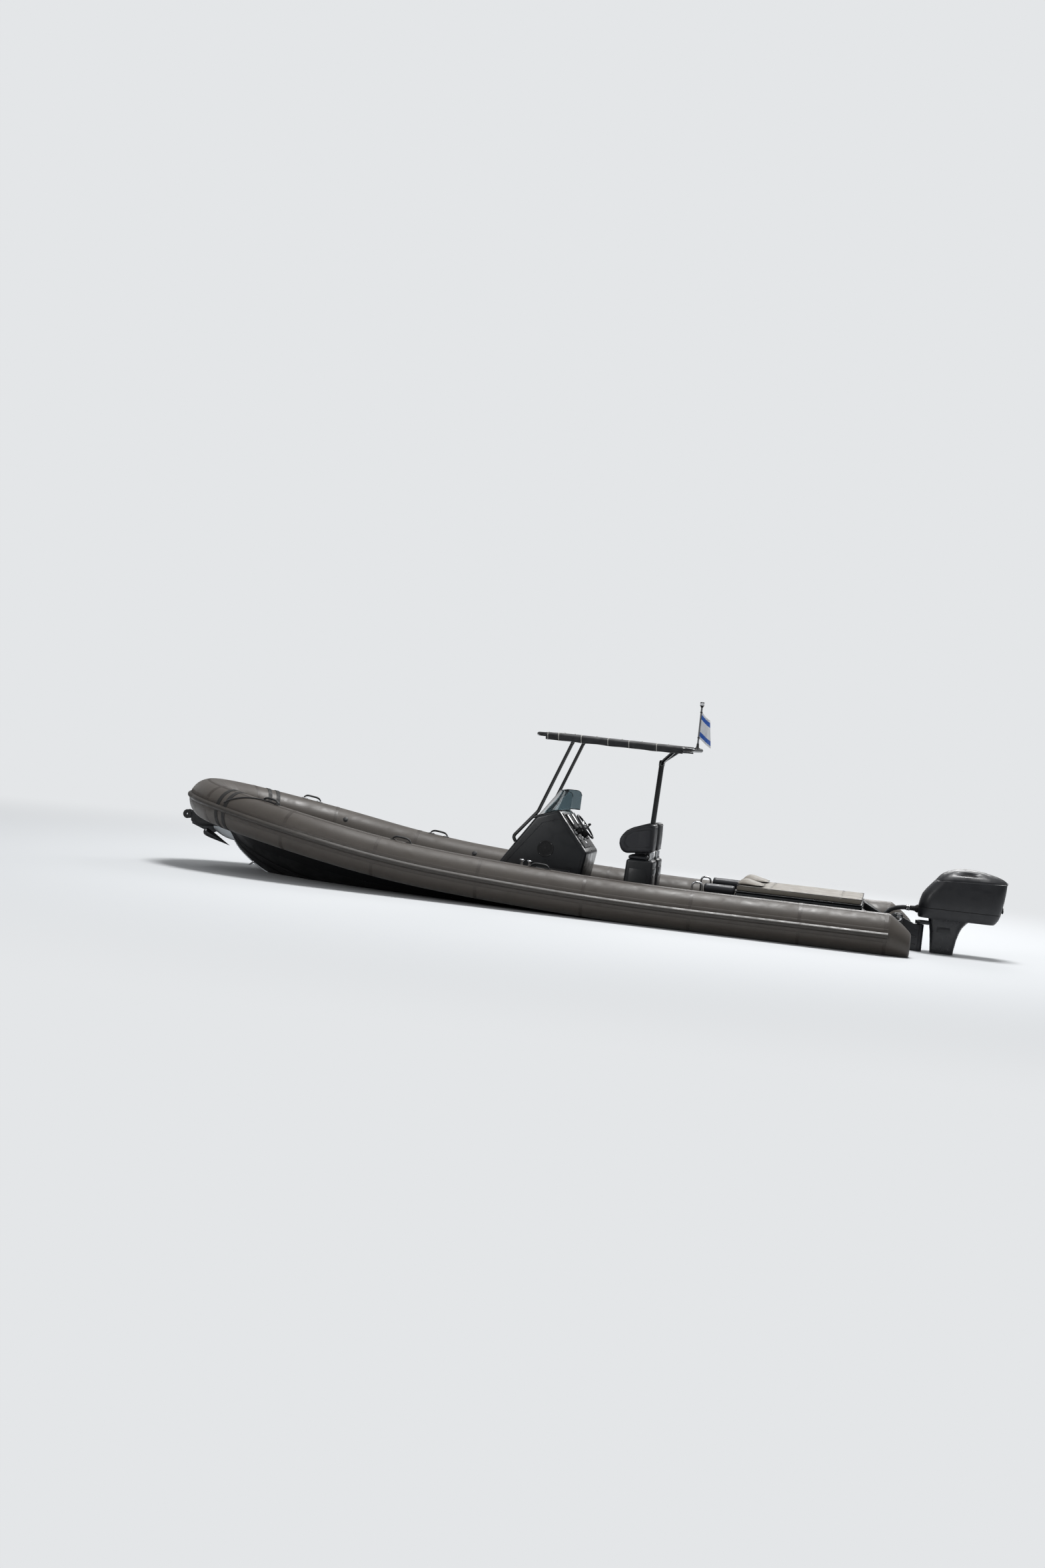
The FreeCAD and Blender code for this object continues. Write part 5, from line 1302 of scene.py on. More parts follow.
@dataclass
class TubeCollar:
    """The inflated collar with its seams, strake, bands, handles and mooring posts."""

    cone_length: float = 0.27
    cone_radius: float = 0.15
    # Share of the cone's length, and radius, of each of its rings from the tip
    cone_rings: Pairs = (
        (1.0, 0.02), (1.0, 0.07), (0.995, 0.11), (0.975, 0.135), (0.94, 0.146), (0.88, 0.158), (0.6, 0.196),
        (0.3, 0.224), (0.1, 0.242))
    cone_flat: float = 0.94
    # Height on the tube's side, and depth off it, of the strake's outer face
    strake_section: Pairs = (
        (-0.037, 0.0), (-0.037, 0.005), (-0.034, 0.009), (-0.026, 0.017), (-0.019, 0.025), (-0.013, 0.0295),
        (-0.006, 0.0305), (-0.002, 0.027), (0.002, 0.027), (0.006, 0.0305), (0.013, 0.0295), (0.019, 0.025),
        (0.026, 0.017), (0.034, 0.009), (0.037, 0.005), (0.037, 0.0))
    strake_root: tuple[float, ...] = (0.03, 0.0, -0.03)
    buried: float = 0.002
    band_width: float = 0.055
    band_thick: float = 0.005
    band_angle: float = math.radians(28.0)
    band_step: float = math.radians(2.2)
    tape_width: float = 0.045
    tape_thick: float = 0.0015
    tape_runs: tuple[float, ...] = (1.05, 2.35, 3.65, 4.95, 6.25, 7.4, 8.55)
    end_tape: float = 0.03
    # Angle round the tube, and the angle that it spans, of each lengthwise tape
    long_tapes: Pairs = ((0.0, 0.68), (math.radians(214), 0.24), (math.radians(74), 0.14))
    handle_places: tuple[float, ...] = (3.38, 1.655, -0.095)
    handle_length: float = 0.25
    handle_rise: float = 0.062
    handle_width: float = 0.044
    foot_angle: float = 0.30
    # How far past the handle's end, and height off the tube, of each row of its foot
    foot_rows: Pairs = (
        (0.012, -0.001), (0.010, 0.005), (-0.005, 0.009), (-0.045, 0.009), (-0.06, 0.005), (-0.062, -0.001))
    post_x: float = 0.12
    post_step: float = 0.046
    post_foot: float = 0.19
    post_clear: float = 0.251
    post_inset: float = 0.045
    post_profile: Pairs = (
        (-0.002, 0.034), (0.004, 0.034), (0.008, 0.026), (0.02, 0.022), (0.076, 0.022), (0.086, 0.0245),
        (0.093, 0.031), (0.099, 0.0358), (0.105, 0.037), (0.111, 0.0355), (0.116, 0.0305), (0.1195, 0.021),
        (0.121, 0.010), (0.1212, 0.001))
    valve_places: tuple[float, ...] = (-3.6, -1.0, 1.1, 2.9)
    valve_angle: float = math.radians(148)
    valve_profile: Pairs = (
        (0.0, 0.034), (0.003, 0.033), (0.005, 0.028), (0.006, 0.024), (0.011, 0.022), (0.012, 0.018),
        (0.0125, 0.001))

    def build(self) -> None:
        """Builds every piece of the collar."""
        self.tubes()
        self.strake()
        self.bands()
        self.handles()
        self.posts()
        self.valves()

    def ring(self, row: Step, radius: float, steps: int = 56) -> list[Vector]:
        """One ring of the tube's skin.

        Args:
            row: A row of the centre line.
            radius: The ring's radius.
            steps: Its number of corners.

        Returns:
            The ring's corners.
        """
        place, out, up, _ = row
        return [place + out * (math.cos(turn) * radius) + up * (math.sin(turn) * radius)
                for turn in turns(steps)]

    def tubes(self) -> None:
        """The inflated collar, one skin from end cone to end cone, with its glued tapes."""
        maker = Maker("tube_collar", TUBE_FABRIC, SEAM_TAPE)
        rows = SHEER.around()
        rings = [self.ring(row, SHEER.tube_radius) for row in rows]

        def cone(first: Step) -> list[list[Vector]]:
            """The rings of an end cone, from its rounded tip to the tube."""
            drop = SHEER.tube_radius - self.cone_radius
            made = []
            for share, radius in self.cone_rings:
                centre = first[0] - FORWARD * (self.cone_length * share)
                sunk = drop * (share if share < self.cone_flat else (share + self.cone_flat) / 2)
                made.append(self.ring((centre - UP * sunk, first[1], first[2], 0.0), radius))
            return made

        maker.rings(cone(rows[0]) + rings + list(reversed(cone(rows[-1]))))
        total = rows[-1][3]
        ends = [self.end_tape, total - self.end_tape]
        for run in [*self.tape_runs, *(total - place for place in self.tape_runs), *ends]:
            maker.rings(self.hoop(rows, run, self.tape_width, self.tape_thick), 1, capped=False,
                        looped=True)
        self.joint_tapes(maker, rows)
        maker.finished("hull", ("tube_port", "tube_starboard"), crease=40)

    def at(self, rows: Sequence[Step], run: float) -> Step:
        """The centre line's row at a length along it.

        Args:
            rows: The centre line.
            run: The length from its start.

        Returns:
            The row there, between its neighbours.
        """
        for before, after in zip(rows, rows[1:]):
            if before[3] <= run <= after[3]:
                share = (run - before[3]) / (after[3] - before[3])
                return (before[0].lerp(after[0], share), before[1].lerp(after[1], share).normalized(),
                        before[2].lerp(after[2], share).normalized(), run)
        return rows[-1]

    def hoop(self, rows: Sequence[Step], run: float, width: float,
             thick: float) -> list[list[Vector]]:
        """The rings of a thin band laid round the tube.

        Args:
            rows: The centre line.
            run: Where the band's middle lies.
            width: The band's width.
            thick: How far it stands off the skin.

        Returns:
            Rings that close on themselves.
        """
        edge, top = SHEER.tube_radius - self.buried, SHEER.tube_radius + thick
        return [self.ring(self.at(rows, run + width * share), radius)
                for share, radius in ((-0.5, edge), (-0.46, top), (0.46, top), (0.5, edge))]

    def joint_tapes(self, maker: Maker, rows: Sequence[Step]) -> None:
        """The doubled strips along the tube, under the strake and at the hull's edge.

        Args:
            maker: The piece that gets the strips.
            rows: The centre line.
        """
        section = [(-0.5, -self.buried), *((share, self.tape_thick)
                                           for share in (-0.47, -0.25, 0.0, 0.25, 0.47)),
                   (0.5, -self.buried)]
        for middle, wide in self.long_tapes:
            rings = []
            for place, out, up, _ in rows:
                ring = []
                for share, lift in section:
                    turn = middle + share * wide
                    radius = SHEER.tube_radius + lift
                    ring.append(place + out * (math.cos(turn) * radius) + up * (math.sin(turn) * radius))
                rings.append(ring)
            maker.rings(rings, 1, capped=False)

    def strake(self) -> None:
        """The extruded fender along the tube's outer side, with its two ribs."""
        maker = Maker("fender_strake", STRAKE_RUBBER)
        radius = SHEER.tube_radius
        rings = []
        for place, out, up, _ in SHEER.around():
            section = [*self.strake_section, *((high, -self.buried) for high in self.strake_root)]
            ring = [place + up * high + out * (math.sqrt(radius**2 - high**2) + deep)
                    for high, deep in section]
            rings.append(ring)
        maker.rings(rings)
        maker.finished("hull", ("rubbing_strake",), crease=50)

    def bands(self) -> None:
        """The pair of dark bands round each tube at the bow's shoulder."""
        maker = Maker("shoulder_bands", PATCH_RUBBER)
        rows = SHEER.line()
        for number in range(2):
            angle = self.band_angle + self.band_step * number
            rings = self.hoop(rows, SHEER.bow_run() + SHEER.long_radius * angle, self.band_width,
                              self.band_thick)
            maker.rings(rings, capped=False, looped=True)
        maker.mirrored()
        maker.finished("hull", ("bow_bands",), crease=40)

    def tube_frame(self, x: float) -> Matrix:
        """The frame of a tube's centre: its heading, outward and up.

        Args:
            x: The place along the boat.

        Returns:
            A matrix that takes a fitting's own frame there.
        """
        spread, level = SHEER.centre(x)
        ahead_spread, ahead_level = SHEER.centre(x + 0.01)
        heading = Vector((0.01, ahead_spread - spread, ahead_level - level)).normalized()
        across = UP.cross(heading).normalized()
        top = heading.cross(across)
        turn = Matrix((heading, across, top)).transposed().to_4x4()
        return Matrix.Translation((x, spread, level)) @ turn

    def handles(self) -> None:
        """The moulded grab handles: two glued feet and an arched grip."""
        for side, sign in SIDES:
            maker = Maker("grab_handle_set_" + side, NYLON, PATCH_RUBBER)
            for x in self.handle_places:
                single = Maker("one_handle", NYLON, PATCH_RUBBER)
                self.one_handle(single)
                frame = Matrix.Scale(sign, 4, PORTWARD) @ self.tube_frame(x)
                bmesh.ops.transform(single.mesh, matrix=frame, verts=single.mesh.verts)
                if sign < 0:
                    bmesh.ops.reverse_faces(single.mesh, faces=single.mesh.faces)
                data = as_data(single.mesh, "part")
                maker.mesh.from_mesh(data)
                bpy.data.meshes.remove(data)
            maker.finished("hull", ("grab_handles_" + side,), crease=38)

    def one_handle(self, maker: Maker) -> None:
        """One handle in its own frame: x along the tube, z out of it.

        Args:
            maker: The piece that gets it.
        """
        radius, half = SHEER.tube_radius, self.handle_length / 2
        for foot in (-1, 1):
            rings = []
            for past, lift in self.foot_rows:
                ring = []
                for step in range(9):
                    turn = (step / 8 - 0.5) * self.foot_angle
                    ring.append(Vector((foot * (half + past), math.sin(turn) * (radius + lift),
                                        math.cos(turn) * (radius + lift))))
                rings.append(ring if foot > 0 else list(reversed(ring)))
            maker.rings(rings, 1, capped=False, open_section=True)
        rings = []
        for step in range(31):
            share = step / 30
            x = (share - 0.5) * (self.handle_length - 0.02)
            lift = self.handle_rise - 0.015 - (abs(share - 0.5) * 2) ** 4.5 * (self.handle_rise - 0.026)
            edge = abs(x) / half
            wide = self.handle_width / 2 * (0.78 + 0.3 * edge**4)
            thick = 0.0125 + 0.003 * edge**6
            centre = Vector((x, 0, radius + lift))
            rings.append([centre + Vector((0, math.cos(turn) * wide, math.sin(turn) * thick))
                          for turn in turns(16)])
        maker.rings(rings, 0)

    def posts(self) -> None:
        """The twin polished mooring posts on their pedestals."""
        maker = Maker("mooring_posts", STAINLESS, PAINTED_MOULDING)
        frame = self.tube_frame(self.post_x)
        turn = frame.to_3x3()
        across = (-self.post_clear - self.post_inset
                  - math.sqrt(self.post_clear**2 - self.post_foot**2)) / 2
        for offset in (-self.post_step, self.post_step):
            foot = frame @ Vector((offset, across, self.post_foot))
            maker.lathe(self.post_profile, foot, (turn @ UP).normalized(), 0, 36)
        maker.box(frame @ Vector((0, across, self.post_foot - 0.004)), (0.158, 0.085, 0.012), 0.005, 0,
                  turn)
        maker.box(frame @ Vector((0, across, 0.02)), (0.17, 0.1, 0.32), 0.02, 1, turn, 3)
        maker.mirrored()
        maker.finished("hull", ("mooring_bollards",))

    def valves(self) -> None:
        """The inflation valves on the tubes' inner sides."""
        maker = Maker("tube_valves", NYLON)
        out = Vector((0, math.cos(self.valve_angle), math.sin(self.valve_angle)))
        for x in self.valve_places:
            frame = self.tube_frame(x)
            foot = frame @ (out * (SHEER.tube_radius - 0.001))
            maker.lathe(self.valve_profile, foot, frame.to_3x3() @ out, 0, 24)
        maker.mirrored()
        maker.finished("hull")


@dataclass
class DeepHull:
    """The deep V hull with its spray rails, decks, transom and coamings."""

    transom_x: float = -4.35
    transom_thick: float = 0.07
    rail_place: float = 0.52
    rail_width: float = 0.032
    chine_flat: float = 0.04
    sheer_inboard: float = 0.12
    sheer_below: float = 0.13
    cockpit_half: float = 0.895
    cockpit_bow_half: float = 0.6
    cockpit_end: float = 2.25
    cockpit_shoulder: float = 0.83
    floor: float = 0.038
    # Forward and after end, half width and depth of the anchor locker
    locker: tuple[float, float, float, float] = (0.88, 0.42, 0.21, 0.26)
    hatch_thick: float = 0.012
    latch_ahead: float = 0.47
    hinge_ahead: float = 0.915
    hinge_across: float = 0.12
    low_rail_share: float = 0.52
    tuck: float = 0.006
    # Station, keel level, half width and level of the chine
    stations: Rows = (
        (0.0, -0.45, 0.9, -0.042), (2.15, -0.45, 0.9, -0.042), (3.0, -0.45, 0.9, -0.042),
        (4.0, -0.447, 0.9, -0.033), (5.0, -0.432, 0.892, -0.005), (5.9, -0.398, 0.865, 0.055),
        (6.7, -0.33, 0.795, 0.13), (7.4, -0.195, 0.675, 0.23), (7.95, 0.015, 0.48, 0.35),
        (8.3, 0.25, 0.27, 0.465), (8.5, 0.505, 0.08, 0.59))

    def build(self) -> None:
        """Builds the hull and all that is fixed flat on it."""
        self.shell()
        self.decks()
        self.transom()

    def row_at(self, station: float) -> tuple[float, float, float]:
        """Keel, chine width and chine level between stations.

        Args:
            station: Distance forward of the transom.

        Returns:
            The three values, on a smooth curve through the table's rows.
        """
        rows = self.stations
        number = max(index for index in range(len(rows) - 1) if rows[index][0] <= station + 1e-9)
        first = rows[max(number - 1, 0)]
        near, far = rows[number], rows[number + 1]
        last = rows[min(number + 2, len(rows) - 1)]
        span = far[0] - near[0]
        share = (station - near[0]) / span
        values = []
        for column in (1, 2, 3):
            slope_near = (far[column] - first[column]) / max(far[0] - first[0], 1e-6) * span
            slope_far = (last[column] - near[column]) / max(last[0] - near[0], 1e-6) * span
            square, cube = share**2, share**3
            values.append((2 * cube - 3 * square + 1) * near[column]
                          + (cube - 2 * square + share) * slope_near
                          + (3 * square - 2 * cube) * far[column] + (cube - square) * slope_far)
        return values[0], values[1], values[2]

    def section(self, station: float) -> list[Vector]:
        """One closed section of the hull.

        Args:
            station: Distance forward of the transom.

        Returns:
            Its corners, port side first from the keel.
        """
        x = self.transom_x + station
        keel, chine, chine_level = self.row_at(station)
        spread, level = SHEER.centre(x)
        edge = (spread - self.sheer_inboard, level - self.sheer_below)
        place = self.rail_place
        rise = chine_level - keel
        flat = min(self.rail_width, chine * (1 - place) / 2)
        rail = (chine * place, keel + rise * place)
        low = (chine * place * self.low_rail_share, keel + rise * place * self.low_rail_share)
        tuck = self.tuck * min(1.0, chine / 0.3)
        half = [(0.0, keel), low, (low[0] + flat * 0.7, low[1] - tuck * 0.2),
                (low[0] + flat * 0.75, low[1] + rise / chine * flat * 0.7), rail, (rail[0] + flat, rail[1]),
                (rail[0] + flat + 0.002, rail[1] + rise / chine * flat),
                (chine, chine_level), (chine + self.chine_flat, chine_level), edge]
        port = [Vector((x, y, z)) for y, z in half]
        starboard = [Vector((x, -y, z)) for y, z in reversed(half[1:])]
        return port + starboard

    def shell(self) -> None:
        """The hull's skin with the cockpit, foredeck and anchor locker cut out of it."""
        maker = Maker("hull_moulding", GELCOAT)
        length = self.stations[-1][0]
        places = [length * step / 68 for step in range(68)] + [length - 0.06, length - 0.03, length]
        maker.rings([self.section(place) for place in sorted(set(places))])
        bmesh.ops.recalc_face_normals(maker.mesh, faces=maker.mesh.faces)
        cutters = [self.cockpit_cutter(), self.foredeck_cutter(), self.locker_cutter()]
        data = as_data(maker.mesh, "hull_skin")

        def cut(holder: bpy.types.Object) -> None:
            """Takes the three spaces out of the skin."""
            for tool in cutters:
                step = holder.modifiers.new("cut", "BOOLEAN")
                step.operation = "DIFFERENCE"
                step.solver = "EXACT"
                step.object = tool

        result = evaluated(data, cut)
        for tool in cutters:
            bpy.data.objects.remove(tool)
        settled("hull_moulding", result, (GELCOAT,), "hull", ("hull",), 24)

    def cutter(self, name: str, points: Sequence[Vector], lift: Vector) -> bpy.types.Object:
        """A flat outline pulled into a cutting block.

        Args:
            name: Its name.
            points: The outline's corners.
            lift: How far and which way it is pulled.

        Returns:
            The cutting object.
        """
        return linked(name, as_data(pulled(points, [point + lift for point in points]), name))

    def cockpit_cutter(self) -> bpy.types.Object:
        """The block that clears the cockpit."""
        back = self.transom_x + self.transom_thick
        plan = [(back, self.cockpit_half), (self.cockpit_shoulder, self.cockpit_half - 0.04),
                (self.cockpit_end, self.cockpit_bow_half)]
        points = [Vector((x, y, self.floor)) for x, y in plan]
        points += [Vector((x, -y, self.floor)) for x, y in reversed(plan)]
        return self.cutter("cockpit_space", points, UP * 2)

    def foredeck_cutter(self) -> bpy.types.Object:
        """The block that clears all above the foredeck."""
        points = [SHEER.bow_place(ahead, across, -self.sheer_below)
                  for ahead, across in ((-0.4, -2.4), (2.2, -2.4), (2.2, 2.4), (-0.4, 2.4))]
        return self.cutter("above_foredeck", points, SHEER.bow_up * 1.2)

    def locker_cutter(self) -> bpy.types.Object:
        """The block that clears the anchor locker."""
        front, back, half, deep = self.locker
        points = [SHEER.bow_place(ahead, across, -self.sheer_below - deep)
                  for ahead, across in ((back, -half), (front, -half), (front, half), (back, half))]
        return self.cutter("locker_space", points, SHEER.bow_up * (deep + 0.01))

    def decks(self) -> None:
        """The cockpit sole, the foredeck and the anchor hatch with its fittings."""
        refined("cockpit_sole", "tread_sole", (DECK,), "hull", 0.001)
        refined("foredeck", "tread_foredeck", (DECK,), "hull", 0.002)
        refined("anchor_hatch", "hatch_lid", (DECK,), "anchor_hatch", 0.003)
        latch = Maker("hatch_latch", STAINLESS, GASKET_AND_PAINTED_SHADE)
        above = self.hatch_thick - self.sheer_below
        turn = Matrix.Rotation(-SHEER.steep, 3, "Y")
        for extent, lift, round_by, finish in (((0.055, 0.075, 0.003), 0.0015, 0.001, 0),
                                               ((0.03, 0.05, 0.002), 0.0035, 0.0005, 1)):
            latch.box(SHEER.bow_place(self.latch_ahead, 0, above + lift), extent, round_by, finish, turn)
        latch.finished("anchor_hatch")
        hinges = Maker("hatch_hinges", STAINLESS)
        for across in (-self.hinge_across, self.hinge_across):
            hinges.box(SHEER.bow_place(self.hinge_ahead, across, above + 0.002), (0.04, 0.06, 0.003),
                       0.001, 0, turn)
            start = SHEER.bow_place(self.hinge_ahead - 0.03, across - 0.03, above + 0.005)
            hinges.cylinder(start, start + PORTWARD * 0.06, 0.005, 0, steps=14)
        hinges.finished("hull")

    def transom(self) -> None:
        """The transom board with its cap, and the quarter coamings."""
        refined("transom_board", "transom_bulkhead", (GELCOAT,), "hull", 0.008, 40)
        refined("quarter_coamings", "quarter_coaming_pair", (GELCOAT,), "hull", 0.012, 40)


@dataclass
class Studio:
    """The plain pale floor, soft lamps, world and camera."""

    pale: str = "#e4e6e8"
    floor_paint: str = "#c4c6c8"
    lens: float = 56.2
    sensor: float = 36.0
    pitch: float = math.radians(6.3)
    yaw: float = math.radians(9.0)
    dip: float = math.radians(0.61)
    place: tuple[float, float, float] = (-4.355, 30.46, 2.347)
    floor_half: float = 400.0
    floor_oval: tuple[float, float, float] = (0.66, 1.0, 1.0)
    floor_fade: tuple[float, float] = (4.5, 13.0)
    sky_light: tuple[float, float] = (0.10, 0.62)
    # Name, place, power in watts and width of each lamp
    lamp_rows: tuple[tuple[str, tuple[float, float, float], float, float], ...] = (
        ("key", (-3.0, -1.5, 20.0), 4700.0, 8.0), ("fill", (8.0, 17.0, 8.0), 560.0, 8.0),
        ("back", (-4.0, -13.0, 8.0), 700.0, 7.0))

    def build(self) -> None:
        """Builds the stage and the camera."""
        scene = bpy.context.scene
        scene.view_settings.view_transform = "Standard"
        self.world(scene)
        self.floor()
        self.lamps()
        self.camera(scene)

    def world(self, scene: bpy.types.Scene) -> None:
        """The even pale surround: plain to the camera and through glass, softer as light and in reflections.

        Args:
            scene: The scene that gets the world.
        """
        made = bpy.data.worlds.new("pale_surround")
        made.use_nodes = True
        tree = made.node_tree
        tree.nodes.clear()
        rays = add_node(tree, "ShaderNodeLightPath")
        seen = maths(tree, "MAXIMUM", rays.outputs["Is Camera Ray"], rays.outputs["Is Transmission Ray"])
        height = add_node(tree, "ShaderNodeSeparateXYZ", inputs={
            "Vector": add_node(tree, "ShaderNodeTexCoord").outputs["Generated"]})
        sky = add_node(tree, "ShaderNodeMapRange", inputs={
            "Value": height.outputs["Z"], "From Min": -0.05, "From Max": 0.75, "To Min": self.sky_light[0],
            "To Max": self.sky_light[1]})
        strength = add_node(tree, "ShaderNodeMix", {"data_type": "FLOAT"}, {
            0: seen, 2: sky.outputs["Result"], 3: 1.0})
        shade = add_node(tree, "ShaderNodeBackground", inputs={
            "Color": linear(self.pale), "Strength": strength.outputs[0]})
        add_node(tree, "ShaderNodeOutputWorld", inputs={"Surface": shade.outputs["Background"]})
        scene.world = made

    def floor(self) -> None:
        """The pale floor at the waterline, which melts into the surround and keeps the shadow."""
        data = bpy.data.meshes.new("pale_floor")
        half = self.floor_half
        data.from_pydata([(-half, -half, 0), (half, -half, 0), (half, half, 0), (-half, half, 0)], [],
                         [(0, 1, 2, 3)])
        made = linked("pale_floor", data)
        finish = bpy.data.materials.new("pale_floor_paint")
        finish.use_nodes = True
        tree = finish.node_tree
        tree.nodes.clear()
        place = add_node(tree, "ShaderNodeTexCoord").outputs["Object"]
        oval = add_node(tree, "ShaderNodeVectorMath", {"operation": "MULTIPLY"},
                        {0: place, 1: self.floor_oval})
        length = add_node(tree, "ShaderNodeVectorMath", {"operation": "LENGTH"},
                          {0: oval.outputs["Vector"]})
        far = add_node(tree, "ShaderNodeMapRange", {"interpolation_type": "SMOOTHSTEP"}, {
            "Value": length.outputs["Value"], "From Min": self.floor_fade[0],
            "From Max": self.floor_fade[1]})
        paint = add_node(tree, "ShaderNodeBsdfDiffuse", inputs={"Color": linear(self.floor_paint)})
        glow = add_node(tree, "ShaderNodeEmission", inputs={"Color": linear(self.pale), "Strength": 1.0})
        rays = add_node(tree, "ShaderNodeLightPath")
        seen = maths(tree, "MULTIPLY", far.outputs["Result"], rays.outputs["Is Camera Ray"])
        mixed = add_node(tree, "ShaderNodeMixShader", inputs={
            0: seen, 1: paint.outputs["BSDF"], 2: glow.outputs["Emission"]})
        add_node(tree, "ShaderNodeOutputMaterial", inputs={"Surface": mixed.outputs["Shader"]})
        data.materials.append(finish)

    def lamps(self) -> None:
        """Soft round lamps: a high key, a low fill on the camera's side and one from behind."""
        for name, place, energy, extent in self.lamp_rows:
            data = bpy.data.lights.new(name + "_lamp", "AREA")
            data.energy = energy
            data.shape = "DISK"
            data.size = extent
            made = bpy.data.objects.new(name + "_lamp", data)
            made.location = place
            made.rotation_euler = (-Vector(place)).to_track_quat("-Z", "Y").to_euler()
            bpy.context.scene.collection.objects.link(made)

    def camera(self, scene: bpy.types.Scene) -> None:
        """The camera where the photograph was taken from, rolled with the boat's own trim.

        Args:
            scene: The scene that gets the camera.
        """
        ahead = Vector((math.cos(self.dip) * math.sin(self.yaw), -math.cos(self.dip) * math.cos(self.yaw),
                        -math.sin(self.dip)))
        right = Vector((-math.cos(self.yaw), -math.sin(self.yaw), 0.0))

        def trimmed(direction: Vector) -> Vector:
            """A level direction as the trimmed boat sees it."""
            cosine, sine = math.cos(self.pitch), math.sin(self.pitch)
            return Vector((direction.x * cosine + direction.z * sine, direction.y,
                           direction.z * cosine - direction.x * sine))

        ahead, right = trimmed(ahead), trimmed(right)
        above = right.cross(ahead)
        data = bpy.data.cameras.new("photo_camera")
        data.lens = self.lens
        data.sensor_width = self.sensor
        data.sensor_fit = "AUTO"
        data.clip_end = 900
        made = bpy.data.objects.new("photo_camera", data)
        turn = Matrix((right, above, -ahead)).transposed().to_4x4()
        made.matrix_world = Matrix.Translation(self.place) @ turn
        scene.collection.objects.link(made)
        scene.camera = made


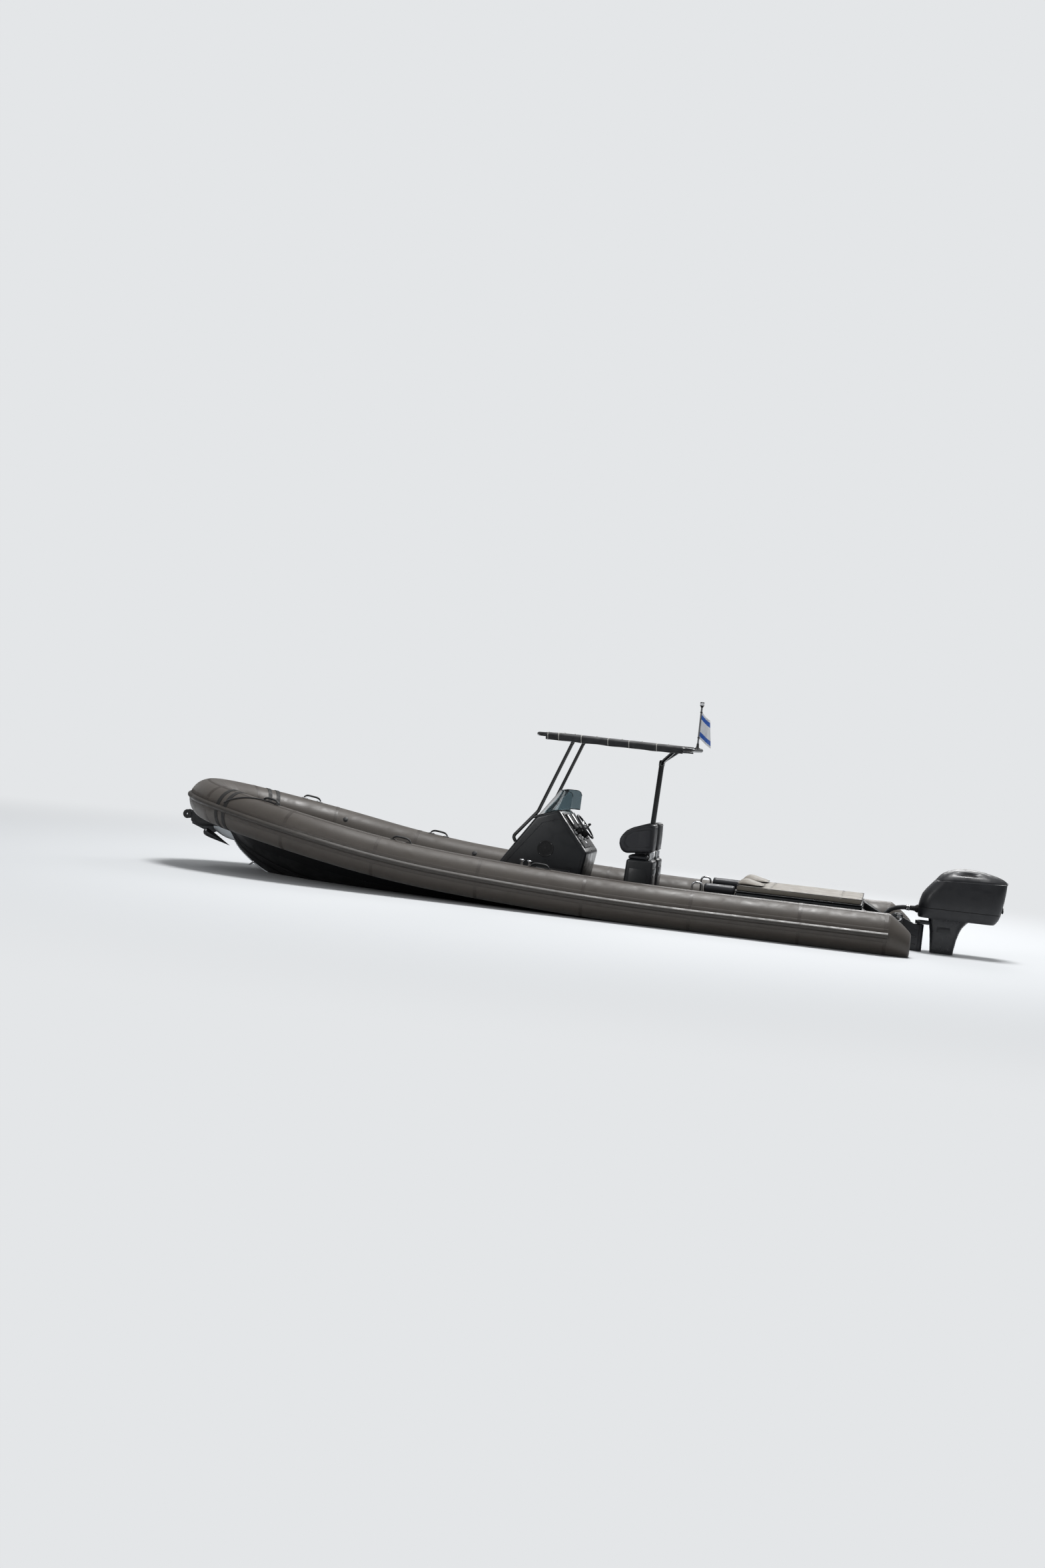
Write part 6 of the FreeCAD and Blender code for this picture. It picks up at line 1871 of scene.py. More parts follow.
@dataclass
class BowGear:
    """The bow's nose moulding, anchor roller, anchor, stem plate, tow eye and rope lashing."""

    roller: tuple[float, float] = (4.690, 0.628)
    roller_radius: float = 0.042
    groove: float = 0.014
    disc_place: float = 0.0485
    # Distance off the cheek and radius of the round cover on the roller's pin
    disc_profile: Pairs = (
        (-0.0015, 0.028), (-0.0015, 0.054), (0.001, 0.0575), (0.005, 0.058), (0.0085, 0.054),
        (0.010, 0.046), (0.0095, 0.030), (0.006, 0.026))
    nose_half: float = 0.075
    # Offsets from the roller's pin of the nose moulding's side
    nose_outline: Pairs = (
        (-0.56, -0.11), (-0.19, -0.12), (-0.05, -0.092), (-0.06, 0.06), (-0.3, 0.12))
    # Station, lowest level and half width of each section of the stem plate
    plate_rows: Rows = (
        (4.045, 0.355, 0.016), (4.10, 0.362, 0.030), (4.16, 0.378, 0.040), (4.22, 0.402, 0.046),
        (4.28, 0.432, 0.050), (4.33, 0.470, 0.052))
    plate_top: float = 0.52
    band_stations: tuple[float, float] = (7.9, 8.4)
    bar_radius: float = 0.0085
    heel: tuple[float, float, float] = (4.425, 0.0, 0.447)
    heel_half: float = 0.045
    heel_radius: float = 0.024
    fluke_heading: tuple[float, float, float] = (0.916, 0.0, 0.400)
    fluke_profile: Pairs = (
        (-0.350, 0.001), (-0.30, 0.009), (-0.22, 0.021), (-0.14, 0.034), (-0.08, 0.043), (-0.03, 0.048),
        (0.005, 0.047), (0.026, 0.038), (0.038, 0.023), (0.043, 0.006))
    rope_angles: tuple[float, float] = (math.radians(28.6), math.radians(17.6))
    knot_profile: Pairs = (
        (-0.006, 0.004), (-0.004, 0.013), (0.008, 0.014), (0.016, 0.011), (0.02, 0.0085))

    def build(self) -> None:
        """Builds every piece of the bow gear."""
        self.nose()
        self.roller_gear()
        self.anchor()
        refined("tow_eye", "bow_tow_eye", (STAINLESS,), "hull", 0.001, 44)
        self.stem_band()
        self.lashing()

    def nose(self) -> None:
        """The rounded nose moulding under the tubes, and the polished stem plate behind the anchor."""
        maker = Maker("bow_nose_moulding", NYLON)
        outline = [(self.roller[0] + x, self.roller[1] + z) for x, z in self.nose_outline]
        maker.prism(outline, -self.nose_half, self.nose_half, "y", 0.03, 0, 5)
        maker.finished("hull", ("nose_moulding",), crease=50)
        plate = Maker("brushed_stem_plate", BRUSHED_PLATE)
        rings = []
        for x, low, wide in self.plate_rows:
            ring = []
            for number in range(13):
                across = number / 12 * 2 - 1
                ring.append(Vector((x, across * wide, low + (self.plate_top - low) * abs(across) ** 1.8)))
            rings.append(ring + [Vector((x, across * wide, self.plate_top + 0.001))
                                 for across in (0.6, -0.6)])
        plate.rings(rings)
        plate.finished("hull", crease=40)

    def stem_band(self) -> None:
        """The half-round guard up the stem, from the waterline to the stem plate."""
        hull = DeepHull()
        line = []
        first, last = self.band_stations
        for step in range(41):
            station = first + (last - first) * step / 40
            line.append(Vector((hull.transom_x + station, 0, hull.row_at(station)[0] - 0.001)))
        maker = Maker("stem_guard_band", BRUSHED_PLATE)
        maker.tube(line, self.bar_radius, 0, 12)
        maker.finished("hull", crease=50)

    def roller_gear(self) -> None:
        """The grooved roller, and the bracket's cheeks with the pin's nuts."""
        maker = Maker("grooved_roller", NYLON)
        axis = Vector((self.roller[0], 0, self.roller[1]))
        wide, deep = self.roller_radius, self.roller_radius - self.groove
        profile = [(-0.0395, 0.006), (-0.0395, wide - 0.003), (-0.037, wide), (-0.03, wide),
                   (-0.022, wide - 0.004),
                   (-0.010, deep + 0.002), (0.0, deep), (0.010, deep + 0.002), (0.022, wide - 0.004),
                   (0.03, wide),
                   (0.037, wide), (0.0395, wide - 0.003), (0.0395, 0.006)]
        maker.lathe(profile, axis, PORTWARD, 0, 40)
        maker.finished("bow_roller", ("anchor_roller",), crease=40)
        refined("roller_bracket", "roller_cheek_bracket", (GALVANISED,), "hull", 0.003, 40)
        nuts = Maker("roller_pin_nuts", STAINLESS, NYLON)
        for side in (-1, 1):
            start = axis + PORTWARD * (side * self.disc_place)
            nuts.lathe(self.disc_profile, start, PORTWARD * side, 1, 44)
            nuts.cylinder(start, start + PORTWARD * (side * 0.003), 0.013, 0, steps=24)
            nuts.cylinder(start + PORTWARD * (side * 0.003), start + PORTWARD * (side * 0.008), 0.010, 0,
                          steps=6,
                          round_by=0.001)
        nuts.finished("hull", crease=30)

    def anchor(self) -> None:
        """The forged anchor with its bulbous fluke, and the crown's pin with its nuts."""
        refined("anchor", "forged_anchor", (GALVANISED,), "hull", 0.006, 40)
        maker = Maker("anchor_crown", GALVANISED, STAINLESS)
        heel, half, radius = Vector(self.heel), self.heel_half, self.heel_radius
        maker.cylinder(heel - PORTWARD * half, heel + PORTWARD * half, radius, 0, steps=28, round_by=0.008)
        maker.lathe(self.fluke_profile, heel - UP * radius, self.fluke_heading, 0, 32)
        for side in (-1, 1):
            start = heel + PORTWARD * (side * half)
            maker.cylinder(start, start + PORTWARD * (side * 0.006), 0.010, 1, steps=6, round_by=0.001)
        maker.finished("hull", crease=44)

    def lashing(self) -> None:
        """The rope lashing from the shoulder bands up to the foremost port handle."""
        maker = Maker("bow_strap", ROPE)
        rows, start, collar = SHEER.line(), SHEER.bow_run(), TubeCollar()
        first, last = (start + SHEER.long_radius * angle for angle in self.rope_angles)
        line = []
        for step in range(36):
            share = step / 35
            place, out, up, _ = collar.at(rows, first + (last - first) * share ** 1.15)
            turn = math.radians(20 + 66 * math.sin(share * math.pi / 2))
            reach = SHEER.tube_radius + 0.0045 + 0.004 * math.sin(share * math.pi)
            line.append(place + out * (math.cos(turn) * reach) + up * (math.sin(turn) * reach))
        maker.tube(line, self.bar_radius, 0, 10)
        for place, heading in ((line[0], line[1] - line[0]), (line[-1], line[-2] - line[-1])):
            maker.lathe(self.knot_profile, place, heading, 0, 14)
        maker.finished("hull", crease=50)


@dataclass
class Canopy:
    """The canopy's tube frame, laced cloth, mast, light staff and flag."""

    hoop_front: float = 0.17
    hoop_back: float = -1.74
    hoop_half: float = 0.75
    hoop_level: float = 2.15
    hoop_corner: float = 0.16
    hoop_radius: float = 0.0245
    bars: tuple[float, ...] = (-0.27, -1.53)
    bar_radius: float = 0.021
    leg_half: float = 0.518
    leg_radius: float = 0.021
    brace_radius: float = 0.017
    mast_radius: float = 0.032
    fork_radius: float = 0.022
    cloth: tuple[float, float] = (-1.63, 0.06)
    cloth_thick: float = 0.0012
    staff_x: float = -1.74
    staff_radius: float = 0.011
    legs: Pairs = ((0.332, 0.79), (0.37, 0.85), (0.09, 1.195), (-0.27, 2.15))
    flag_outline: Pairs = ((-1.7513, 2.63), (-1.7513, 2.30), (-1.90, 2.19), (-1.86, 2.54))
    weld_profile: Pairs = (
        (-0.004, 0.0208), (-0.001, 0.0232), (0.002, 0.0235), (0.006, 0.0208))
    collar_profile: Pairs = (
        (-0.03, 0.0208), (-0.027, 0.0232), (0.027, 0.0232), (0.03, 0.0208))
    leg_slope: tuple[float, float] = (-0.558, 0.830)
    brace: Pairs = ((0.08, 1.14), (0.16, 1.109))
    foot_plate: tuple[float, float, float] = (0.115, 0.050, 0.007)
    foot_bolts: float = 0.045
    mast_foot: tuple[float, float, float] = (-1.25, 0.0, 0.054)
    mast_head: tuple[float, float, float] = (-1.32, 0.0, 1.94)
    mast_cap: Pairs = (
        (-0.035, 0.032), (-0.028, 0.0365), (0.02, 0.0365), (0.032, 0.033), (0.040, 0.026), (0.044, 0.001))
    mast_flange: Pairs = (
        (-0.004, 0.0635), (0.004, 0.0635), (0.007, 0.060), (0.0085, 0.042), (0.018, 0.037), (0.03, 0.0330))
    mast_cuff: Pairs = ((0.0, 0.036), (0.012, 0.0365), (0.02, 0.0355), (0.03, 0.033))
    # Offsets from the side tube's middle of the cloth's way round it, and the height of its flat
    sleeve: Pairs = (
        (-0.040, -0.034), (-0.026, -0.050), (-0.006, -0.057), (0.013, -0.052), (0.025, -0.036),
        (0.0305, -0.014), (0.0305, 0.006), (0.0255, 0.019), (0.014, 0.0275), (0.0, 0.0300), (-0.018, 0.0298))
    hem_section: Pairs = (
        (-0.012, 0.0004), (-0.011, 0.0019), (0.011, 0.0019), (0.012, 0.0004), (0.012, -0.0017),
        (-0.012, -0.0017))
    eyelet: Pairs = (
        (-0.001, 0.0095), (0.0005, 0.0095), (0.0012, 0.0085), (0.0012, 0.0052), (0.0, 0.005))
    tie_knot: Pairs = ((-0.006, 0.002), (-0.003, 0.0062), (0.002, 0.0068), (0.006, 0.003))
    # Level, finish and profile of each turned part on the staff
    staff_parts: tuple[tuple[float, int, tuple[tuple[float, float], ...]], ...] = (
        (2.1755, 1, ((0.0, 0.033), (0.005, 0.033), (0.008, 0.030), (0.012, 0.02), (0.03, 0.0165),
                     (0.06, 0.0145),
                     (0.065, 0.011))),
        (2.707, 1, ((-0.02, 0.0125), (-0.012, 0.016), (0.0, 0.0235), (0.004, 0.027), (0.008, 0.027))),
        (2.715, 2, ((0.0, 0.0255), (0.004, 0.0262), (0.012, 0.0258), (0.018, 0.0262), (0.024, 0.0255),
                    (0.031, 0.024))),
        (2.7455, 1, ((0.0, 0.0272), (0.004, 0.0275), (0.009, 0.024), (0.0125, 0.014), (0.013, 0.001))))
    clip_levels: tuple[float, float] = (2.63, 2.31)
    flag_bars: tuple[tuple[int, int], ...] = ((3, 9), (25, 31))
    flag_thick: float = 0.0006
    lace_places: tuple[float, ...] = (0.035, -0.1, -0.38, -0.71, -0.97, -1.31)

    def build(self) -> None:
        """Builds every piece of the canopy."""
        self.hoop()
        self.leg_pair()
        self.mast()
        self.sheet()
        self.staff()
        self.flag()

    def hoop(self) -> None:
        """The canopy's closed hoop with its cross bars and welds."""
        maker = Maker("canopy_hoop_tube", POWDER_COAT, STAINLESS)
        front, back, half, level = self.hoop_front, self.hoop_back, self.hoop_half, self.hoop_level
        loop = rounded_line([(front, -half, level), (front, half, level), (back, half, level),
                             (back, -half, level)],
                            self.hoop_corner, 12, looped=True)
        dense = []
        for number, point in enumerate(loop):
            after = loop[(number + 1) % len(loop)]
            steps = max(1, round((after - point).length / 0.06))
            dense += [point.lerp(after, part / steps) for part in range(steps)]
        maker.tube(dense, self.hoop_radius, 0, 24, looped=True)
        for x in self.bars:
            maker.cylinder((x, -half, level), (x, half, level), self.bar_radius, 0, steps=24)
            for side in (-1, 1):
                maker.lathe(self.weld_profile, (x, side * (half - 0.024), level), PORTWARD * -side, 0, 24)
        maker.finished("hull", ("canopy_hoop",), crease=40)

    def leg_pair(self) -> None:
        """The front legs with their standoff braces, foot plates and bolts."""
        heads = []
        slope_up = Vector((self.leg_slope[0], 0, self.leg_slope[1]))
        slope_out = Vector((self.leg_slope[1], 0, -self.leg_slope[0]))
        turn = Matrix((slope_up, PORTWARD, slope_up.cross(PORTWARD))).transposed()
        for side, sign in SIDES:
            maker = Maker("canopy_front_leg_" + side, POWDER_COAT, STAINLESS)
            y = sign * self.leg_half
            corners = [Vector((x, y, z)) for x, z in self.legs]
            maker.tube(resampled(rounded_line(corners, 0.10, 10), 90), self.leg_radius, 0, 22)
            start, end = (Vector((x, y, z)) for x, z in self.brace)
            maker.cylinder(start, end, self.brace_radius, 0, steps=20)
            rise = corners[3] - corners[2]
            maker.lathe(self.collar_profile, corners[3] - rise.normalized() * 0.06, rise, 0, 22)
            plate = corners[0] + slope_up * 0.018
            maker.box(plate - slope_out * 0.005, self.foot_plate, 0.003, 0, turn)
            for along in (-self.foot_bolts, self.foot_bolts):
                heads.append((plate - slope_out * 0.0005 + slope_up * along, slope_out))
            maker.finished("hull", ("canopy_leg_" + side,), crease=44)
        Repeat(Repeated.SCREW, STAINLESS, 0.0065, 0.0035).at("leg_foot_bolts", heads, "hull")

    def mast(self) -> None:
        """The rear mast on its flange, forking to the rear cross bar."""
        maker = Maker("canopy_mast_fork", POWDER_COAT, STAINLESS, GASKET_AND_PAINTED_SHADE)
        foot, head = Vector(self.mast_foot), Vector(self.mast_head)
        maker.tube(resampled([foot, head], 40), self.mast_radius, 0, 26)
        for side in (-1, 1):
            line = rounded_line([head - (head - foot).normalized() * 0.03,
                                 head + Vector((-0.02, side * 0.05, 0.035)),
                                 Vector((-1.53, side * 0.38, self.hoop_level))], 0.09, 8)
            maker.tube(resampled(line, 44), self.fork_radius, 0, 22)
        maker.lathe(self.mast_cap, head, head - foot, 0, 28)
        maker.lathe(self.mast_flange, foot, UP, 0, 40)
        maker.lathe(self.mast_cuff, Vector((-1.289, 0, 1.10)), head - foot, 0, 28)
        maker.finished("hull", ("canopy_mast",), crease=44)
        heads = [(foot + Vector((math.cos(turn) * 0.052, math.sin(turn) * 0.052, 0.0078)), UP)
                 for turn in (math.tau * (number + 0.5) / 6 for number in range(6))]
        Repeat(Repeated.SCREW, STAINLESS, 0.006, 0.0045).at("mast_flange_bolts", heads, "hull")

    def across_path(self) -> list[tuple[float, float]]:
        """The cloth's way across the canopy, as offsets: round both side tubes and over the top.

        Returns:
            Pairs of distance to port and height over the hoop's centre line.
        """
        port = [(self.hoop_half + out, high) for out, high in self.sleeve]
        flat_half = self.hoop_half + self.sleeve[-1][0]
        middle = [(flat_half - 2 * flat_half * step / 40, self.sleeve[-1][1]) for step in range(1, 40)]
        return port + middle + [(-across, high) for across, high in reversed(port)]

    def sheet(self) -> None:
        """The canopy cloth, sleeved round the side tubes and stretched over the bars."""
        back, front = self.cloth
        columns = 72
        path = self.across_path()
        ribs = (front, *self.bars, back)
        places = []
        for across, high in path:
            edge = 1 - min(abs(across) / self.hoop_half, 1.0)
            for column in range(columns + 1):
                x = back + (front - back) * column / columns
                below = max(rib for rib in ribs if rib <= x + 1e-6)
                gap = min(rib for rib in ribs if rib >= x - 1e-6) - below
                sag = math.sin(math.pi * (x - below) / gap) if gap > 0.02 else 0.0
                z = self.hoop_level + high - 0.014 * sag * min(edge * 2.2, 1.0) ** 1.5 * min(gap, 1.0)
                z += 0.0022 * noise.noise(Vector((x * 5, across * 4, 2.0)))
                hang = 0.006 * noise.noise(Vector((x * 6, 3.0, 0.0))) if high < -0.03 else 0.0
                places.append(Vector((x, across, z + hang)))
        rows = len(path) - 1
        width = columns + 1
        maker = Maker("canopy_fabric_sheet", CANOPY_FABRIC)
        maker.faces(places, grid(rows, columns))
        data = as_data(maker.mesh, "canopy_fabric_sheet")
        made = settled("canopy_fabric_sheet", thickened(data, self.cloth_thick), (CANOPY_FABRIC,), "hull",
                       ("canopy_cloth",), 60)
        hem = Maker("canopy_hem", CANOPY_FABRIC)
        for column, sign in ((0, -1), (columns, 1)):
            line = [places[row * width + column] - FORWARD * (sign * 0.013) for row in range(10, rows - 9)]
            hem.rings([[point + Vector((out, 0, high)) for out, high in self.hem_section]
                       for point in line])
        hem_piece = hem.finished("hull", crease=60)
        lace = self.lacing()
        seams = []
        for row in (9, rows - 9):
            for shift in (0.0, -0.008):
                seams.append([place + UP * 0.0012 + PORTWARD * math.copysign(shift, place.y)
                              for place in places[row * width:(row + 1) * width]])
        for x in (bar + off for bar in self.bars for off in (0.03, -0.03)):
            column = round((x - back) / (front - back) * columns)
            seams.append([places[row * width + column] + UP * 0.0010 for row in range(10, rows - 9)])
        stitch = Repeat(Repeated.STITCH, THREAD, 0.0008, 0.0065, 0.0095)
        threads = stitch.along("canopy_stitching", seams, "hull")

    def lacing(self) -> bpy.types.Object:
        """The eyelets in the sleeve's edge and the light cords that tie it round the side tubes.

        Returns:
            The piece.
        """
        maker = Maker("canopy_lacing", CORD_WHITE, STAINLESS)
        section = self.across_path()[:len(self.sleeve)]
        for side in (-1, 1):
            for x in self.lace_places:
                eye = Vector((x, side * (self.hoop_half - 0.034), self.hoop_level + 0.0312))
                maker.lathe(self.eyelet, eye, UP, 1, 20)
                middle = Vector((x, side * (self.hoop_half - 0.004), self.hoop_level - 0.012))
                loop = []
                for number, (across, high) in enumerate(section):
                    point = Vector((x, side * across, self.hoop_level + high))
                    point += (point - middle).normalized() * 0.0032
                    loop.append(point + FORWARD * (0.018 * number / 10 - 0.009))
                loop.append(eye + UP * 0.001)
                maker.tube(resampled(spline_line("tie", loop), 40), 0.0030, 0, 8)
                maker.lathe(self.tie_knot, loop[-1] + UP * 0.003, Vector((0.3, side * 0.9, 0.3)), 0, 12)
        return maker.finished("hull", crease=50)

    def staff(self) -> None:
        """The staff with its base, blank lamp head and flag clips."""
        maker = Maker("light_staff_pole", STAINLESS, NYLON, LENS)
        x = self.staff_x
        for number, (level, finish, profile) in enumerate(self.staff_parts):
            maker.lathe(profile, (x, 0, level), UP, finish, 32)
            if number == 0:
                maker.cylinder((x, 0, 2.18), (x, 0, 2.716), self.staff_radius, 0, steps=20)
        for level in self.clip_levels:
            maker.lathe([(-0.006, 0.0112), (-0.006, 0.0155), (0.006, 0.0155), (0.006, 0.0112)],
                        (x, 0, level), UP, 1, 20)
        maker.finished("hull", ("light_staff",), crease=40)

    def flag(self) -> None:
        """The small hanging flag with two bars of colour, folded on itself in the still air."""
        top_hoist, low_hoist, low_fly, top_fly = (Vector((x, 0, z)) for x, z in self.flag_outline)
        rows, columns = 34, 26
        places = []
        for row in range(rows + 1):
            share = row / rows
            hoist = top_hoist.lerp(low_hoist, share)
            fly = top_fly.lerp(low_fly, share)
            for column in range(columns + 1):
                out = column / columns
                place = hoist.lerp(fly, out)
                fold = (0.012 + 0.03 * share) * out ** 0.7 * math.sin(out * 9.0 + share * 2.4)
                drop = 0.012 * math.sin(out * math.pi) * (1 - share)
                places.append(place + PORTWARD * fold - UP * drop)
        maker = Maker("hanging_flag", FLAG_BLUE, FLAG_WHITE)
        for row in range(rows):
            barred = any(first <= row < last for first, last in self.flag_bars)
            maker.faces(places, grid(1, columns, row), 0 if barred else 1)
        loose = [vert for vert in maker.mesh.verts if not vert.link_faces]
        bmesh.ops.delete(maker.mesh, geom=loose, context="VERTS")
        bmesh.ops.remove_doubles(maker.mesh, verts=maker.mesh.verts, dist=1e-6)
        area = sum(face.calc_area() for face in maker.mesh.faces)
        data = as_data(maker.mesh, "hanging_flag")
        made = settled("hanging_flag", thickened(data, self.flag_thick), (FLAG_BLUE, FLAG_WHITE), "hull",
                       ("flag",), 60)


@dataclass
class Console:
    """The helm console with its panel, displays, controls, wheel, speakers and windscreen."""

    half: float = 0.55
    rounding: float = 0.034
    slope: tuple[float, float] = (-0.558, 0.830)
    dash: tuple[float, float] = (0.6347, 0.7727)
    dash_top: tuple[float, float] = (-0.17, 1.23)
    brow: tuple[float, float] = (0.10, 1.135)
    wheel_centre: tuple[float, float, float] = (-0.4799, 0.25, 1.0575)
    wheel_radius: float = 0.18
    wheel_rim: float = 0.014
    screen_half: float = 0.475
    screen_top_half: float = 0.405
    screen_height: float = 0.41
    wing: float = 0.395
    top_wing: float = 0.184
    screen_bend: float = 0.08
    screen_thick: float = 0.008
    speaker: tuple[float, float, float] = (-0.055, 0.745, 0.104)
    hole_pitch: float = 0.0095
    # Corners of the moulded line in each side
    side_line: Pairs = (
        (0.02, 1.06), (-0.20, 1.135), (-0.525, 0.74), (-0.43, 0.16), (0.70, 0.16))
    door: tuple[float, float, float] = (0.465, 0.0, 0.5925)
    side_screws: Pairs = (
        (-0.335, 0.225), (-0.38, 0.495), (-0.17, 0.497), (0.022, 0.497), (0.165, 0.225), (-0.09, 0.222))
    gauges: Pairs = ((0.10, 0.335), (0.10, 0.42), (0.385, 0.335), (0.385, 0.42))
    gauge_rim: Pairs = (
        (0.0, 0.035), (0.004, 0.035), (0.007, 0.033), (0.0075, 0.029), (0.0045, 0.0285))
    helm_boss: Pairs = (
        (0.0, 0.038), (0.05, 0.038), (0.066, 0.034), (0.078, 0.026), (0.078, 0.012), (0.04, 0.011))
    wheel_hub: Pairs = (
        (-0.0385, 0.02), (-0.03, 0.026), (-0.008, 0.030), (0.0, 0.0335), (0.006, 0.0335), (0.012, 0.030),
        (0.018, 0.022), (0.020, 0.012), (0.0205, 0.001))
    outline: Pairs = ((0.83, 0.05), (0.10, 1.135), (-0.17, 1.23), (-0.57, 0.743), (-0.46, 0.05))
    # Toe kick, drawn as a thin near-black strip of painted shade at the foot: middle and extent
    kick: tuple[tuple[float, float, float], ...] = ((0.17, 0, 0.058), (1.27, 1.05, 0.012))
    # Layers of the front door: distance off its middle, extent, rounding, finish and steps
    door_layers: tuple[tuple[float, tuple[float, float, float], float, int, int], ...] = (
        (0.0, (0.66, 0.62, 0.016), 0.007, 0, 3), (-0.0042, (0.675, 0.635, 0.006), 0.0025, 2, 2),
        (0.009, (0.54, 0.50, 0.006), 0.0028, 0, 2))
    door_hinge_up: float = 0.335
    door_latch_down: float = 0.285
    door_fitting_across: tuple[float, ...] = (-0.2, 0.2)
    door_screws_up: tuple[float, ...] = (0.29, 0, -0.29)
    door_screws_across: tuple[float, ...] = (-0.27, 0.27)
    # Corners of the side panel's seal and of its cover, and where its latch is
    side_seal: Pairs = ((-0.36, 0.20), (-0.405, 0.52), (-0.18, 0.52), (0.04, 0.52), (0.20, 0.20))
    side_cover: Pairs = ((-0.352, 0.207), (-0.396, 0.513), (0.037, 0.513), (0.189, 0.207))
    side_latch: tuple[float, float] = (-0.36, 0.37)
    # Rocker switches: place down the dash and across it, and the steps between them
    switch_start: tuple[float, float] = (0.37, -0.355)
    switch_step: tuple[float, float] = (0.062, 0.04)
    switch_lean: float = 0.22
    helm_down: float = 0.33
    gauge_glass: Pairs = ((0.0, 0.0285), (0.0052, 0.0285), (0.0056, 0.001))
    key_switch: Pairs = ((0.0, 0.026), (0.006, 0.026), (0.0085, 0.02), (0.009, 0.001))
    key_place: tuple[float, float] = (0.50, 0.10)
    # The fascia's screws: rows down the dash with their places across it
    fascia_screws: tuple[tuple[float, tuple[float, ...]], ...] = (
        (0.055, (-0.405, -0.14, 0.14, 0.405)), (0.545, (-0.405, -0.14, 0.14, 0.405)),
        (0.30, (-0.405, 0.405)))
    display_across: tuple[float, ...] = (-0.21, 0.19)
    display_down: float = 0.1775
    # Keys of a display: the first one's place up it, the step down and the place across
    display_keys: tuple[float, float, float] = (0.062, 0.031, 0.148)
    throttle_place: tuple[float, float] = (0.365, -0.06)
    lever_hub: Pairs = ((0.0, 0.030), (0.006, 0.030), (0.011, 0.027), (0.012, 0.001))
    lever_length: float = 0.115
    grip_half: float = 0.043
    grip_groove: Pairs = ((-0.0014, 0.0154), (-0.0008, 0.0164), (0.0008, 0.0164), (0.0014, 0.0154))
    groove_start: float = 0.03
    groove_step: float = 0.0075
    hub_cap: Pairs = ((0.0195, 0.019), (0.022, 0.0185), (0.0245, 0.015), (0.025, 0.001))
    # The wheel's spokes: shares of their length, where they start and how far the hub is set back
    spoke_shares: tuple[float, ...] = (0.0, 0.15, 0.5, 0.85, 1.0)
    spoke_start: float = 0.026
    hub_depth: float = 0.012
    grille_boss: Pairs = ((0.0, 0.016), (0.0068, 0.016), (0.0078, 0.012), (0.008, 0.001))

    def __post_init__(self) -> None:
        """Works out the sloping directions."""
        self.slope_up = Vector((self.slope[0], 0, self.slope[1]))
        self.slope_out = Vector((self.slope[1], 0, -self.slope[0]))
        self.dash_up = Vector((self.dash[0], 0, self.dash[1]))
        self.dash_out = Vector((-self.dash[1], 0, self.dash[0]))

    def build(self) -> None:
        """Builds every piece of the console."""
        self.shell()
        self.doors()
        self.panel()
        self.displays()
        self.throttle()
        self.wheel()
        self.speakers()
        self.windscreen()
        self.rails()

    def on_dash(self, down: float, across: float, out: float = 0.0) -> Vector:
        """A place on the sloping dash.

        Args:
            down: Distance down the dash from its top edge.
            across: Distance to port.
            out: Height over the dash.

        Returns:
            The place.
        """
        top = Vector((self.dash_top[0], across, self.dash_top[1]))
        return top - self.dash_up * down + self.dash_out * out

    def dash_turn(self) -> Matrix:
        """The turn that lays a fitting on the dash: x up the slope, y across, z out of it."""
        return Matrix((self.dash_up, PORTWARD, self.dash_out)).transposed()

    def shell(self) -> None:
        """The moulded console with a toe kick of painted shade at its foot, soft corners and a moulded line
        in each side.
        """
        maker = Maker("console_moulding", PAINTED_MOULDING, GASKET_AND_PAINTED_SHADE)
        maker.prism(self.outline, -self.half, self.half, "y", self.rounding, 0, 4)
        for side in (-1, 1):
            line = [Vector((x, side * (self.half + 0.0004), z)) for x, z in self.side_line]
            for first, last in zip(line, line[1:] + line[:1]):
                maker.cylinder(first, last, 0.0032, 0, steps=10)
        # A thin near-black strip in the crease at the foot: painted shade for the toe kick.
        maker.box(*self.kick, 0.004, 1)
        maker.finished("hull", ("console",), crease=30)

    def doors(self) -> None:
        """The front locker door with its hinges and latches, and the side access panel."""
        maker = Maker("console_front_door", PAINTED_MOULDING, STAINLESS, GASKET_AND_PAINTED_SHADE)
        middle = Vector(self.door) + self.slope_out * 0.005
        turn = Matrix((self.slope_up, PORTWARD, self.slope_up.cross(PORTWARD))).transposed()
        for off, extent, round_by, finish, steps in self.door_layers:
            maker.box(middle + self.slope_out * off, extent, round_by, finish, turn, steps)
        for across in self.door_fitting_across:
            place = middle + self.slope_up * self.door_hinge_up + PORTWARD * across + self.slope_out * 0.006
            maker.cylinder(place - PORTWARD * 0.035, place + PORTWARD * 0.035, 0.006, 1, steps=16,
                           round_by=0.001)
            maker.box(place - self.slope_up * 0.018 + self.slope_out * 0.002, (0.034, 0.06, 0.003), 0.001,
                      1, turn)
            latch = middle - self.slope_up * self.door_latch_down + PORTWARD * across
            latch += self.slope_out * 0.011
            maker.lathe(button(0.021), latch, self.slope_out, 1, 24)
            maker.box(latch + self.slope_out * 0.007, (0.034, 0.007, 0.006), 0.0022, 1, turn)
        maker.finished("hull", crease=36)
        side = Maker("console_side_panels", PAINTED_MOULDING, STAINLESS, GASKET_AND_PAINTED_SHADE)
        side.prism(self.side_seal, self.half - 0.002, self.half + 0.0035, "y", 0.0018, 2, 2)
        side.prism(self.side_cover, self.half, self.half + 0.007, "y", 0.0028, 0, 3)
        ahead, above = self.side_latch
        side.lathe(button(0.017), (ahead, self.half + 0.006, above), PORTWARD, 1, 24)
        side.mirrored()
        side.finished("hull", crease=36)
        heads = []
        for up in self.door_screws_up:
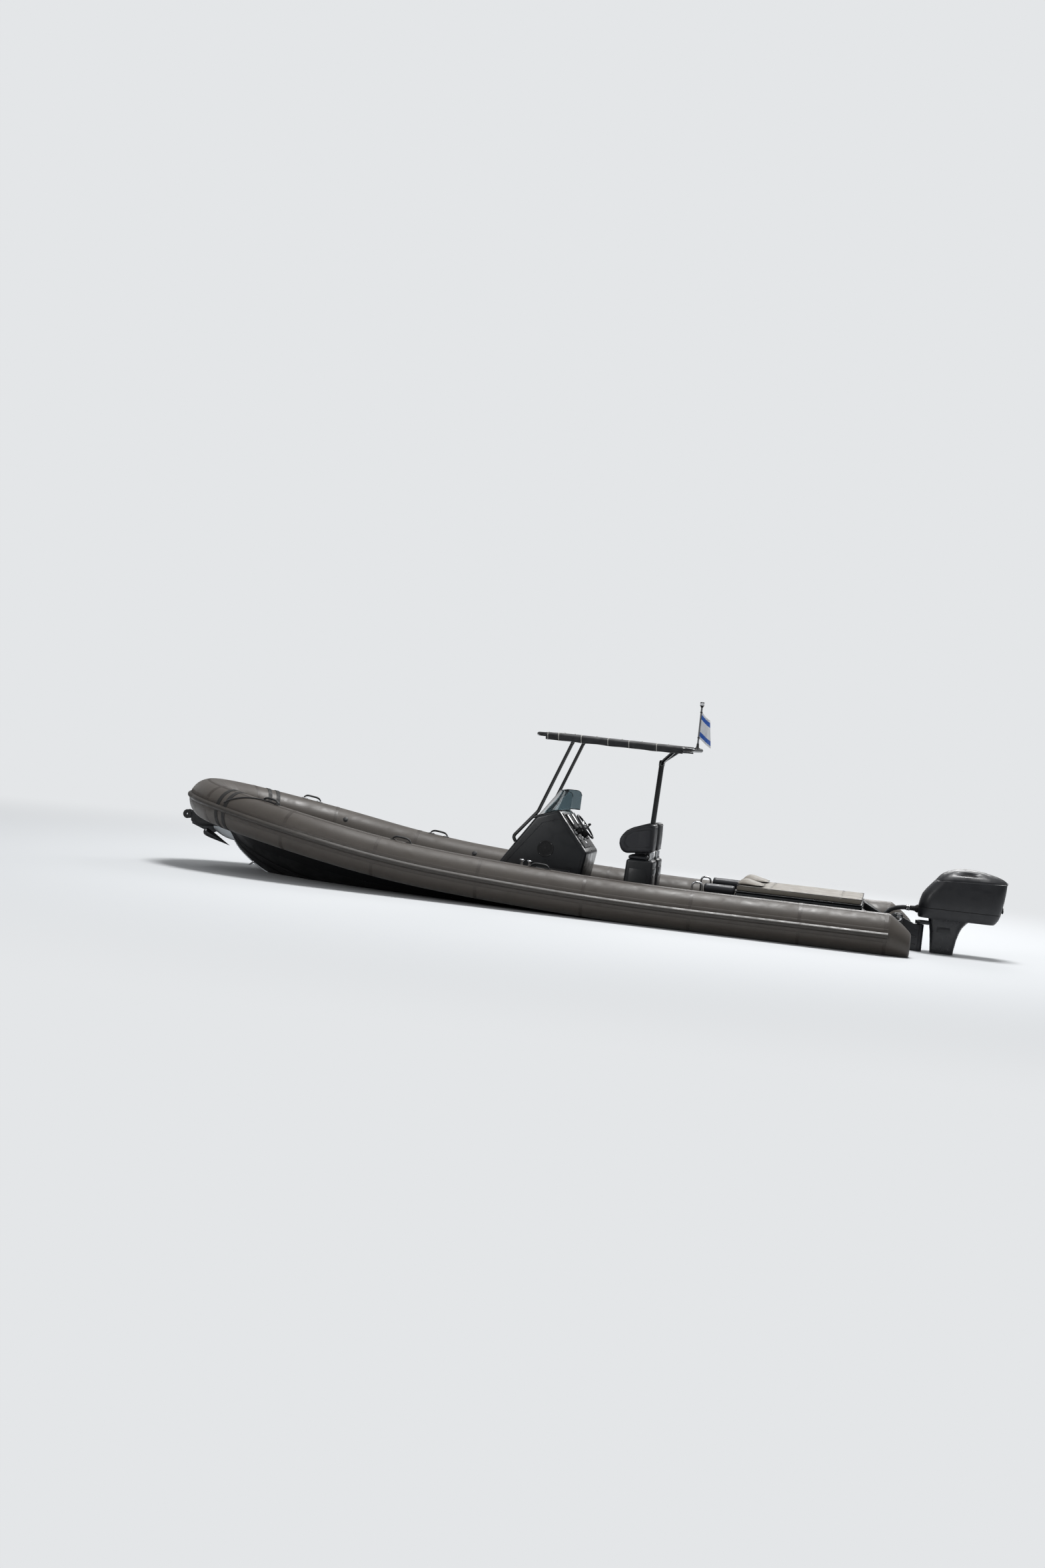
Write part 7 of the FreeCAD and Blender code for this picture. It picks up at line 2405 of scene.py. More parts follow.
            for across in self.door_screws_across:
                heads.append((middle + self.slope_up * up + PORTWARD * across + self.slope_out * 0.0105,
                              self.slope_out))
        for sign in (-1, 1):
            for x, z in self.side_screws:
                heads.append((Vector((x, sign * (self.half + 0.0085), z)), PORTWARD * sign))
        Repeat(Repeated.SCREW, STAINLESS, 0.0055, 0.003).at("console_screws", heads, "hull")

    def panel(self) -> None:
        """The instrument panel with its switches, gauges and padded brow."""
        maker = Maker("instrument_fascia", NYLON, DISPLAY_GLASS, STAINLESS, LENS)
        turn = self.dash_turn()
        maker.box(self.on_dash(0.30, 0, 0.0045), (0.52, 0.84, 0.011), 0.004, 0, turn, 3)
        maker.box(self.on_dash(0.17, -0.01, 0.0095), (0.235, 0.80, 0.003), 0.0012, 0, turn)
        for column in range(6):
            for row in range(2):
                place = self.on_dash(self.switch_start[0] + self.switch_step[0] * row,
                                     self.switch_start[1] + self.switch_step[1] * column, 0.011)
                maker.box(place, (0.044, 0.026, 0.007), 0.002, 0, turn)
                lean = self.switch_lean if (column + row) % 3 else -self.switch_lean
                tilt = turn @ Matrix.Rotation(lean, 3, "Y")
                maker.box(place + self.dash_out * 0.005, (0.035, 0.018, 0.008), 0.003, 0, tilt)
                maker.box(place + self.dash_out * 0.0102 + self.dash_up * 0.011, (0.004, 0.009, 0.0012),
                          0.0004, 3, tilt)
        for across, down in self.gauges:
            place = self.on_dash(down, across, 0.010)
            maker.lathe(self.gauge_rim, place, self.dash_out, 2, 36)
            maker.lathe(self.gauge_glass, place, self.dash_out, 1, 36)
            maker.box(place + self.dash_out * 0.0062 + self.dash_up * 0.006, (0.018, 0.0016, 0.0008), 0, 3,
                      turn @ Matrix.Rotation(0.6, 3, "Z"))
        boss = self.on_dash(self.helm_down, self.wheel_centre[1])
        maker.lathe(self.helm_boss, boss, self.dash_out, 0, 32)
        maker.lathe(self.key_switch, self.on_dash(*self.key_place, 0.010), self.dash_out, 2, 28)
        maker.finished("hull", ("instrument_panel",), crease=34)
        heads = [(self.on_dash(down, across, 0.0105), self.dash_out)
                 for down, places in self.fascia_screws for across in places]
        Repeat(Repeated.SCREW, STAINLESS, 0.005, 0.003).at("fascia_screws", heads, "hull")

    def displays(self) -> None:
        """The two chart displays, each with a bevelled housing, glass and keys."""
        maker = Maker("chart_displays", NYLON, DISPLAY_GLASS, LENS)
        turn = self.dash_turn()
        start, step, key_across = self.display_keys
        for across in self.display_across:
            middle = self.on_dash(self.display_down, across)
            maker.box(middle + self.dash_out * 0.020, (0.215, 0.33, 0.024), 0.009, 0, turn, 3)
            maker.box(middle + self.dash_out * 0.0315, (0.168, 0.262, 0.0035), 0.0014, 1, turn)
            for key in range(5):
                high = self.dash_up * (start - step * key)
                place = middle + self.dash_out * 0.032 + high + PORTWARD * key_across
                maker.box(place, (0.017, 0.017, 0.005), 0.002, 0, turn)
        maker.finished("hull", crease=34)

    def throttle(self) -> None:
        """The binnacle with its lever, and a crossways grip."""
        maker = Maker("throttle_binnacle", NYLON, STAINLESS, GASKET_AND_PAINTED_SHADE)
        turn = self.dash_turn()
        foot = self.on_dash(*self.throttle_place)
        maker.box(foot + self.dash_out * 0.036, (0.128, 0.088, 0.068), 0.018, 0, turn, 4)
        maker.box(foot + self.dash_out * 0.004, (0.142, 0.10, 0.012), 0.005, 0, turn, 2)
        hub = foot + self.dash_out * 0.045
        maker.lathe(self.lever_hub, hub - PORTWARD * 0.043, -PORTWARD, 1, 32)
        heading = (self.dash_out + UP * 0.8).normalized()
        top = hub + heading * self.lever_length
        maker.tube(rounded_line([hub - PORTWARD * 0.048, hub - PORTWARD * 0.048 + heading * 0.06,
                                 hub - PORTWARD * 0.03 + heading * 0.1, top], 0.03, 6), 0.0085, 1, 18)
        maker.cylinder(top - PORTWARD * self.grip_half, top + PORTWARD * self.grip_half, 0.0155, 0,
                       steps=28, round_by=0.006)
        for step in range(9):
            place = top - PORTWARD * (self.groove_start - self.groove_step * step)
            maker.lathe(self.grip_groove, place, PORTWARD, 0, 24)
        maker.finished("hull", ("throttle",), crease=36)

    def wheel(self) -> None:
        """The steering wheel: a padded rim with finger grips, three spokes and a hub cap."""
        maker = Maker("padded_steering_wheel", VINYL, STAINLESS, NYLON)
        centre, out = Vector(self.wheel_centre), self.dash_out
        first, other = self.dash_up, out.cross(self.dash_up)
        rim_middle = self.wheel_radius - self.wheel_rim
        rings = []
        for step in range(120):
            turn = math.tau * step / 120
            wave = 0.0009 * math.cos(turn * 30)
            radial = first * math.cos(turn) + other * math.sin(turn)
            middle = centre + radial * rim_middle
            rings.append([middle + radial * (math.cos(phase) * (self.wheel_rim - 0.0010 + wave))
                          + out * (math.sin(phase) * (self.wheel_rim - 0.0010 + wave * 0.5))
                          for phase in turns(16)])
        maker.rings(rings, 0, looped=True)
        for number in range(3):
            turn = math.tau / 3 * number + math.pi
            radial = first * math.cos(turn) + other * math.sin(turn)
            side = out.cross(radial)
            spoke = []
            for share in self.spoke_shares:
                reach = self.spoke_start + (rim_middle - self.spoke_start) * share
                middle = centre + radial * reach - out * (self.hub_depth * (1 - share) ** 2)
                wide = 0.016 - 0.004 * math.sin(share * math.pi)
                spoke.append([middle + side * (wide * math.cos(phase)) + out * (0.0045 * math.sin(phase))
                              for phase in turns(12)])
            maker.rings(spoke, 1)
        maker.lathe(self.wheel_hub, centre, out, 1, 36)
        maker.lathe(self.hub_cap, centre, out, 2, 32)
        maker.finished("steering_wheel", ("steering_wheel",), crease=50)

    def speakers(self) -> None:
        """The side speakers: a rim and a domed grille, its holes drawn as near-black disks of painted shade.
        """
        x, z, radius = self.speaker
        maker = Maker("speaker_pair", NYLON)
        profile = [(-0.004, radius - 0.001), (0.003, radius), (0.0065, radius - 0.003),
                   (0.0075, radius - 0.008), (0.005, radius - 0.014), (0.0042, radius - 0.017),
                   (0.0048, radius * 0.6), (0.0055, radius * 0.3), (0.0058, 0.001)]
        for side in (-1, 1):
            place = (x, side * self.half, z)
            maker.lathe(profile, place, PORTWARD * side, 0, 64)
            maker.lathe(self.grille_boss, place, PORTWARD * side, 0, 24)
        maker.finished("hull", ("speakers",), crease=40)
        holes, heads = [], []
        for side in (-1, 1):
            for ring in range(2, 10):
                reach = ring * self.hole_pitch
                count = round(math.tau * reach / self.hole_pitch)
                for number in range(count):
                    turn = math.tau * number / count + ring * 0.4
                    holes.append((Vector((x + math.cos(turn) * reach, side * (self.half + 0.0047),
                                          z + math.sin(turn) * reach)), PORTWARD * side))
            for number in range(4):
                turn = math.tau * (number + 0.5) / 4
                heads.append((Vector((x + math.cos(turn) * (radius - 0.009), side * (self.half + 0.0078),
                                      z + math.sin(turn) * (radius - 0.009))), PORTWARD * side))
        # Near-black disks on the unpierced grille: painted shade where each hole is.
        Repeat(Repeated.HOLE, GASKET_AND_PAINTED_SHADE, 0.0030, 0.0024).at("speaker_hole_painted_shade", holes, "hull")
        Repeat(Repeated.SCREW, STAINLESS, 0.0042, 0.002).at("speaker_screws", heads, "hull")

    def screen_plan(self, share: float) -> list[Vector]:
        """The screen's middle line round its front and wings, at a share of its height.

        Args:
            share: Nought at the foot and one at the top.

        Returns:
            The line's points, starboard to port.
        """
        half = self.screen_half + (self.screen_top_half - self.screen_half) * share
        wing = self.wing + (self.top_wing - self.wing) * share
        foot = Vector((self.brow[0], 0, self.brow[1])) + self.slope_out * 0.002 + self.slope_up * 0.002
        line = rounded_line([(-wing, -half, 0), (0, -half, 0), (0, half, 0), (-wing, half, 0)],
                            self.screen_bend, 10)
        base = foot + self.slope_up * (self.screen_height * share)
        return [base + Vector((point.x, point.y, 0)) for point in resampled(line, 72)]

    def foot_level(self, x: float) -> float:
        """The height of the console's top under the screen.

        Args:
            x: The place along the boat.

        Returns:
            The height.
        """
        ahead, back = self.brow, self.dash_top
        if x >= ahead[0]:
            return ahead[1] + 0.002
        if x >= back[0]:
            return ahead[1] + (back[1] - ahead[1]) * (ahead[0] - x) / (ahead[0] - back[0]) + 0.002
        return back[1] + 0.002

    def windscreen(self) -> None:
        """The smoked wraparound screen, its rubber trim and the rail along its top."""
        maker = Maker("smoked_windscreen", SMOKED_SCREEN)
        foot, head = self.screen_plan(0.0), self.screen_plan(1.0)
        count, corner = len(foot), 0.075
        runs = [0.0]
        for before, after in zip(head, head[1:]):
            runs.append(runs[-1] + (after - before).length)
        outer, inner = [], []
        for step in range(15):
            near, far = [], []
            for number in range(count):
                inset = corner - min(runs[number], runs[-1] - runs[number], corner)
                lost = (corner - math.sqrt(corner**2 - inset**2)) / self.screen_height
                point = foot[number].lerp(head[number], step / 14 * (1 - lost))
                heading = foot[min(number + 1, count - 1)] - foot[max(number - 1, 0)]
                normal = heading.cross(UP).normalized() * (self.screen_thick / 2)
                point.z = max(point.z, self.foot_level(point.x))
                near.append(point + normal)
                far.append(point - normal)
            outer.append(near)
            inner.append(far)
        rings = []
        for number in range(count):
            rings.append([row[number] for row in outer] + [row[number] for row in reversed(inner)])
        maker.rings(rings, 0)
        maker.finished("hull", ("windscreen",), crease=40)
        trim = Maker("windscreen_trim", GASKET_AND_PAINTED_SHADE, STAINLESS, NYLON)
        top = resampled([(a + b) / 2 for a, b in zip(outer[-1], inner[-1])], 72)
        trim.tube([point + UP * 0.0005 for point in top], 0.0036, 2, 12)
        seen = [(a + b) / 2 for a, b in zip(outer[0], inner[0])]
        trim.tube([point + UP * 0.003 for point in seen], 0.0055, 0, 12)
        for number in (10, 36, 62):
            place = (outer[1][number] + inner[1][number]) / 2
            heading = (outer[1][number] - inner[1][number]).normalized()
            trim.lathe([(-0.008, 0.011), (-0.0065, 0.0125), (-0.0045, 0.0125), (0.0045, 0.0125),
                        (0.0065, 0.0125),
                        (0.008, 0.011)], place, heading, 2, 20)
        trim.finished("hull", crease=44)

    def rails(self) -> None:
        """The thin dark pad along the console's upper dash edge."""
        maker = Maker("dash_edge_pad", VINYL)
        start, end = (Vector((self.dash_top[0] + 0.012, side * (self.half - 0.05),
                              self.dash_top[1] - 0.002))
                      for side in (-1, 1))
        maker.tube(resampled([start, end], 40), 0.011, 0, 16)
        maker.finished("hull", crease=50)


@dataclass
class Outboard:
    """The outboard engine with its brackets, cowls, leg, gearcase, propeller and rigging hose."""

    steer_x: float = -4.7
    tilt: tuple[float, float] = (-4.44, 0.385)
    base: float = 0.43
    split: float = 0.56
    plate: float = -0.455
    shaft_level: float = -0.695
    prop_x: float = -5.225
    hub_length: float = 0.19
    prop_radius: float = 0.2
    skeg_low: float = -0.93
    cap_rise: float = 0.126
    hose_side: float = 0.07
    hose_level: float = 0.52
    hose_radius: float = 0.029
    hose_route: Pairs = ((-4.215, 0.18), (-4.215, 0.359), (-4.3599, 0.52), (-4.535, 0.52))
    clamp_inner: float = 0.115
    clamp_thick: float = 0.034
    # The transom's outer face and thickness, and the clamp's lowest and highest level on it
    transom: tuple[float, float] = (-4.35, 0.07)
    clamp_levels: tuple[float, float] = (-0.19, 0.31)
    bolt_levels: tuple[float, ...] = (-0.11, 0.0, 0.2)
    # Share along the cap and height of its ridge over the cap line
    ridge: Pairs = (
        (0.0, 0.008), (0.02, 0.034), (0.05, 0.064), (0.09, 0.092), (0.15, 0.119), (0.22, 0.138),
        (0.3, 0.149), (0.38, 0.153), (0.46, 0.151), (0.55, 0.143), (0.65, 0.128), (0.75, 0.108),
        (0.85, 0.083), (0.93, 0.056), (0.975, 0.034), (1.0, 0.012))
    cap_start: float = 0.138
    cap_length: float = 0.858
    crown_edge: float = 2.6
    crown_fall: float = 0.62
    # Middle and half size of the intake recess, as shares of the cap's length and half width
    bay_middle: tuple[float, float] = (0.45, 0.69)
    bay_half: tuple[float, float] = (0.15, 0.125)
    bay_depth: float = 0.034
    mouth_half: tuple[float, float] = (0.118, 0.088)
    slat_start: float = 0.378
    slat_step: float = 0.036
    hose_socket: Pairs = (
        (-0.004, 0.046), (0.0, 0.05), (0.012, 0.05), (0.02, 0.044), (0.03, 0.038), (0.032, 0.034))
    # The same five measures for the sections of the leg and of the plate above the propeller
    leg_rows: Rows = (
        (-0.455, -0.18, -0.41, 0.062, 0.05), (-0.3, -0.171, -0.414, 0.065, 0.052),
        (-0.1, -0.157, -0.424, 0.069, 0.055), (0.05, -0.147, -0.437, 0.073, 0.058),
        (0.18, -0.135, -0.458, 0.083, 0.066), (0.27, -0.124, -0.482, 0.094, 0.075),
        (0.34, -0.112, -0.512, 0.108, 0.086), (0.39, -0.1, -0.552, 0.128, 0.098),
        (0.415, -0.094, -0.578, 0.14, 0.106), (0.43, -0.09, -0.6, 0.15, 0.11))
    plate_rows: Rows = (
        (0.0, -0.02, -0.7, 0.12, 0.1), (0.003, -0.017, -0.703, 0.1215, 0.102),
        (0.011, -0.017, -0.703, 0.1215, 0.102), (0.014, -0.02, -0.7, 0.119, 0.1))
    # Distance off the steering axis and half width of the two yokes
    upper_yoke: Pairs = (
        (-0.29, -0.06), (0.0, -0.062), (0.045, -0.044), (0.062, 0.0), (0.045, 0.044), (0.0, 0.062),
        (-0.29, 0.06))
    lower_yoke: Pairs = (
        (-0.25, -0.055), (0.0, -0.058), (0.042, -0.04), (0.058, 0.0), (0.042, 0.04), (0.0, 0.058),
        (-0.25, 0.055))
    bullet_radius: float = 0.066
    bullet_length: float = 0.56
    # Share of the skeg's length and of its half thickness
    skeg_section: Pairs = (
        (0.0, 0.15), (0.12, 0.55), (0.35, 1.0), (0.65, 1.0), (0.88, 0.7), (0.97, 0.4), (1.0, 0.0),
        (0.97, -0.4), (0.88, -0.7), (0.65, -1.0), (0.35, -1.0), (0.12, -0.55), (0.0, -0.15))
    hub_profile: Pairs = (
        (0.0, 0.016), (0.0, 0.052), (0.003, 0.0585), (0.01, 0.0605), (0.06, 0.062), (0.15, 0.064),
        (0.178, 0.0665), (0.188, 0.0692), (0.19, 0.0685), (0.189, 0.062), (0.15, 0.057), (0.03, 0.055),
        (0.03, 0.016))
    blade_root: float = 0.05
    blade_pitch: float = 0.40
    ridge_step: float = 0.011
    collar_profile: Pairs = (
        (-0.022, 0.0292), (-0.022, 0.0335), (-0.019, 0.0345), (0.019, 0.0345), (0.022, 0.0335),
        (0.022, 0.0292))
    hose_clip: Pairs = ((-0.004, 0.0344), (-0.0035, 0.0356), (0.0035, 0.0356), (0.004, 0.0344))
    shaft_nut_cap: Pairs = ((0.0, 0.018), (0.008, 0.0175), (0.012, 0.012), (0.0125, 0.001))
    # The steering shaft's lower and upper end, and the ribs on its housing
    steer_ends: tuple[float, float] = (-0.21, 0.33)
    steer_ribs: tuple[float, ...] = (-0.02, 0.08, 0.18)
    # Yokes: lower and upper level of each
    upper_yoke_levels: tuple[float, float] = (0.336, 0.382)
    lower_yoke_levels: tuple[float, float] = (-0.262, -0.216)
    mount_bolts: tuple[float, ...] = (-0.205, -0.155)
    # Front and rear of the cowls' seal, half width and corner, inside and outside
    seal_rows: Rows = ((0.038, -0.945, 0.278, 0.144), (0.042, -0.951, 0.2825, 0.148))
    seal_level: float = 0.1215
    cowl_floor: tuple[float, ...] = (0.0, 0.030, -0.885, 0.18, 0.1)
    upper_foot_rows: Rows = ((0.0, 0.036, -0.946, 0.28, 0.145), (0.0, 0.041, -0.951, 0.2835, 0.148))
    ledge_rows: Rows = (
        (0.336, -0.14, -0.984, 0.258, 0.136), (0.330, -0.16, -0.97, 0.24, 0.13),
        (0.330, -0.45, -0.60, 0.02, 0.01))
    gland_profile: Pairs = (
        (-0.13, 0.062), (-0.128, 0.064), (-0.122, 0.063), (-0.116, 0.05), (-0.09, 0.041), (-0.03, 0.034),
        (0.0, 0.0305), (0.012, 0.0298))
    # Height, front and rear off the steering axis, half width and corner of each cowl section
    lower_rows: Rows = (
        (0.0, 0.030, -0.885, 0.232, 0.12), (0.02, 0.040, -0.905, 0.247, 0.125),
        (0.06, 0.046, -0.93, 0.268, 0.135), (0.1, 0.046, -0.945, 0.280, 0.145),
        (0.122, 0.045, -0.951, 0.284, 0.148))
    upper_rows: Rows = (
        (0.008, 0.044, -0.954, 0.286, 0.15), (0.08, 0.03, -0.968, 0.2895, 0.15),
        (0.15, 0.009, -0.979, 0.289, 0.15), (0.21, -0.03, -0.986, 0.286, 0.148),
        (0.26, -0.071, -0.99, 0.281, 0.145), (0.3, -0.104, -0.992, 0.276, 0.142),
        (0.333, -0.132, -0.993, 0.270, 0.14))

    def build(self) -> None:
        """Builds every piece of the engine."""
        self.cowls()
        self.cap()
        refined("engine_block", "cast_engine_block", (ENGINE_CASTING,), "engine", 0.008, 40)
        self.leg()
        self.gearcase()
        self.propeller()
        self.swivel()
        self.clamp()
        self.hose()

    def plan(self, row: Sequence[float], level: float, steps: int = 12, rise: float = 0.0) -> list[Vector]:
        """A rounded plan section of a cowl, its corners softer than arcs.

        Args:
            row: Height, front, rear, half width and corner.
            level: The height that the row's own height is added to.
            steps: Points on each corner.
            rise: How much the section's rear stands higher, as a share of its height.

        Returns:
            The section's corners.
        """
        _, front, rear, half, corner = row
        corner = min(corner, half * 0.97, (front - rear) * 0.48)
        points = []
        for number, (x, y) in enumerate(((front - corner, half - corner), (rear + corner, half - corner),
                                         (rear + corner, corner - half), (front - corner, corner - half))):
            for step in range(steps + 1):
                turn = math.pi / 2 * (number + step / steps)
                bow = 1 + 0.035 * math.sin(2 * turn) ** 2
                along = x + math.cos(turn) * corner * bow
                lift = 1 + rise * min(max((-self.cap_start - along) / self.cap_length, 0.0), 1.0)
                points.append(Vector((self.steer_x + along, y + math.sin(turn) * corner * bow,
                                      level + row[0] * lift)))
        return points

    def cowls(self) -> None:
        """The lower cowl with its gasket line, and the upper cowl's side walls up to the cap line."""
        lower = Maker("engine_lower_cowl", ENGINE_PAINT, GASKET_AND_PAINTED_SHADE, ENGINE_CASTING)
        rings = [self.plan(self.cowl_floor, self.base - 0.002)]
        rings += [self.plan(row, self.base) for row in self.lower_rows]
        lower.rings(rings)
        inner, outer = self.seal_rows
        trim = [(0.0, *inner), (0.0, *outer), (0.008, *outer), (0.008, *inner)]
        lower.rings([self.plan(row, self.base + self.seal_level) for row in trim], 1, capped=False,
                    looped=True)
        socket = (self.steer_x + 0.047, self.hose_side, self.hose_level)
        lower.lathe(self.hose_socket, socket, FORWARD, 1, 28)
        lower.finished("engine", ("cowl_lower",), crease=36)
        upper = Maker("engine_upper_cowl", ENGINE_PAINT, GASKET_AND_PAINTED_SHADE, NYLON)
        rings = [self.plan(row, self.split) for row in self.upper_foot_rows]
        rings += [self.plan(row, self.split, rise=self.cap_rise)
                  for row in (*self.upper_rows, *self.ledge_rows)]
        upper.rings(rings, capped=False)
        low = [self.plan((0.0, 0.0, -0.9, 0.24, 0.12), self.split + 0.003), rings[0]]
        upper.rings(low, 1, capped=False)
        upper.box((self.steer_x - 0.972, 0, self.split + 0.05), (0.014, 0.20, 0.07), 0.005, 2)
        upper.box((self.steer_x - 0.978, 0, self.split + 0.04), (0.012, 0.13, 0.035), 0.005, 1)
        self.cap_skin(upper)
        upper.finished("engine", ("cowl_upper",), crease=34)

    def crest(self, along: float) -> float:
        """Height of the cap's ridge over the cap line.

        Args:
            along: Share of the way from the cap's front to its rear tip.

        Returns:
            The height.
        """
        return between(self.ridge, along)

    def crown(self, width: float) -> float:
        """How much of the ridge's height the cap has at a distance from its middle.

        Args:
            width: Share of the cap's half width.

        Returns:
            One at the middle and nought at the edge.
        """
        return max(1 - abs(width) ** self.crown_edge, 0.0) ** self.crown_fall

    def bay(self, along: float, width: float) -> float:
        """How deep the intake recess is at a place of the cap.

        Args:
            along: Share of the way from the cap's front to its rear tip.
            width: Share of the cap's half width.

        Returns:
            Nought outside and one at the bottom of the recess.
        """
        return math.exp(-abs((along - self.bay_middle[0]) / self.bay_half[0]) ** 3
                        - abs((abs(width) - self.bay_middle[1]) / self.bay_half[1]) ** 3)

    def skin(self, along: float, width: float) -> Vector:
        """A point of the cap's outside.

        Args:
            along: Share of the way from the cap's front to its rear tip.
            width: Share of the cap's half width, with its side's sign.

        Returns:
            The point.
        """
        x, level, half = self.cap_line(along)
        drop = self.bay_depth * self.bay(along, width)
        edge = 0.006 * math.exp(-((abs(width) - 1.0) / 0.04) ** 2)
        return Vector((x, width * (half - 0.002 - 0.45 * drop),
                       level + edge + self.crest(along) * self.crown(width) - drop))

    def cap_line(self, along: float) -> tuple[float, float, float]:
        """Place of the cap's edge: distance aft, height and half width.

        Args:
            along: Share of the way from the cap's front to its rear tip.

        Returns:
            Place along the boat, height of the cap line and its half width.
        """
        x = self.steer_x - self.cap_start - self.cap_length * along
        level = self.split + 0.334 + 0.042 * along
        half = 0.268 * (1 - abs(2 * along - 0.94) ** 4.5 * 0.55) if along < 1 else 0.12
        return x, level, max(half, 0.06)

    def cap_skin(self, maker: Maker) -> None:
        """The crowned cap over the cowl, with its lip, and an intake recess in each side.

        Args:
            maker: The piece that gets it.
        """
        spans, across = 96, 64
        rings: list[list[Vector]] = []
        for step in range(spans + 1):
            rings.append([self.skin(step / spans, math.sin((number / across * 2 - 1) * math.pi / 2))
                          for number in range(across + 1)])
        maker.rings(rings, 0, capped=False, open_section=True)
        skirt = []
        for step in range(spans + 1):
            along = step / spans
            x, level, half = self.cap_line(along)
            skirt.append([Vector((x, side * (half + out), level + high)) for side, out, high in (
                (1, -0.002, 0.006), (1, 0.0045, 0.004), (1, 0.006, 0.0), (1, 0.0045, -0.005),
                (1, -0.012, -0.007))])
        maker.rings(skirt, 0, capped=False, open_section=True)
        mirrored = [[Vector((point.x, -point.y, point.z)) for point in reversed(ring)] for ring in skirt]
        maker.rings(mirrored, 0, capped=False, open_section=True)
        for place in (0.0, 1.0):
            x, level, half = self.cap_line(place)
            out = 0.004 if place == 0.0 else -0.006
            shares = [number / 12 * 2 - 1 for number in range(13)]
            low = [Vector((x + out, half * share, level - 0.007)) for share in shares]
            high = [Vector((x + out * 0.5, half * share,
                            level + 0.006 + self.crest(place) * self.crown(share)))
                    for share in shares]
            maker.rings([low, high], 0, capped=False, open_section=True)

    def cap(self) -> None:
        """The mouths of the air intakes in the cap's sides, drawn as near-black sheets of painted shade in
        the recesses, with their slats.
        """
        maker = Maker("engine_intake_shade_and_slats", GASKET_AND_PAINTED_SHADE, NYLON)
        for side in (-1, 1):
            (behind, out), (long, wide) = self.bay_middle, self.mouth_half
            proud = Vector((0, side * 0.0007, 0.0009))
            rings = []
            # Near-black rings laid in the recess: painted shade where the intake opens.
            for reach in (1.0, 0.85, 0.6, 0.35, 0.12):
                rings.append([self.skin(behind + long * reach * math.cos(turn),
                                        side * (out + wide * reach * math.sin(turn))) + proud
                              for turn in (side * angle for angle in turns(56))])
            rings.insert(0, [point - Vector((0, side * 0.002, 0.0026)) for point in rings[0]])
            maker.rings(rings, 0)
            for number in range(5):
                along, width = self.slat_start + self.slat_step * number, self.bay_middle[1]
                x, level, half = self.cap_line(along)
                lift = level + self.crest(along) * self.crown(width) - 0.030
                maker.box((x, side * (half * width - 0.013), lift),
                          (0.004, 0.05 - 0.006 * abs(number - 2), 0.011),
                          0.0016, 0, Matrix.Rotation(side * -0.62, 3, "X"))
        maker.finished("engine")

    def leg(self) -> None:
        """The midsection with its yokes, drive shaft housing ribs and mount covers."""
        maker = Maker("engine_midsection", ENGINE_CASTING, ENGINE_PAINT, STAINLESS)
        maker.rings([self.plan(row, 0.0) for row in self.leg_rows])
        maker.cylinder((self.steer_x, 0, -0.23), (self.steer_x, 0, 0.35), 0.03, 0, steps=28)
        for yoke, levels in ((self.upper_yoke, self.upper_yoke_levels),
                             (self.lower_yoke, self.lower_yoke_levels)):
            maker.prism([(self.steer_x + u, v) for u, v in yoke], *levels, "z", 0.008, 0)
        for side in (-1, 1):
            maker.box((self.steer_x - 0.215, side * 0.076, -0.18), (0.12, 0.03, 0.1), 0.012, 0)
            for high in self.mount_bolts:
                start = Vector((self.steer_x - 0.215, side * 0.088, high))
                maker.cylinder(start, start + PORTWARD * side * 0.007, 0.009, 2, steps=6, round_by=0.001)
            maker.box((self.steer_x - 0.29, side * 0.1, 0.3), (0.16, 0.012, 0.07), 0.005, 1)
        maker.finished("engine", ("engine_leg",), crease=36)

    def gearcase(self) -> None:
        """The gearcase: plate above the propeller, strut, bullet, skeg and the shaft's nut."""
        maker = Maker("engine_gearcase", ENGINE_CASTING, STAINLESS)
        maker.rings([self.plan(row, self.plate - 0.014) for row in self.plate_rows])
        rows = []
        for step in range(13):
            share = step / 12
            bulge = share ** 2 * (3 - 2 * share)
            rows.append((self.shaft_level + (self.plate - 0.002 - self.shaft_level) * share,
                         -0.06 - 0.1 * bulge, -0.49 + 0.06 * bulge, 0.028 + 0.018 * share ** 1.6))
        maker.rings([self.foil(row) for row in rows])
        axis = Vector((self.prop_x + 0.004, 0, self.shaft_level))
        radius = self.bullet_radius
        profile = [(0.0, radius - 0.016), (0.004, radius - 0.004), (0.012, radius)]
        for step in range(1, 25):
            share = step / 24
            taper = 1 - max((share - 0.34) / 0.66, 0.0) ** 2.1
            profile.append((0.012 + (self.bullet_length - 0.012) * share,
                            max(radius * math.sqrt(max(taper, 0.0)), 0.0012)))
        maker.lathe(profile, axis, FORWARD, 0, 36)
        self.skeg(maker, axis)
        maker.cylinder(axis, axis - FORWARD * (self.hub_length + 0.014), 0.015, 1, steps=20)
        nut = axis - FORWARD * (self.hub_length + 0.008)
        maker.cylinder(nut, nut - FORWARD * 0.022, 0.027, 1, steps=6, round_by=0.002)
        maker.lathe(self.shaft_nut_cap, nut - FORWARD * 0.022, -FORWARD, 1, 20)
        maker.finished("engine", ("gearcase",), crease=40)

    def foil(self, row: Sequence[float]) -> list[Vector]:
        """A streamlined plan section with a fine trailing edge.

        Args:
            row: Height, front, rear and half width.

        Returns:
            The section's corners.
        """
        level, front, rear, half = row
        points = []
        for turn in turns(40):
            along = (1 + math.cos(turn)) / 2
            width = math.sin(turn) * half * (0.42 + 0.58 * along ** 0.6)
            points.append(Vector((self.steer_x + rear + (front - rear) * along, width, level)))
        return points

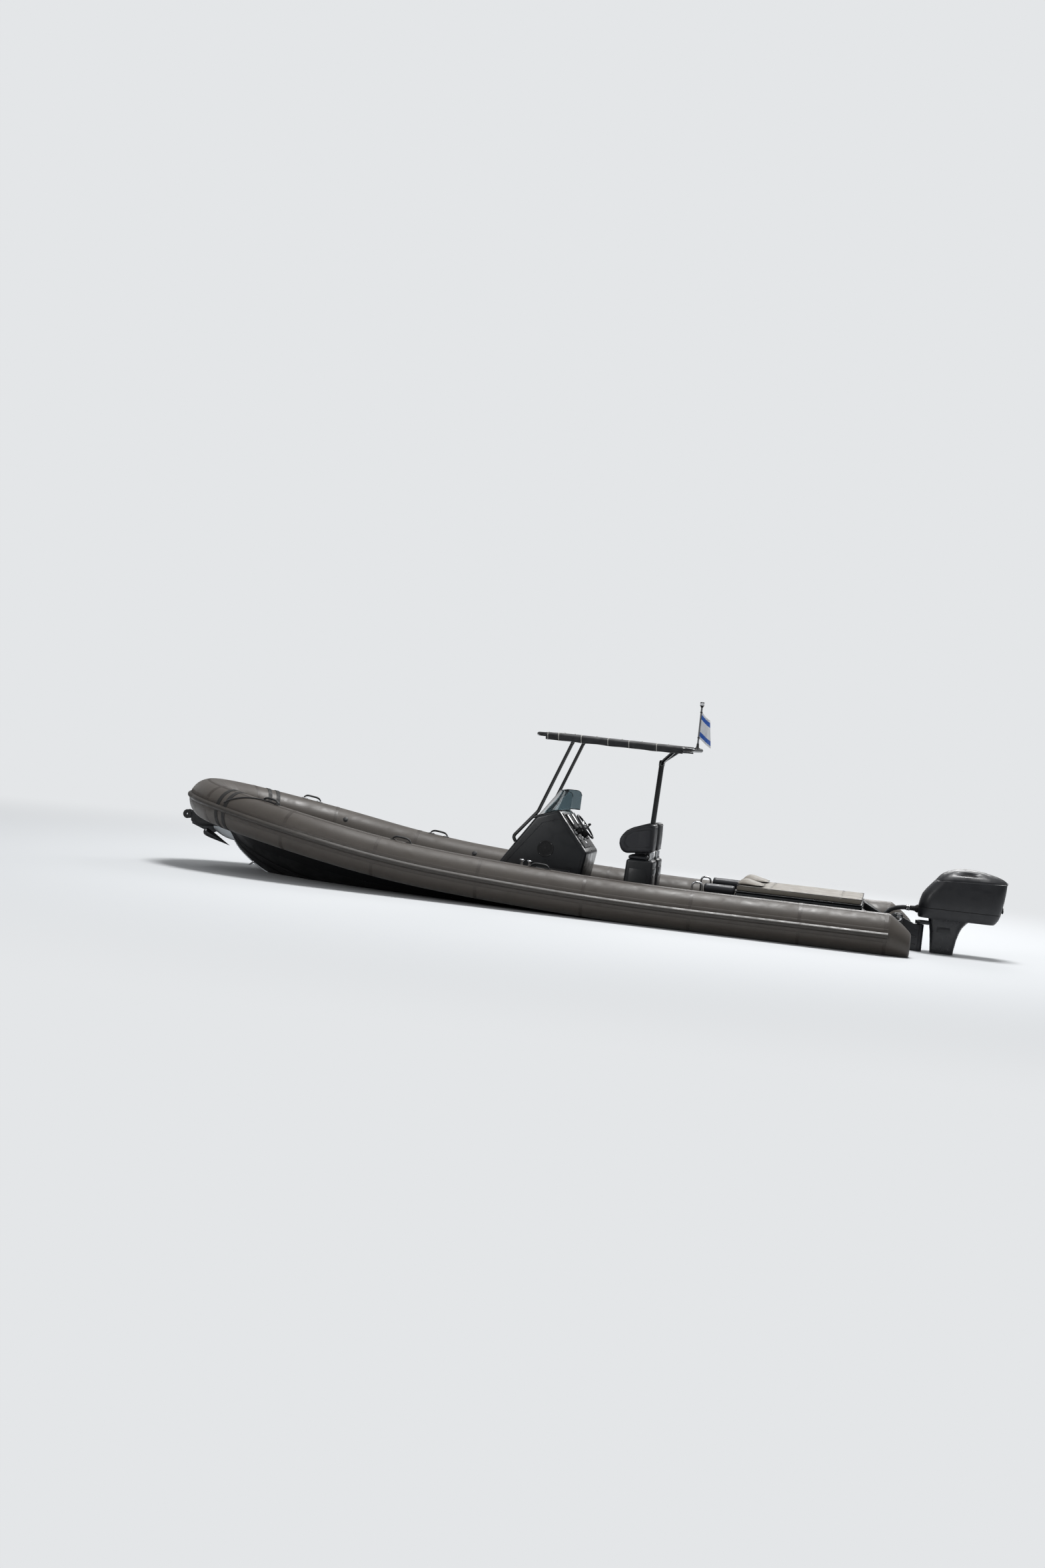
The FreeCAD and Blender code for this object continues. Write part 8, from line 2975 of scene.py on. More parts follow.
    def skeg(self, maker: Maker, axis: Vector) -> None:
        """The skeg under the bullet, thick at its root and fine at its foot.

        Args:
            maker: The piece that gets it.
            axis: The bullet's rear end.
        """
        rings = []
        for step in range(9):
            share = step / 8
            level = axis.z - 0.03 + (self.skeg_low - axis.z + 0.03) * share
            front = axis.x + 0.36 - 0.25 * share - 0.03 * math.sin(share * math.pi)
            back = axis.x + 0.03 - 0.04 * share
            half = 0.009 - 0.005 * share
            rings.append([Vector((back + (front - back) * along, width * half, level))
                          for along, width in self.skeg_section])
        maker.rings(rings)

    def propeller(self) -> None:
        """The three-blade propeller: a flared exhaust hub and skewed, cupped blades."""
        maker = Maker("polished_propeller", STAINLESS)
        start = Vector((self.prop_x, 0, self.shaft_level))
        maker.lathe(self.hub_profile, start, -FORWARD, 0, 48)
        for turn in turns(3):
            self.blade(maker, start, Matrix.Rotation(turn, 4, "X"))
        maker.finished("propeller", ("propeller",), crease=50)

    def blade(self, maker: Maker, start: Vector, spin: Matrix) -> None:
        """One skewed blade.

        Args:
            maker: The piece that gets it.
            start: The hub's front.
            spin: The blade's turn about the shaft.
        """
        rings = []
        stations = 14
        for step in range(stations):
            share = step / (stations - 1)
            radius = self.blade_root + (self.prop_radius - 0.003 - self.blade_root) * share
            chord = 0.098 + 0.105 * math.sin(min(share * 1.12, 1.0) * math.pi * 0.62)
            if share >= 0.92:
                chord = 0.19 * math.sqrt(max(1 - ((share - 0.62) / 0.385) ** 2, 0.012))
            pitch = math.atan2(self.blade_pitch / math.tau, radius * 0.9)
            thick = 0.010 * (1 - share) + 0.0022
            ring = []
            for turn in turns(18):
                along = math.cos(turn) * chord / 2 - 0.014 + 0.028 * share
                lift = math.sin(turn) * thick / 2 + 0.006 * (2 * along / max(chord, 0.02)) ** 2
                x = -along * math.sin(pitch) + lift * math.cos(pitch)
                arc = (along * math.cos(pitch) + lift * math.sin(pitch)) / max(radius, 0.03)
                ring.append(Vector((-self.hub_length * 0.47 + x * 0.9, math.sin(arc) * radius,
                                    math.cos(arc) * radius)))
            rings.append([start + spin @ point for point in ring])
        maker.rings(rings)

    def swivel(self) -> None:
        """The swivel bracket: tilt tube with its nuts, web and the steering shaft's housing."""
        maker = Maker("swivel_casting", ENGINE_CASTING, STAINLESS)
        tilt = Vector((self.tilt[0], 0, self.tilt[1]))
        reach = self.clamp_inner + self.clamp_thick + 0.008
        maker.cylinder(tilt - PORTWARD * (reach - 0.004), tilt + PORTWARD * (reach - 0.004), 0.0218, 1,
                       steps=28, round_by=0.002)
        half = self.clamp_inner - 0.006
        maker.cylinder(tilt - PORTWARD * half, tilt + PORTWARD * half, 0.038, 0, steps=32, round_by=0.004)
        steer, (bottom, top) = self.steer_x, self.steer_ends
        maker.cylinder((steer, 0, bottom), (steer, 0, top), 0.05, 0, steps=32, round_by=0.005)
        side = [(tilt.x + 0.02, tilt.z - 0.034), (tilt.x, tilt.z + 0.03), (tilt.x - 0.04, tilt.z + 0.01),
                (steer + 0.075, top), (steer, top), (steer, bottom), (steer + 0.04, bottom),
                (tilt.x - 0.09, -0.06)]
        maker.prism(side, -half * 0.55, half * 0.55, "y", 0.012, 0, 3)
        for low in self.steer_ribs:
            for across in (-1, 1):
                maker.box((steer + 0.1, across * half * 0.56, low), (0.15, 0.010, 0.012), 0.0045, 0)
        maker.finished("engine_bracket", ("swivel_bracket",), crease=36)

    def clamp(self) -> None:
        """The clamp bracket's two arms over the transom, with their bolts and tilt tube nuts."""
        maker = Maker("clamp_arm_pair", ENGINE_CASTING, STAINLESS)
        (back, thick), (low, top) = self.transom, self.clamp_levels
        tilt = self.tilt
        side = [(back, low), (back, top), (back + thick + 0.002, top), (back + thick + 0.002, top - 0.17),
                (back + thick + 0.03, top - 0.17), (back + thick + 0.03, top + 0.034),
                (tilt[0] + 0.06, tilt[1] + 0.046), (tilt[0] - 0.04, tilt[1] + 0.046),
                (tilt[0] - 0.052, tilt[1] - 0.02), (back - 0.07, low + 0.12), (back - 0.046, low)]
        outer = self.clamp_inner + self.clamp_thick
        maker.prism(side, self.clamp_inner, outer, "y", 0.006, 0, 3)
        web = [(back - 0.004, low + 0.1), (back - 0.004, top - 0.06), (tilt[0] + 0.02, tilt[1] - 0.06),
               (back - 0.05, low + 0.14)]
        maker.prism(web, outer - 0.004, outer + 0.006, "y", 0.004, 0, 2)
        nut = Vector((tilt[0], outer - 0.001, tilt[1]))
        maker.cylinder(nut, nut + PORTWARD * 0.008, 0.034, 1, steps=28, round_by=0.001)
        for high in self.bolt_levels:
            inside = high > 0.15
            start = Vector((back + (thick + 0.001 if inside else -0.03), self.clamp_inner + 0.017, high))
            heading = FORWARD if inside else -FORWARD
            maker.cylinder(start + heading * 0.028, start + heading * 0.038, 0.011, 1, steps=6,
                           round_by=0.001)
        maker.mirrored()
        maker.finished("hull", ("clamp_bracket",), crease=36)

    def hose(self) -> None:
        """The corrugated rigging hose from the deck to its collar, and the boot from there to the cowl."""
        route = [Vector((x, self.hose_side, z)) for x, z in self.hose_route]
        line = spline_line("hose_route", route)
        maker = Maker("rigging_hose_sleeve", HOSE_RUBBER)
        radius = self.hose_radius
        length = sum((after - before).length for before, after in zip(line, line[1:]))
        ridges = round(length / self.ridge_step)

        def ribbed(share: float) -> float:
            """The radius of the ridged sleeve at a share of its length."""
            return radius - 0.0026 + 0.0026 * math.cos(share * ridges * math.tau) ** 2

        maker.tube(resampled(line, ridges * 6), ribbed, 0, 24)
        sleeve = maker.finished("", ("rigging_hose",), crease=60)
        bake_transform(sleeve)
        collar = Maker("rigging_hose_collar", NYLON, STAINLESS)
        end = Vector((self.steer_x + 0.165, self.hose_side, self.hose_level))
        collar.lathe(self.collar_profile, end, FORWARD, 0, 32)
        for off in (-0.012, 0.012):
            collar.lathe(self.hose_clip, end + FORWARD * off, FORWARD, 1, 32)
        collar_piece = collar.finished("engine_bracket")
        boot = Maker("rigging_hose_boot", HOSE_RUBBER)
        run = self.steer_x + 0.049
        rings = []
        for step in range(61):
            share = step / 60
            wave = 0.0032 * math.cos(share * 7 * math.tau)
            wide = radius + 0.001 + 0.008 * share ** 2 + (wave if 0.08 < share < 0.96 else 0.0)
            middle = Vector((end.x + (run - end.x) * share, self.hose_side, self.hose_level))
            rings.append([middle + PORTWARD * (math.cos(turn) * wide) + UP * (math.sin(turn) * wide)
                          for turn in turns(28)])
        boot.rings(rings)
        bellows = boot.finished("", crease=60)
        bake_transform(bellows)
        gland = Maker("hose_deck_gland", NYLON, STAINLESS)
        gland.lathe(self.gland_profile, line[0], UP, 0, 32)
        gland.finished("hull")


@dataclass
class HelmSeats:
    """The two helm seats: boxes, posts, cushions and wraparound bolsters."""

    middle: float = 0.33
    half: float = 0.23
    back: float = -1.385
    front: float = -0.95
    well_back: float = -1.32
    well_half: float = 0.165
    trim: float = 0.010
    box_side: Pairs = ((-1.40, 0.05), (-1.40, 0.74), (-1.07, 0.74), (-1.04, 0.05))
    # The box's door and its seal, the side panels and the kick pad: middle and extent
    door: tuple[tuple[float, float], tuple[float, float, float]] = ((-1.4015, 0.40), (0.008, 0.35, 0.50))
    seal: tuple[tuple[float, float], tuple[float, float, float]] = ((-1.399, 0.40), (0.006, 0.362, 0.512))
    side_panel: tuple[tuple[float, float], tuple[float, float, float]] = (
        (-1.225, 0.40), (0.22, 0.006, 0.46))
    kick_pad: tuple[tuple[float, float], tuple[float, float, float]] = (
        (-1.052, 0.33), (0.008, 0.34, 0.40))
    latch_profile: Pairs = ((0.0, 0.02), (0.003, 0.02), (0.004, 0.018), (0.0045, 0.001))
    latch_place: tuple[float, float, float] = (-1.4055, 0.13, 0.56)
    post_x: float = -1.3525
    post_half: float = 0.12
    post_collar: Pairs = (
        (0.0, 0.0195), (0.012, 0.0195), (0.016, 0.0178), (0.0165, 0.0168))
    # Place and level of the bolster's lower and upper edge
    low_edge: Pairs = (
        (-1.39, 0.848), (-1.06, 0.812), (-1.02, 0.822), (-0.985, 0.852), (-0.965, 0.895), (-0.955, 0.935))
    high_edge: Pairs = (
        (-1.39, 1.188), (-1.3, 1.186), (-1.2, 1.168), (-1.1, 1.13), (-1.03, 1.085), (-0.985, 1.03),
        (-0.962, 0.985), (-0.955, 0.965))
    side_levels: tuple[float, ...] = (0.06, 0.25, 0.5, 0.75, 0.93)
    seam_numbers: tuple[int, ...] = (14, 29, 43, 58)
    panel_corners: Pairs = (
        (-1.350, 0.908), (-1.072, 0.876), (-1.020, 0.935), (-1.036, 1.020), (-1.120, 1.078),
        (-1.290, 1.122), (-1.350, 1.122))
    cushion: tuple[float, float, float] = (0.222, 0.300, 0.044)
    cushion_middle: tuple[float, float, float] = (-1.192, 0.0, 0.7635)

    def build(self) -> None:
        """Builds both seats."""
        bolster, welts = self.bolster_form()
        cushion = self.cushion_form()
        for side, sign in SIDES:
            self.box(side, sign)
            self.posts(side, sign)
            self.placed("seat_bolster_" + side, "padded_bolster_" + side, bolster, sign)
            self.placed("seat_cushion_" + side, "padded_seat_" + side, cushion, sign)
            shift = PORTWARD * (sign * self.middle)
            maker = Maker("bolster_welts_" + side, PIPING)
            for line in welts:
                maker.tube([point + shift for point in line], 0.0035, 0, 8)
            maker.finished("hull", crease=60)
        self.stitches(welts)

    def placed(self, node: str, name: str, form: bpy.types.Mesh, sign: int) -> None:
        """Puts a copy of a padded form in one seat.

        Args:
            node: The node that it stands for.
            name: Its name.
            form: The form, about the seat's own middle.
            sign: One to port and minus one to starboard.
        """
        data = form.copy()
        data.transform(Matrix.Translation(PORTWARD * (sign * self.middle)))
        settled(name, data, (VINYL, PIPING), "hull", (node,), 60)

    def box(self, side: str, sign: int) -> None:
        """The moulded seat box with its door, latch and kick pad.

        Args:
            side: The side's name.
            sign: One to port and minus one to starboard.
        """
        maker = Maker("seat_box_moulding_" + side, PAINTED_MOULDING, STAINLESS, GASKET_AND_PAINTED_SHADE)
        y = sign * self.middle
        maker.prism(self.box_side, y - self.half, y + self.half, "y", 0.03, 0, 4)
        for ((x, level), extent), round_by, finish in ((self.door, 0.0035, 0), (self.seal, 0.002, 2)):
            maker.box((x, y, level), extent, round_by, finish)
        x, across, level = self.latch_place
        maker.lathe(self.latch_profile, (x, y + across, level), -FORWARD, 1, 24)
        (x, level), extent = self.side_panel
        for face in (-1, 1):
            maker.box((x, y + face * (self.half + 0.0015), level), extent, 0.0026)
        lean = Matrix.Rotation(-math.atan2(0.03, 0.69), 3, "Y")
        (x, level), extent = self.kick_pad
        maker.box((x, y, level), extent, 0.003, 0, lean)
        maker.finished("hull", ("seat_box_" + side,), crease=36)

    def posts(self, side: str, sign: int) -> None:
        """The polished bolster posts on their base bar.

        Args:
            side: The side's name.
            sign: One to port and minus one to starboard.
        """
        maker = Maker("bolster_post_pair_" + side, STAINLESS)
        y = sign * self.middle
        for off in (-self.post_half, self.post_half):
            foot = Vector((self.post_x, y + off, 0.741))
            maker.cylinder(foot, foot + UP * 0.092, 0.0168, 0, steps=24)
            maker.lathe(self.post_collar, foot + UP * 0.01, UP, 0, 24)
        maker.box((self.post_x, y, 0.7465), (0.04, 0.30, 0.0115), 0.004, 0)
        maker.finished("hull", ("seat_posts_" + side,), crease=40)

    def bolster_form(self) -> tuple[bpy.types.Mesh, list[list[Vector]]]:
        """The wraparound bolster about the seat's own middle, with its welt lines.

        Returns:
            The form's mesh and its welt lines.
        """
        maker = Maker("bolster_form", VINYL)
        trim, count = self.trim, 72
        back, front, half = self.back + trim, self.front - trim, self.half - trim
        well_back, well = self.well_back - 0.004, self.well_half + trim * 0.6
        outer = resampled(rounded_line([(front, -half, 0), (back, -half, 0), (back, half, 0),
                                        (front, half, 0)],
                                       0.075, 8), count)
        inner = resampled(rounded_line([(front, -well, 0), (well_back, -well, 0), (well_back, well, 0),
                                        (front, well, 0)], 0.05, 8), count)

        def low(x: float) -> float:
            """The bolster's lower edge at a place."""
            return between(self.low_edge, x)

        def high(x: float) -> float:
            """The bolster's upper edge at a place."""
            return between(self.high_edge, x)

        rings = []
        for number in range(count + 1):
            far, near = outer[number], inner[number]
            bottom, top = low(far.x), high(far.x)
            low_near, top_near = low(near.x), high(near.x)
            thick = (far - near).length
            crown = min(0.028, thick * 0.42)
            ring = []
            for level in self.side_levels:
                bulge = (far - near).normalized() * (0.004 * math.sin(level * math.pi))
                ring.append(Vector((far.x, far.y, 0)) + bulge
                            + UP * (bottom + (top - crown - bottom) * level))
            for step in range(1, 6):
                turn = math.pi * step / 6
                share = 0.5 + 0.5 * math.cos(turn)
                middle = near.lerp(far, share)
                rise = top_near + (top - top_near) * share - crown + math.sin(turn) * crown
                ring.append(Vector((middle.x, middle.y, rise)))
            for level in reversed(self.side_levels):
                ring.append(Vector((near.x, near.y, low_near + (top_near - crown - low_near) * level)))
            for step in (1, 2, 3):
                share = step / 4
                middle = near.lerp(far, share)
                dip = low_near + (bottom - low_near) * share
                ring.append(Vector((middle.x, middle.y, dip - 0.006 * math.sin(share * math.pi))))
            rings.append(ring)
        maker.rings(rings)
        data = as_data(maker.mesh, "bolster_form")
        welts = self.welts(outer, inner, low, high)

        def held(place: Vector) -> float:
            """Firm along the panel seams, free between them."""
            nearest = min((place - point).length for line in welts + self.seams(outer, low, high)
                          for point in line[::3])
            return 1.0 if nearest < 0.009 else 0.0

        filled = smoothed(puffed(data, held, swell=0.013, voxel=0.010))
        panel = self.panel()
        edges = list(zip(panel, panel[1:] + panel[:1]))
        before = [(vertex.co.copy(), vertex.normal.copy()) for vertex in filled.vertices]
        for vertex, (place, normal) in zip(filled.vertices, before):
            if abs(normal.y) < 0.5 or abs(place.y) < self.well_half + 0.02 or place.y * normal.y < 0:
                continue
            inside = min(((place.x - start.x) * (start.z - end.z) + (place.z - start.z) * (end.x - start.x))
                         / math.hypot(end.x - start.x, end.z - start.z) for start, end in edges)
            deep = min(max((inside + 0.004) / 0.014, 0.0), 1.0)
            shift = 0.003 * math.exp(-((inside + 0.032) / 0.018) ** 2)
            shift -= 0.0075 * deep * deep * (3 - 2 * deep)
            vertex.co += normal * (shift - 0.003 * math.exp(-(inside / 0.0045) ** 2))
        for side in (-1, 1):
            welts.append([Vector((point.x, side * (half - 0.001), point.z)) for point in panel + panel[:1]])
        return filled, welts

    def panel(self) -> list[Vector]:
        """The outline of the panel let into each outer side, inside the rolled rim."""
        corners = [Vector((x, 0, z)) for x, z in self.panel_corners]
        return resampled(rounded_line(corners, 0.028, 6, looped=True), 64)[:-1]

    def welts(self, outer: Sequence[Vector], inner: Sequence[Vector], low: Callable[[float], float],
              high: Callable[[float], float]) -> list[list[Vector]]:
        """The piping lines along the bolster's rims.

        Args:
            outer: Its outer plan line.
            inner: Its inner plan line.
            low: Its lower edge.
            high: Its upper edge.

        Returns:
            The lines.
        """
        lines = []
        for plan, opposite in ((outer, inner), (inner, outer)):
            for edge, off in ((high, -0.030), (low, 0.014)):
                line = []
                for point, other in zip(plan, opposite):
                    away = (point - other).normalized()
                    line.append(Vector((point.x, point.y, edge(point.x) + off)) + away * 0.0035)
                lines.append(line[2:-2])
        return lines

    def seams(self, outer: Sequence[Vector], low: Callable[[float], float],
              high: Callable[[float], float]) -> list[list[Vector]]:
        """The upright seams round the bolster's outside.

        Args:
            outer: Its outer plan line.
            low: Its lower edge.
            high: Its upper edge.

        Returns:
            The lines.
        """
        lines = []
        for number in self.seam_numbers:
            point = outer[number]
            lines.append([Vector((point.x, point.y,
                                  low(point.x) + (high(point.x) - low(point.x)) * share / 12))
                          for share in range(1, 12)])
        return lines

    def cushion_form(self) -> bpy.types.Mesh:
        """The seat cushion about the seat's own middle.

        Returns:
            The form's mesh.
        """
        block = rounded_block(self.cushion, 0.016, 4, 0.6)
        bmesh.ops.translate(block, vec=self.cushion_middle, verts=block.verts)
        data = as_data(block, "cushion_form")

        def held(place: Vector) -> float:
            """Firm at the base and along the middle channel."""
            return 1.0 if place.z < 0.748 or abs(place.x + 1.19) < 0.004 else 0.0

        return smoothed(puffed(data, held, swell=0.012, voxel=0.007))

    def stitches(self, welts: Sequence[Sequence[Vector]]) -> None:
        """The double stitching beside the welts.

        Args:
            welts: The welt lines about a seat's own middle.
        """
        lines = []
        for sign in (-1, 1):
            shift = PORTWARD * (sign * self.middle)
            lines += [[point + shift - UP * 0.010 for point in line] for line in (welts[0], welts[2])]
        Repeat(Repeated.STITCH, THREAD, 0.0007, 0.005, 0.0075).along("bolster_stitching", lines, "hull")


@dataclass
class Sunbed:
    """The aft sunbed: locker, lid, sewn pad, sculpted headrests, armrest rolls and grab hoops."""

    back: float = -3.985
    front: float = -2.45
    half: float = 0.75
    locker_top: float = 0.499
    pad_low: float = 0.521
    pad_top: float = 0.596
    head_middle: float = 0.48
    head_half: float = 0.23
    roll: tuple[float, float, float, float] = (-2.449, -2.06, 0.69, 0.51)
    hoop: tuple[float, float, float, float] = (-2.038, -1.918, 0.66, 0.56)
    locker_foot: float = 0.052
    lid_level: float = 0.5103
    lid_thick: float = 0.0194
    side_panel: tuple[float, float, float] = (0.60, 0.008, 0.30)
    panel_level: float = 0.285
    # Vent slats: place across, lowest level, step and extent
    vent: tuple[float, float, float] = (0.42, 0.16, 0.028)
    slat: tuple[float, float, float] = (0.008, 0.24, 0.010)
    # The blank plate at the front: place across, level and extent
    blank: tuple[float, float] = (-0.28, 0.27)
    blank_extent: tuple[float, float, float] = (0.008, 0.44, 0.28)
    tab_places: tuple[float, ...] = (-0.35, 0.35)
    hinge_places: tuple[float, ...] = (-0.55, 0.0, 0.55)
    hinge_level: float = 0.4948
    pad_trim: float = 0.011
    long_seams: tuple[float, ...] = (-0.25, 0.25)
    cross_seams: tuple[float, ...] = (-3.72, -2.86)
    # Place and level of the headrest's outside
    head_side: Pairs = (
        (-2.785, 0.602), (-2.762, 0.616), (-2.72, 0.627), (-2.665, 0.637), (-2.61, 0.650), (-2.57, 0.660),
        (-2.535, 0.661), (-2.505, 0.652), (-2.480, 0.634), (-2.468, 0.612), (-2.468, 0.603))
    head_foot: float = 0.602
    head_centre: float = -2.62
    head_welt: tuple[float, float, float, float] = (-2.464, -2.782, 0.215, 0.606)
    roll_end: Pairs = (
        (0.004, 0.001), (0.004, 0.024), (0.008, 0.040), (0.018, 0.0525), (0.032, 0.057))
    roll_seam: float = 0.018
    hoop_flange: Pairs = (
        (0.0, 0.027), (0.004, 0.027), (0.006, 0.024), (0.009, 0.016), (0.02, 0.0118))
    hoop_bar: float = 0.0118

    def __post_init__(self) -> None:
        """Works out the bed's length and middle."""
        self.length = self.front - self.back
        self.middle = (self.front + self.back) / 2

    def build(self) -> None:
        """Builds every piece of the sunbed."""
        self.locker()
        self.lid()
        self.pad()
        self.headrests()
        self.rolls()
        self.hoops()

    def locker(self) -> None:
        """The locker under the bed with its kick, side panels, vents and a blank plate."""
        maker = Maker("sunbed_locker_moulding", PAINTED_MOULDING, GASKET_AND_PAINTED_SHADE, STAINLESS)
        length, middle, foot = self.length, self.middle, self.locker_foot
        maker.box((middle, 0, (foot + self.locker_top) / 2),
                  (length, 2 * self.half, self.locker_top - foot), 0.022, segments=4)
        maker.box((middle, 0, foot + 0.01), (length + 0.006, 2 * self.half + 0.006, 0.022), 0.004, 1)
        for side in (-1, 1):
            for x in (self.back + 0.38, middle + 0.36):
                maker.box((x, side * self.half, self.panel_level), self.side_panel, 0.0035)
                maker.lathe(button(0.019), (x + 0.24, side * (self.half + 0.004), 0.38), PORTWARD * side,
                            2, 24)
        across, low, step = self.vent
        for row in range(7):
            maker.box((self.front + 0.0005, across, low + step * row), self.slat, 0.003, 1,
                      Matrix.Rotation(0.35, 3, "Y"))
        maker.box((self.front, *self.blank), self.blank_extent, 0.0035)
        maker.lathe(button(0.019), (self.front + 0.004, -0.10, 0.36), FORWARD, 2, 24)
        maker.finished("hull", ("sunbed_locker",), crease=36)

    def lid(self) -> None:
        """The bed's lid with its front lip, hinges and a lifting tab."""
        maker = Maker("sunbed_lid_board", PAINTED_MOULDING, STAINLESS)
        maker.box((self.middle, 0, self.lid_level), (self.length, 2 * self.half, self.lid_thick), 0.008, 0,
                  None, 3)
        for across in self.tab_places:
            maker.box((self.front + 0.004, across, 0.512), (0.008, 0.07, 0.012), 0.003, 1)
        maker.finished("sunbed_top", ("sunbed_lid",), crease=36)
        hinge = Maker("sunbed_hinges", STAINLESS)
        for across in self.hinge_places:
            start = Vector((self.back - 0.0045, across - 0.05, self.hinge_level))
            hinge.cylinder(start, start + PORTWARD * 0.1, 0.0046, 0, steps=16, round_by=0.001)
            hinge.box((self.back - 0.002, across, 0.478), (0.004, 0.09, 0.034), 0.0015, 0)
        hinge.finished("hull", crease=40)

    def pad_seams(self) -> list[tuple[Vector, Vector]]:
        """The seams sewn through the pad's top, as starts and ends."""
        top = self.pad_top
        lines = [(Vector((self.back, y, top)), Vector((self.front, y, top))) for y in self.long_seams]
        lines += [(Vector((x, -self.half, top)), Vector((x, self.half, top))) for x in self.cross_seams]
        return lines

    def pad(self) -> None:
        """The pad, sewn in panels over its foam, with welts round both edges."""
        trim, middle = self.pad_trim, self.middle
        block = rounded_block((self.length - 2 * trim, 2 * (self.half - trim),
                               self.pad_top - self.pad_low - trim), 0.016, 4, 0.55)
        bmesh.ops.translate(block, vec=(middle, 0, (self.pad_top + self.pad_low - trim) / 2 + 0.001),
                            verts=block.verts)
        data = as_data(block, "pad_form")
        seams = self.pad_seams()

        def held(place: Vector) -> float:
            """Firm on the lid and along the sewn channels."""
            if place.z < self.pad_low + 0.008:
                return 1.0
            rim = max(abs(place.x - middle) - self.length / 2, abs(place.y) - self.half) > -0.016
            if rim and abs(place.z - self.pad_top + 0.014) < 0.007:
                return 1.0
            near = min(near_line(Vector((place.x, place.y, self.pad_top)), start, end)
                       for start, end in seams)
            return 1.0 if near < 0.008 and place.z > 0.57 else 0.0

        filled = puffed(data, held, swell=0.011, voxel=0.0175)
        for vertex in filled.vertices:
            place = vertex.co
            if place.z > 0.56:
                near = min(near_line(Vector((place.x, place.y, self.pad_top)), start, end)
                           for start, end in seams)
                place.z -= 0.006 * math.exp(-(near / 0.011) ** 2)
                place.z += 0.0012 * noise.noise(Vector((place.x * 6, place.y * 6, 1.0)))
        made = settled("sewn_sunbed_pad", smoothed(filled), (SUNBED_FABRIC,), "sunbed_top",
                       ("sunbed_cushion",), 60)
        welts = Maker("sunbed_pad_welts", PIPING)
        x, y, level = self.length / 2 - trim, self.half - trim, self.pad_top - 0.014
        loop = rounded_line([(middle + x, -y, level), (middle + x, y, level), (middle - x, y, level),
                             (middle - x, -y, level)], 0.022, 6, looped=True)
        welts.tube(loop, 0.0042, 0, 8, looped=True)
        welts.finished("sunbed_top", crease=60)
        lines = []
        for start, end in seams:
            run = (end - start).normalized()
            across = run.cross(UP) * 0.007
            for off in (-1, 1):
                lines.append([start.lerp(end, 0.02 + 0.96 * step / 60) + across * off - UP * 0.0115
                              for step in range(61)])
        Repeat(Repeated.STITCH, THREAD, 0.0008, 0.006, 0.009).along("sunbed_stitching", lines, "sunbed_top")

    def head_form(self) -> bpy.types.Mesh:
        """One sculpted headrest about the bed's own middle line.

        Returns:
            The form's mesh.
        """
        maker = Maker("head_form", VINYL)
        steps = 22
        rings = []
        for step in range(steps + 1):
            across = -1 + 2 * step / steps
            drop = max(0.0, abs(across) - 0.72) / 0.28
            shrink = 1 - 0.75 * drop ** 2.6
            inset = 0.03 * drop ** 2
            ring = []
            for x, z in self.head_side:
                ring.append(Vector((self.head_centre + (x - self.head_centre) * (1 - inset),
                                    across * (self.head_half - 0.010),
                                    self.head_foot + (z - self.head_foot) * shrink)))
            low = [Vector((point.x, point.y, 0.6005))
                   for point in (ring[-1], ring[len(ring) // 2], ring[0])]
            rings.append(ring + low)
        maker.rings(rings)
        bmesh.ops.recalc_face_normals(maker.mesh, faces=maker.mesh.faces)
        data = as_data(maker.mesh, "head_form")

        def held(place: Vector) -> float:
            """Firm on the pad and along the cross channel."""
            return 1.0 if place.z < 0.608 or abs(place.x + 2.69) < 0.004 else 0.0

        return smoothed(puffed(data, held, swell=0.010, voxel=0.0095))

    def headrests(self) -> None:
        """Both headrests, sewn to the pad's forward end."""
        form = self.head_form()
        front, back, reach, level = self.head_welt
        maker = Maker("sculpted_headrests", SUNBED_FABRIC, PIPING)
        for sign in (-1, 1):
            data = form.copy()
            data.transform(Matrix.Translation(PORTWARD * (sign * self.head_middle)))
            maker.mesh.from_mesh(data)
            y = sign * self.head_middle
            loop = rounded_line([(front, y - reach, level), (front, y + reach, level),
                                 (back, y + reach, level),
                                 (back, y - reach, level)], 0.03, 6, looped=True)
            maker.tube(loop, 0.0036, 1, 8, looped=True)
        maker.finished("sunbed_top", ("headrests",), crease=60)

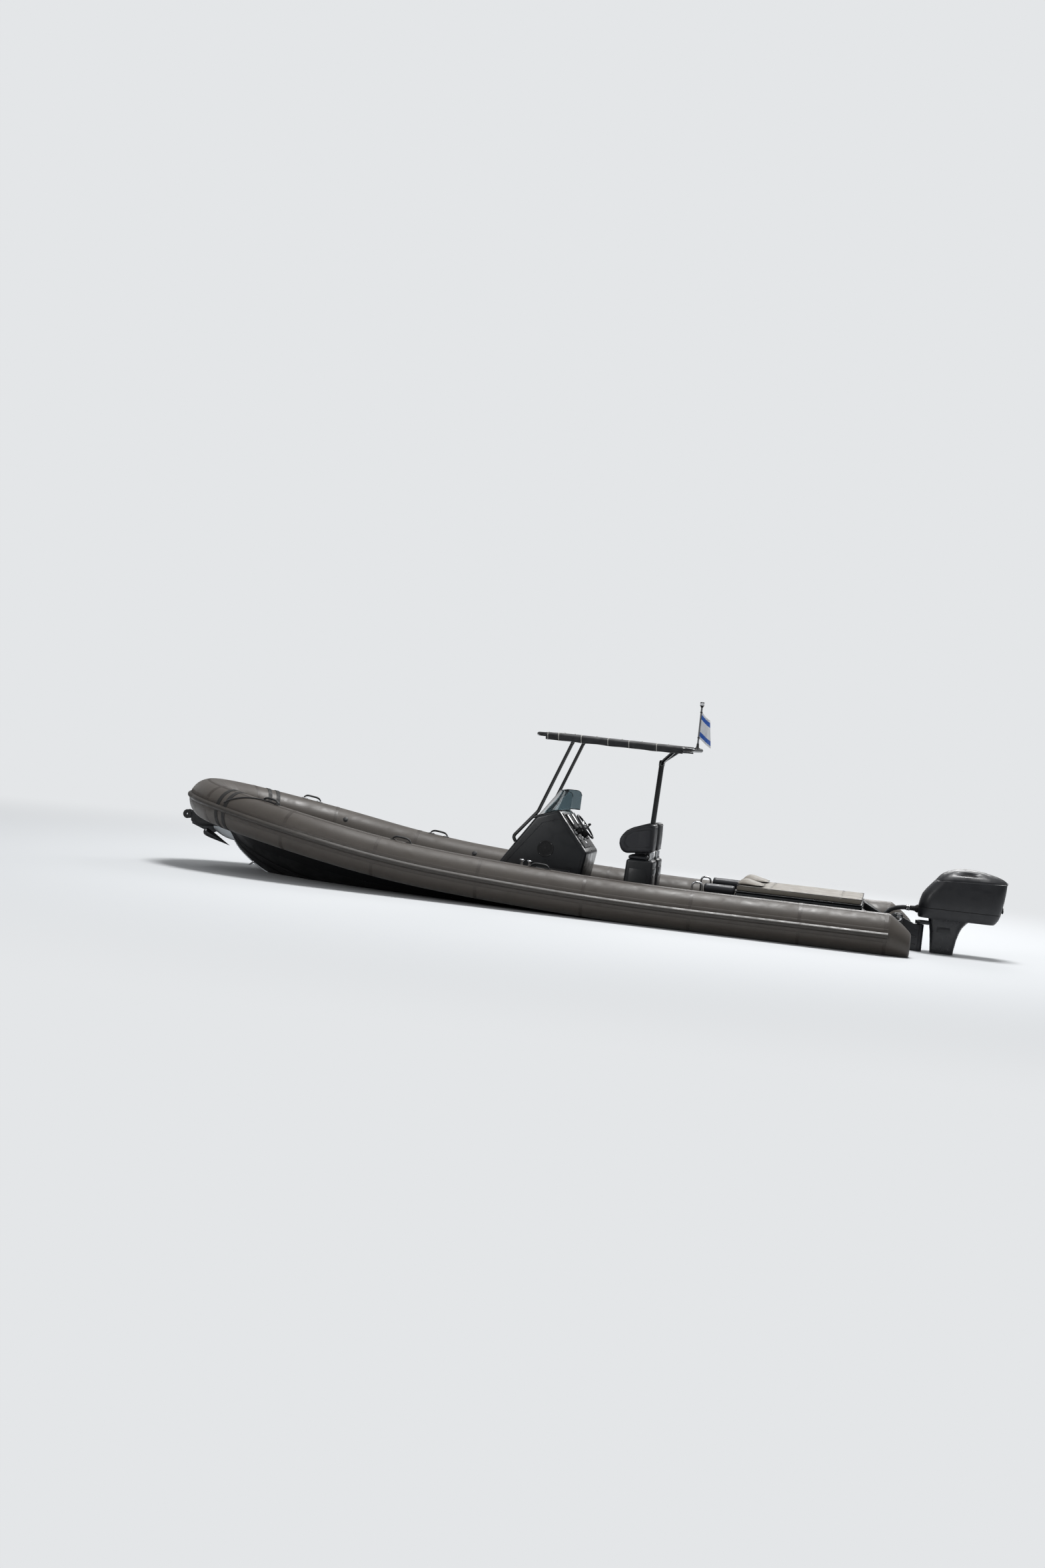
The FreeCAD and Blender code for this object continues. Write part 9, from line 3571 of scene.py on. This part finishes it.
    def rolls(self) -> None:
        """The armrest rolls at the bed's foot, with piped ends and a lengthwise seam."""
        start, end, across, level = self.roll
        length, seam = end - start, self.roll_seam
        body = [(0.032 + (length - 0.064) * step / 24, 0.0572) for step in range(1, 24)]
        profile = [*self.roll_end, *body, *((length - along, wide)
                                            for along, wide in reversed(self.roll_end))]
        maker = Maker("roll_form", VINYL)
        maker.lathe(profile, (start, 0, level), FORWARD, 0, 48)
        data = as_data(maker.mesh, "roll_form")

        def held(place: Vector) -> float:
            """Firm round the end seams."""
            return 1.0 if min(abs(place.x - start - seam), abs(end - seam - place.x)) < 0.004 else 0.0

        form = smoothed(puffed(data, held, swell=0.005, voxel=0.0075))
        for side, sign in SIDES:
            moved = form.copy()
            moved.transform(Matrix.Translation(PORTWARD * (sign * across)))
            settled("padded_roll_" + side, moved, (VINYL,), "hull", ("armrest_roll_" + side,),
                              60)
            maker = Maker("roll_welts_" + side, PIPING, NYLON)
            for x in (start + seam, end - seam):
                loop = [Vector((x, sign * across + math.cos(turn) * 0.0545,
                                level + math.sin(turn) * 0.0545))
                        for turn in turns(40)]
                maker.tube(loop, 0.0036, 0, 8, looped=True)
            maker.box(((start + end) / 2, sign * across, level - 0.0595), (length * 0.8, 0.05, 0.006),
                      0.002, 1)
            maker.finished("hull", crease=60)

    def hoops(self) -> None:
        """The polished grab hoops ahead of the rolls, with their foot flanges."""
        back, front, across, top = self.hoop
        maker = Maker("polished_grab_hoops", STAINLESS)
        for sign in (-1, 1):
            line = rounded_line([(back, sign * across, 0.051), (back, sign * across, top),
                                 (front, sign * across, top),
                                 (front, sign * across, 0.051)], 0.045, 10)
            maker.tube(resampled(line, 90), self.hoop_bar, 0, 18)
            for x in (back, front):
                maker.lathe(self.hoop_flange, (x, sign * across, 0.0505), UP, 0, 26)
        maker.finished("hull", ("grab_hoops",), crease=44)


ASSEMBLIES = (TubeCollar(), DeepHull(), BowGear(), Console(), Canopy(), HelmSeats(), Sunbed(), Outboard())


def main() -> None:
    """Builds every sub-assembly in order, then the studio."""
    logging.basicConfig(level=logging.INFO, format="%(name)s %(message)s")
    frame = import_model()
    NODES.update(frame["nodes"])
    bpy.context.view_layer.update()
    for assembly in ASSEMBLIES:
        LOG.info("building the %s", assembly.__class__.__name__)
        assembly.build()
    Studio().build()
    bpy.context.view_layer.update()


if __name__ == "__main__":
    main()
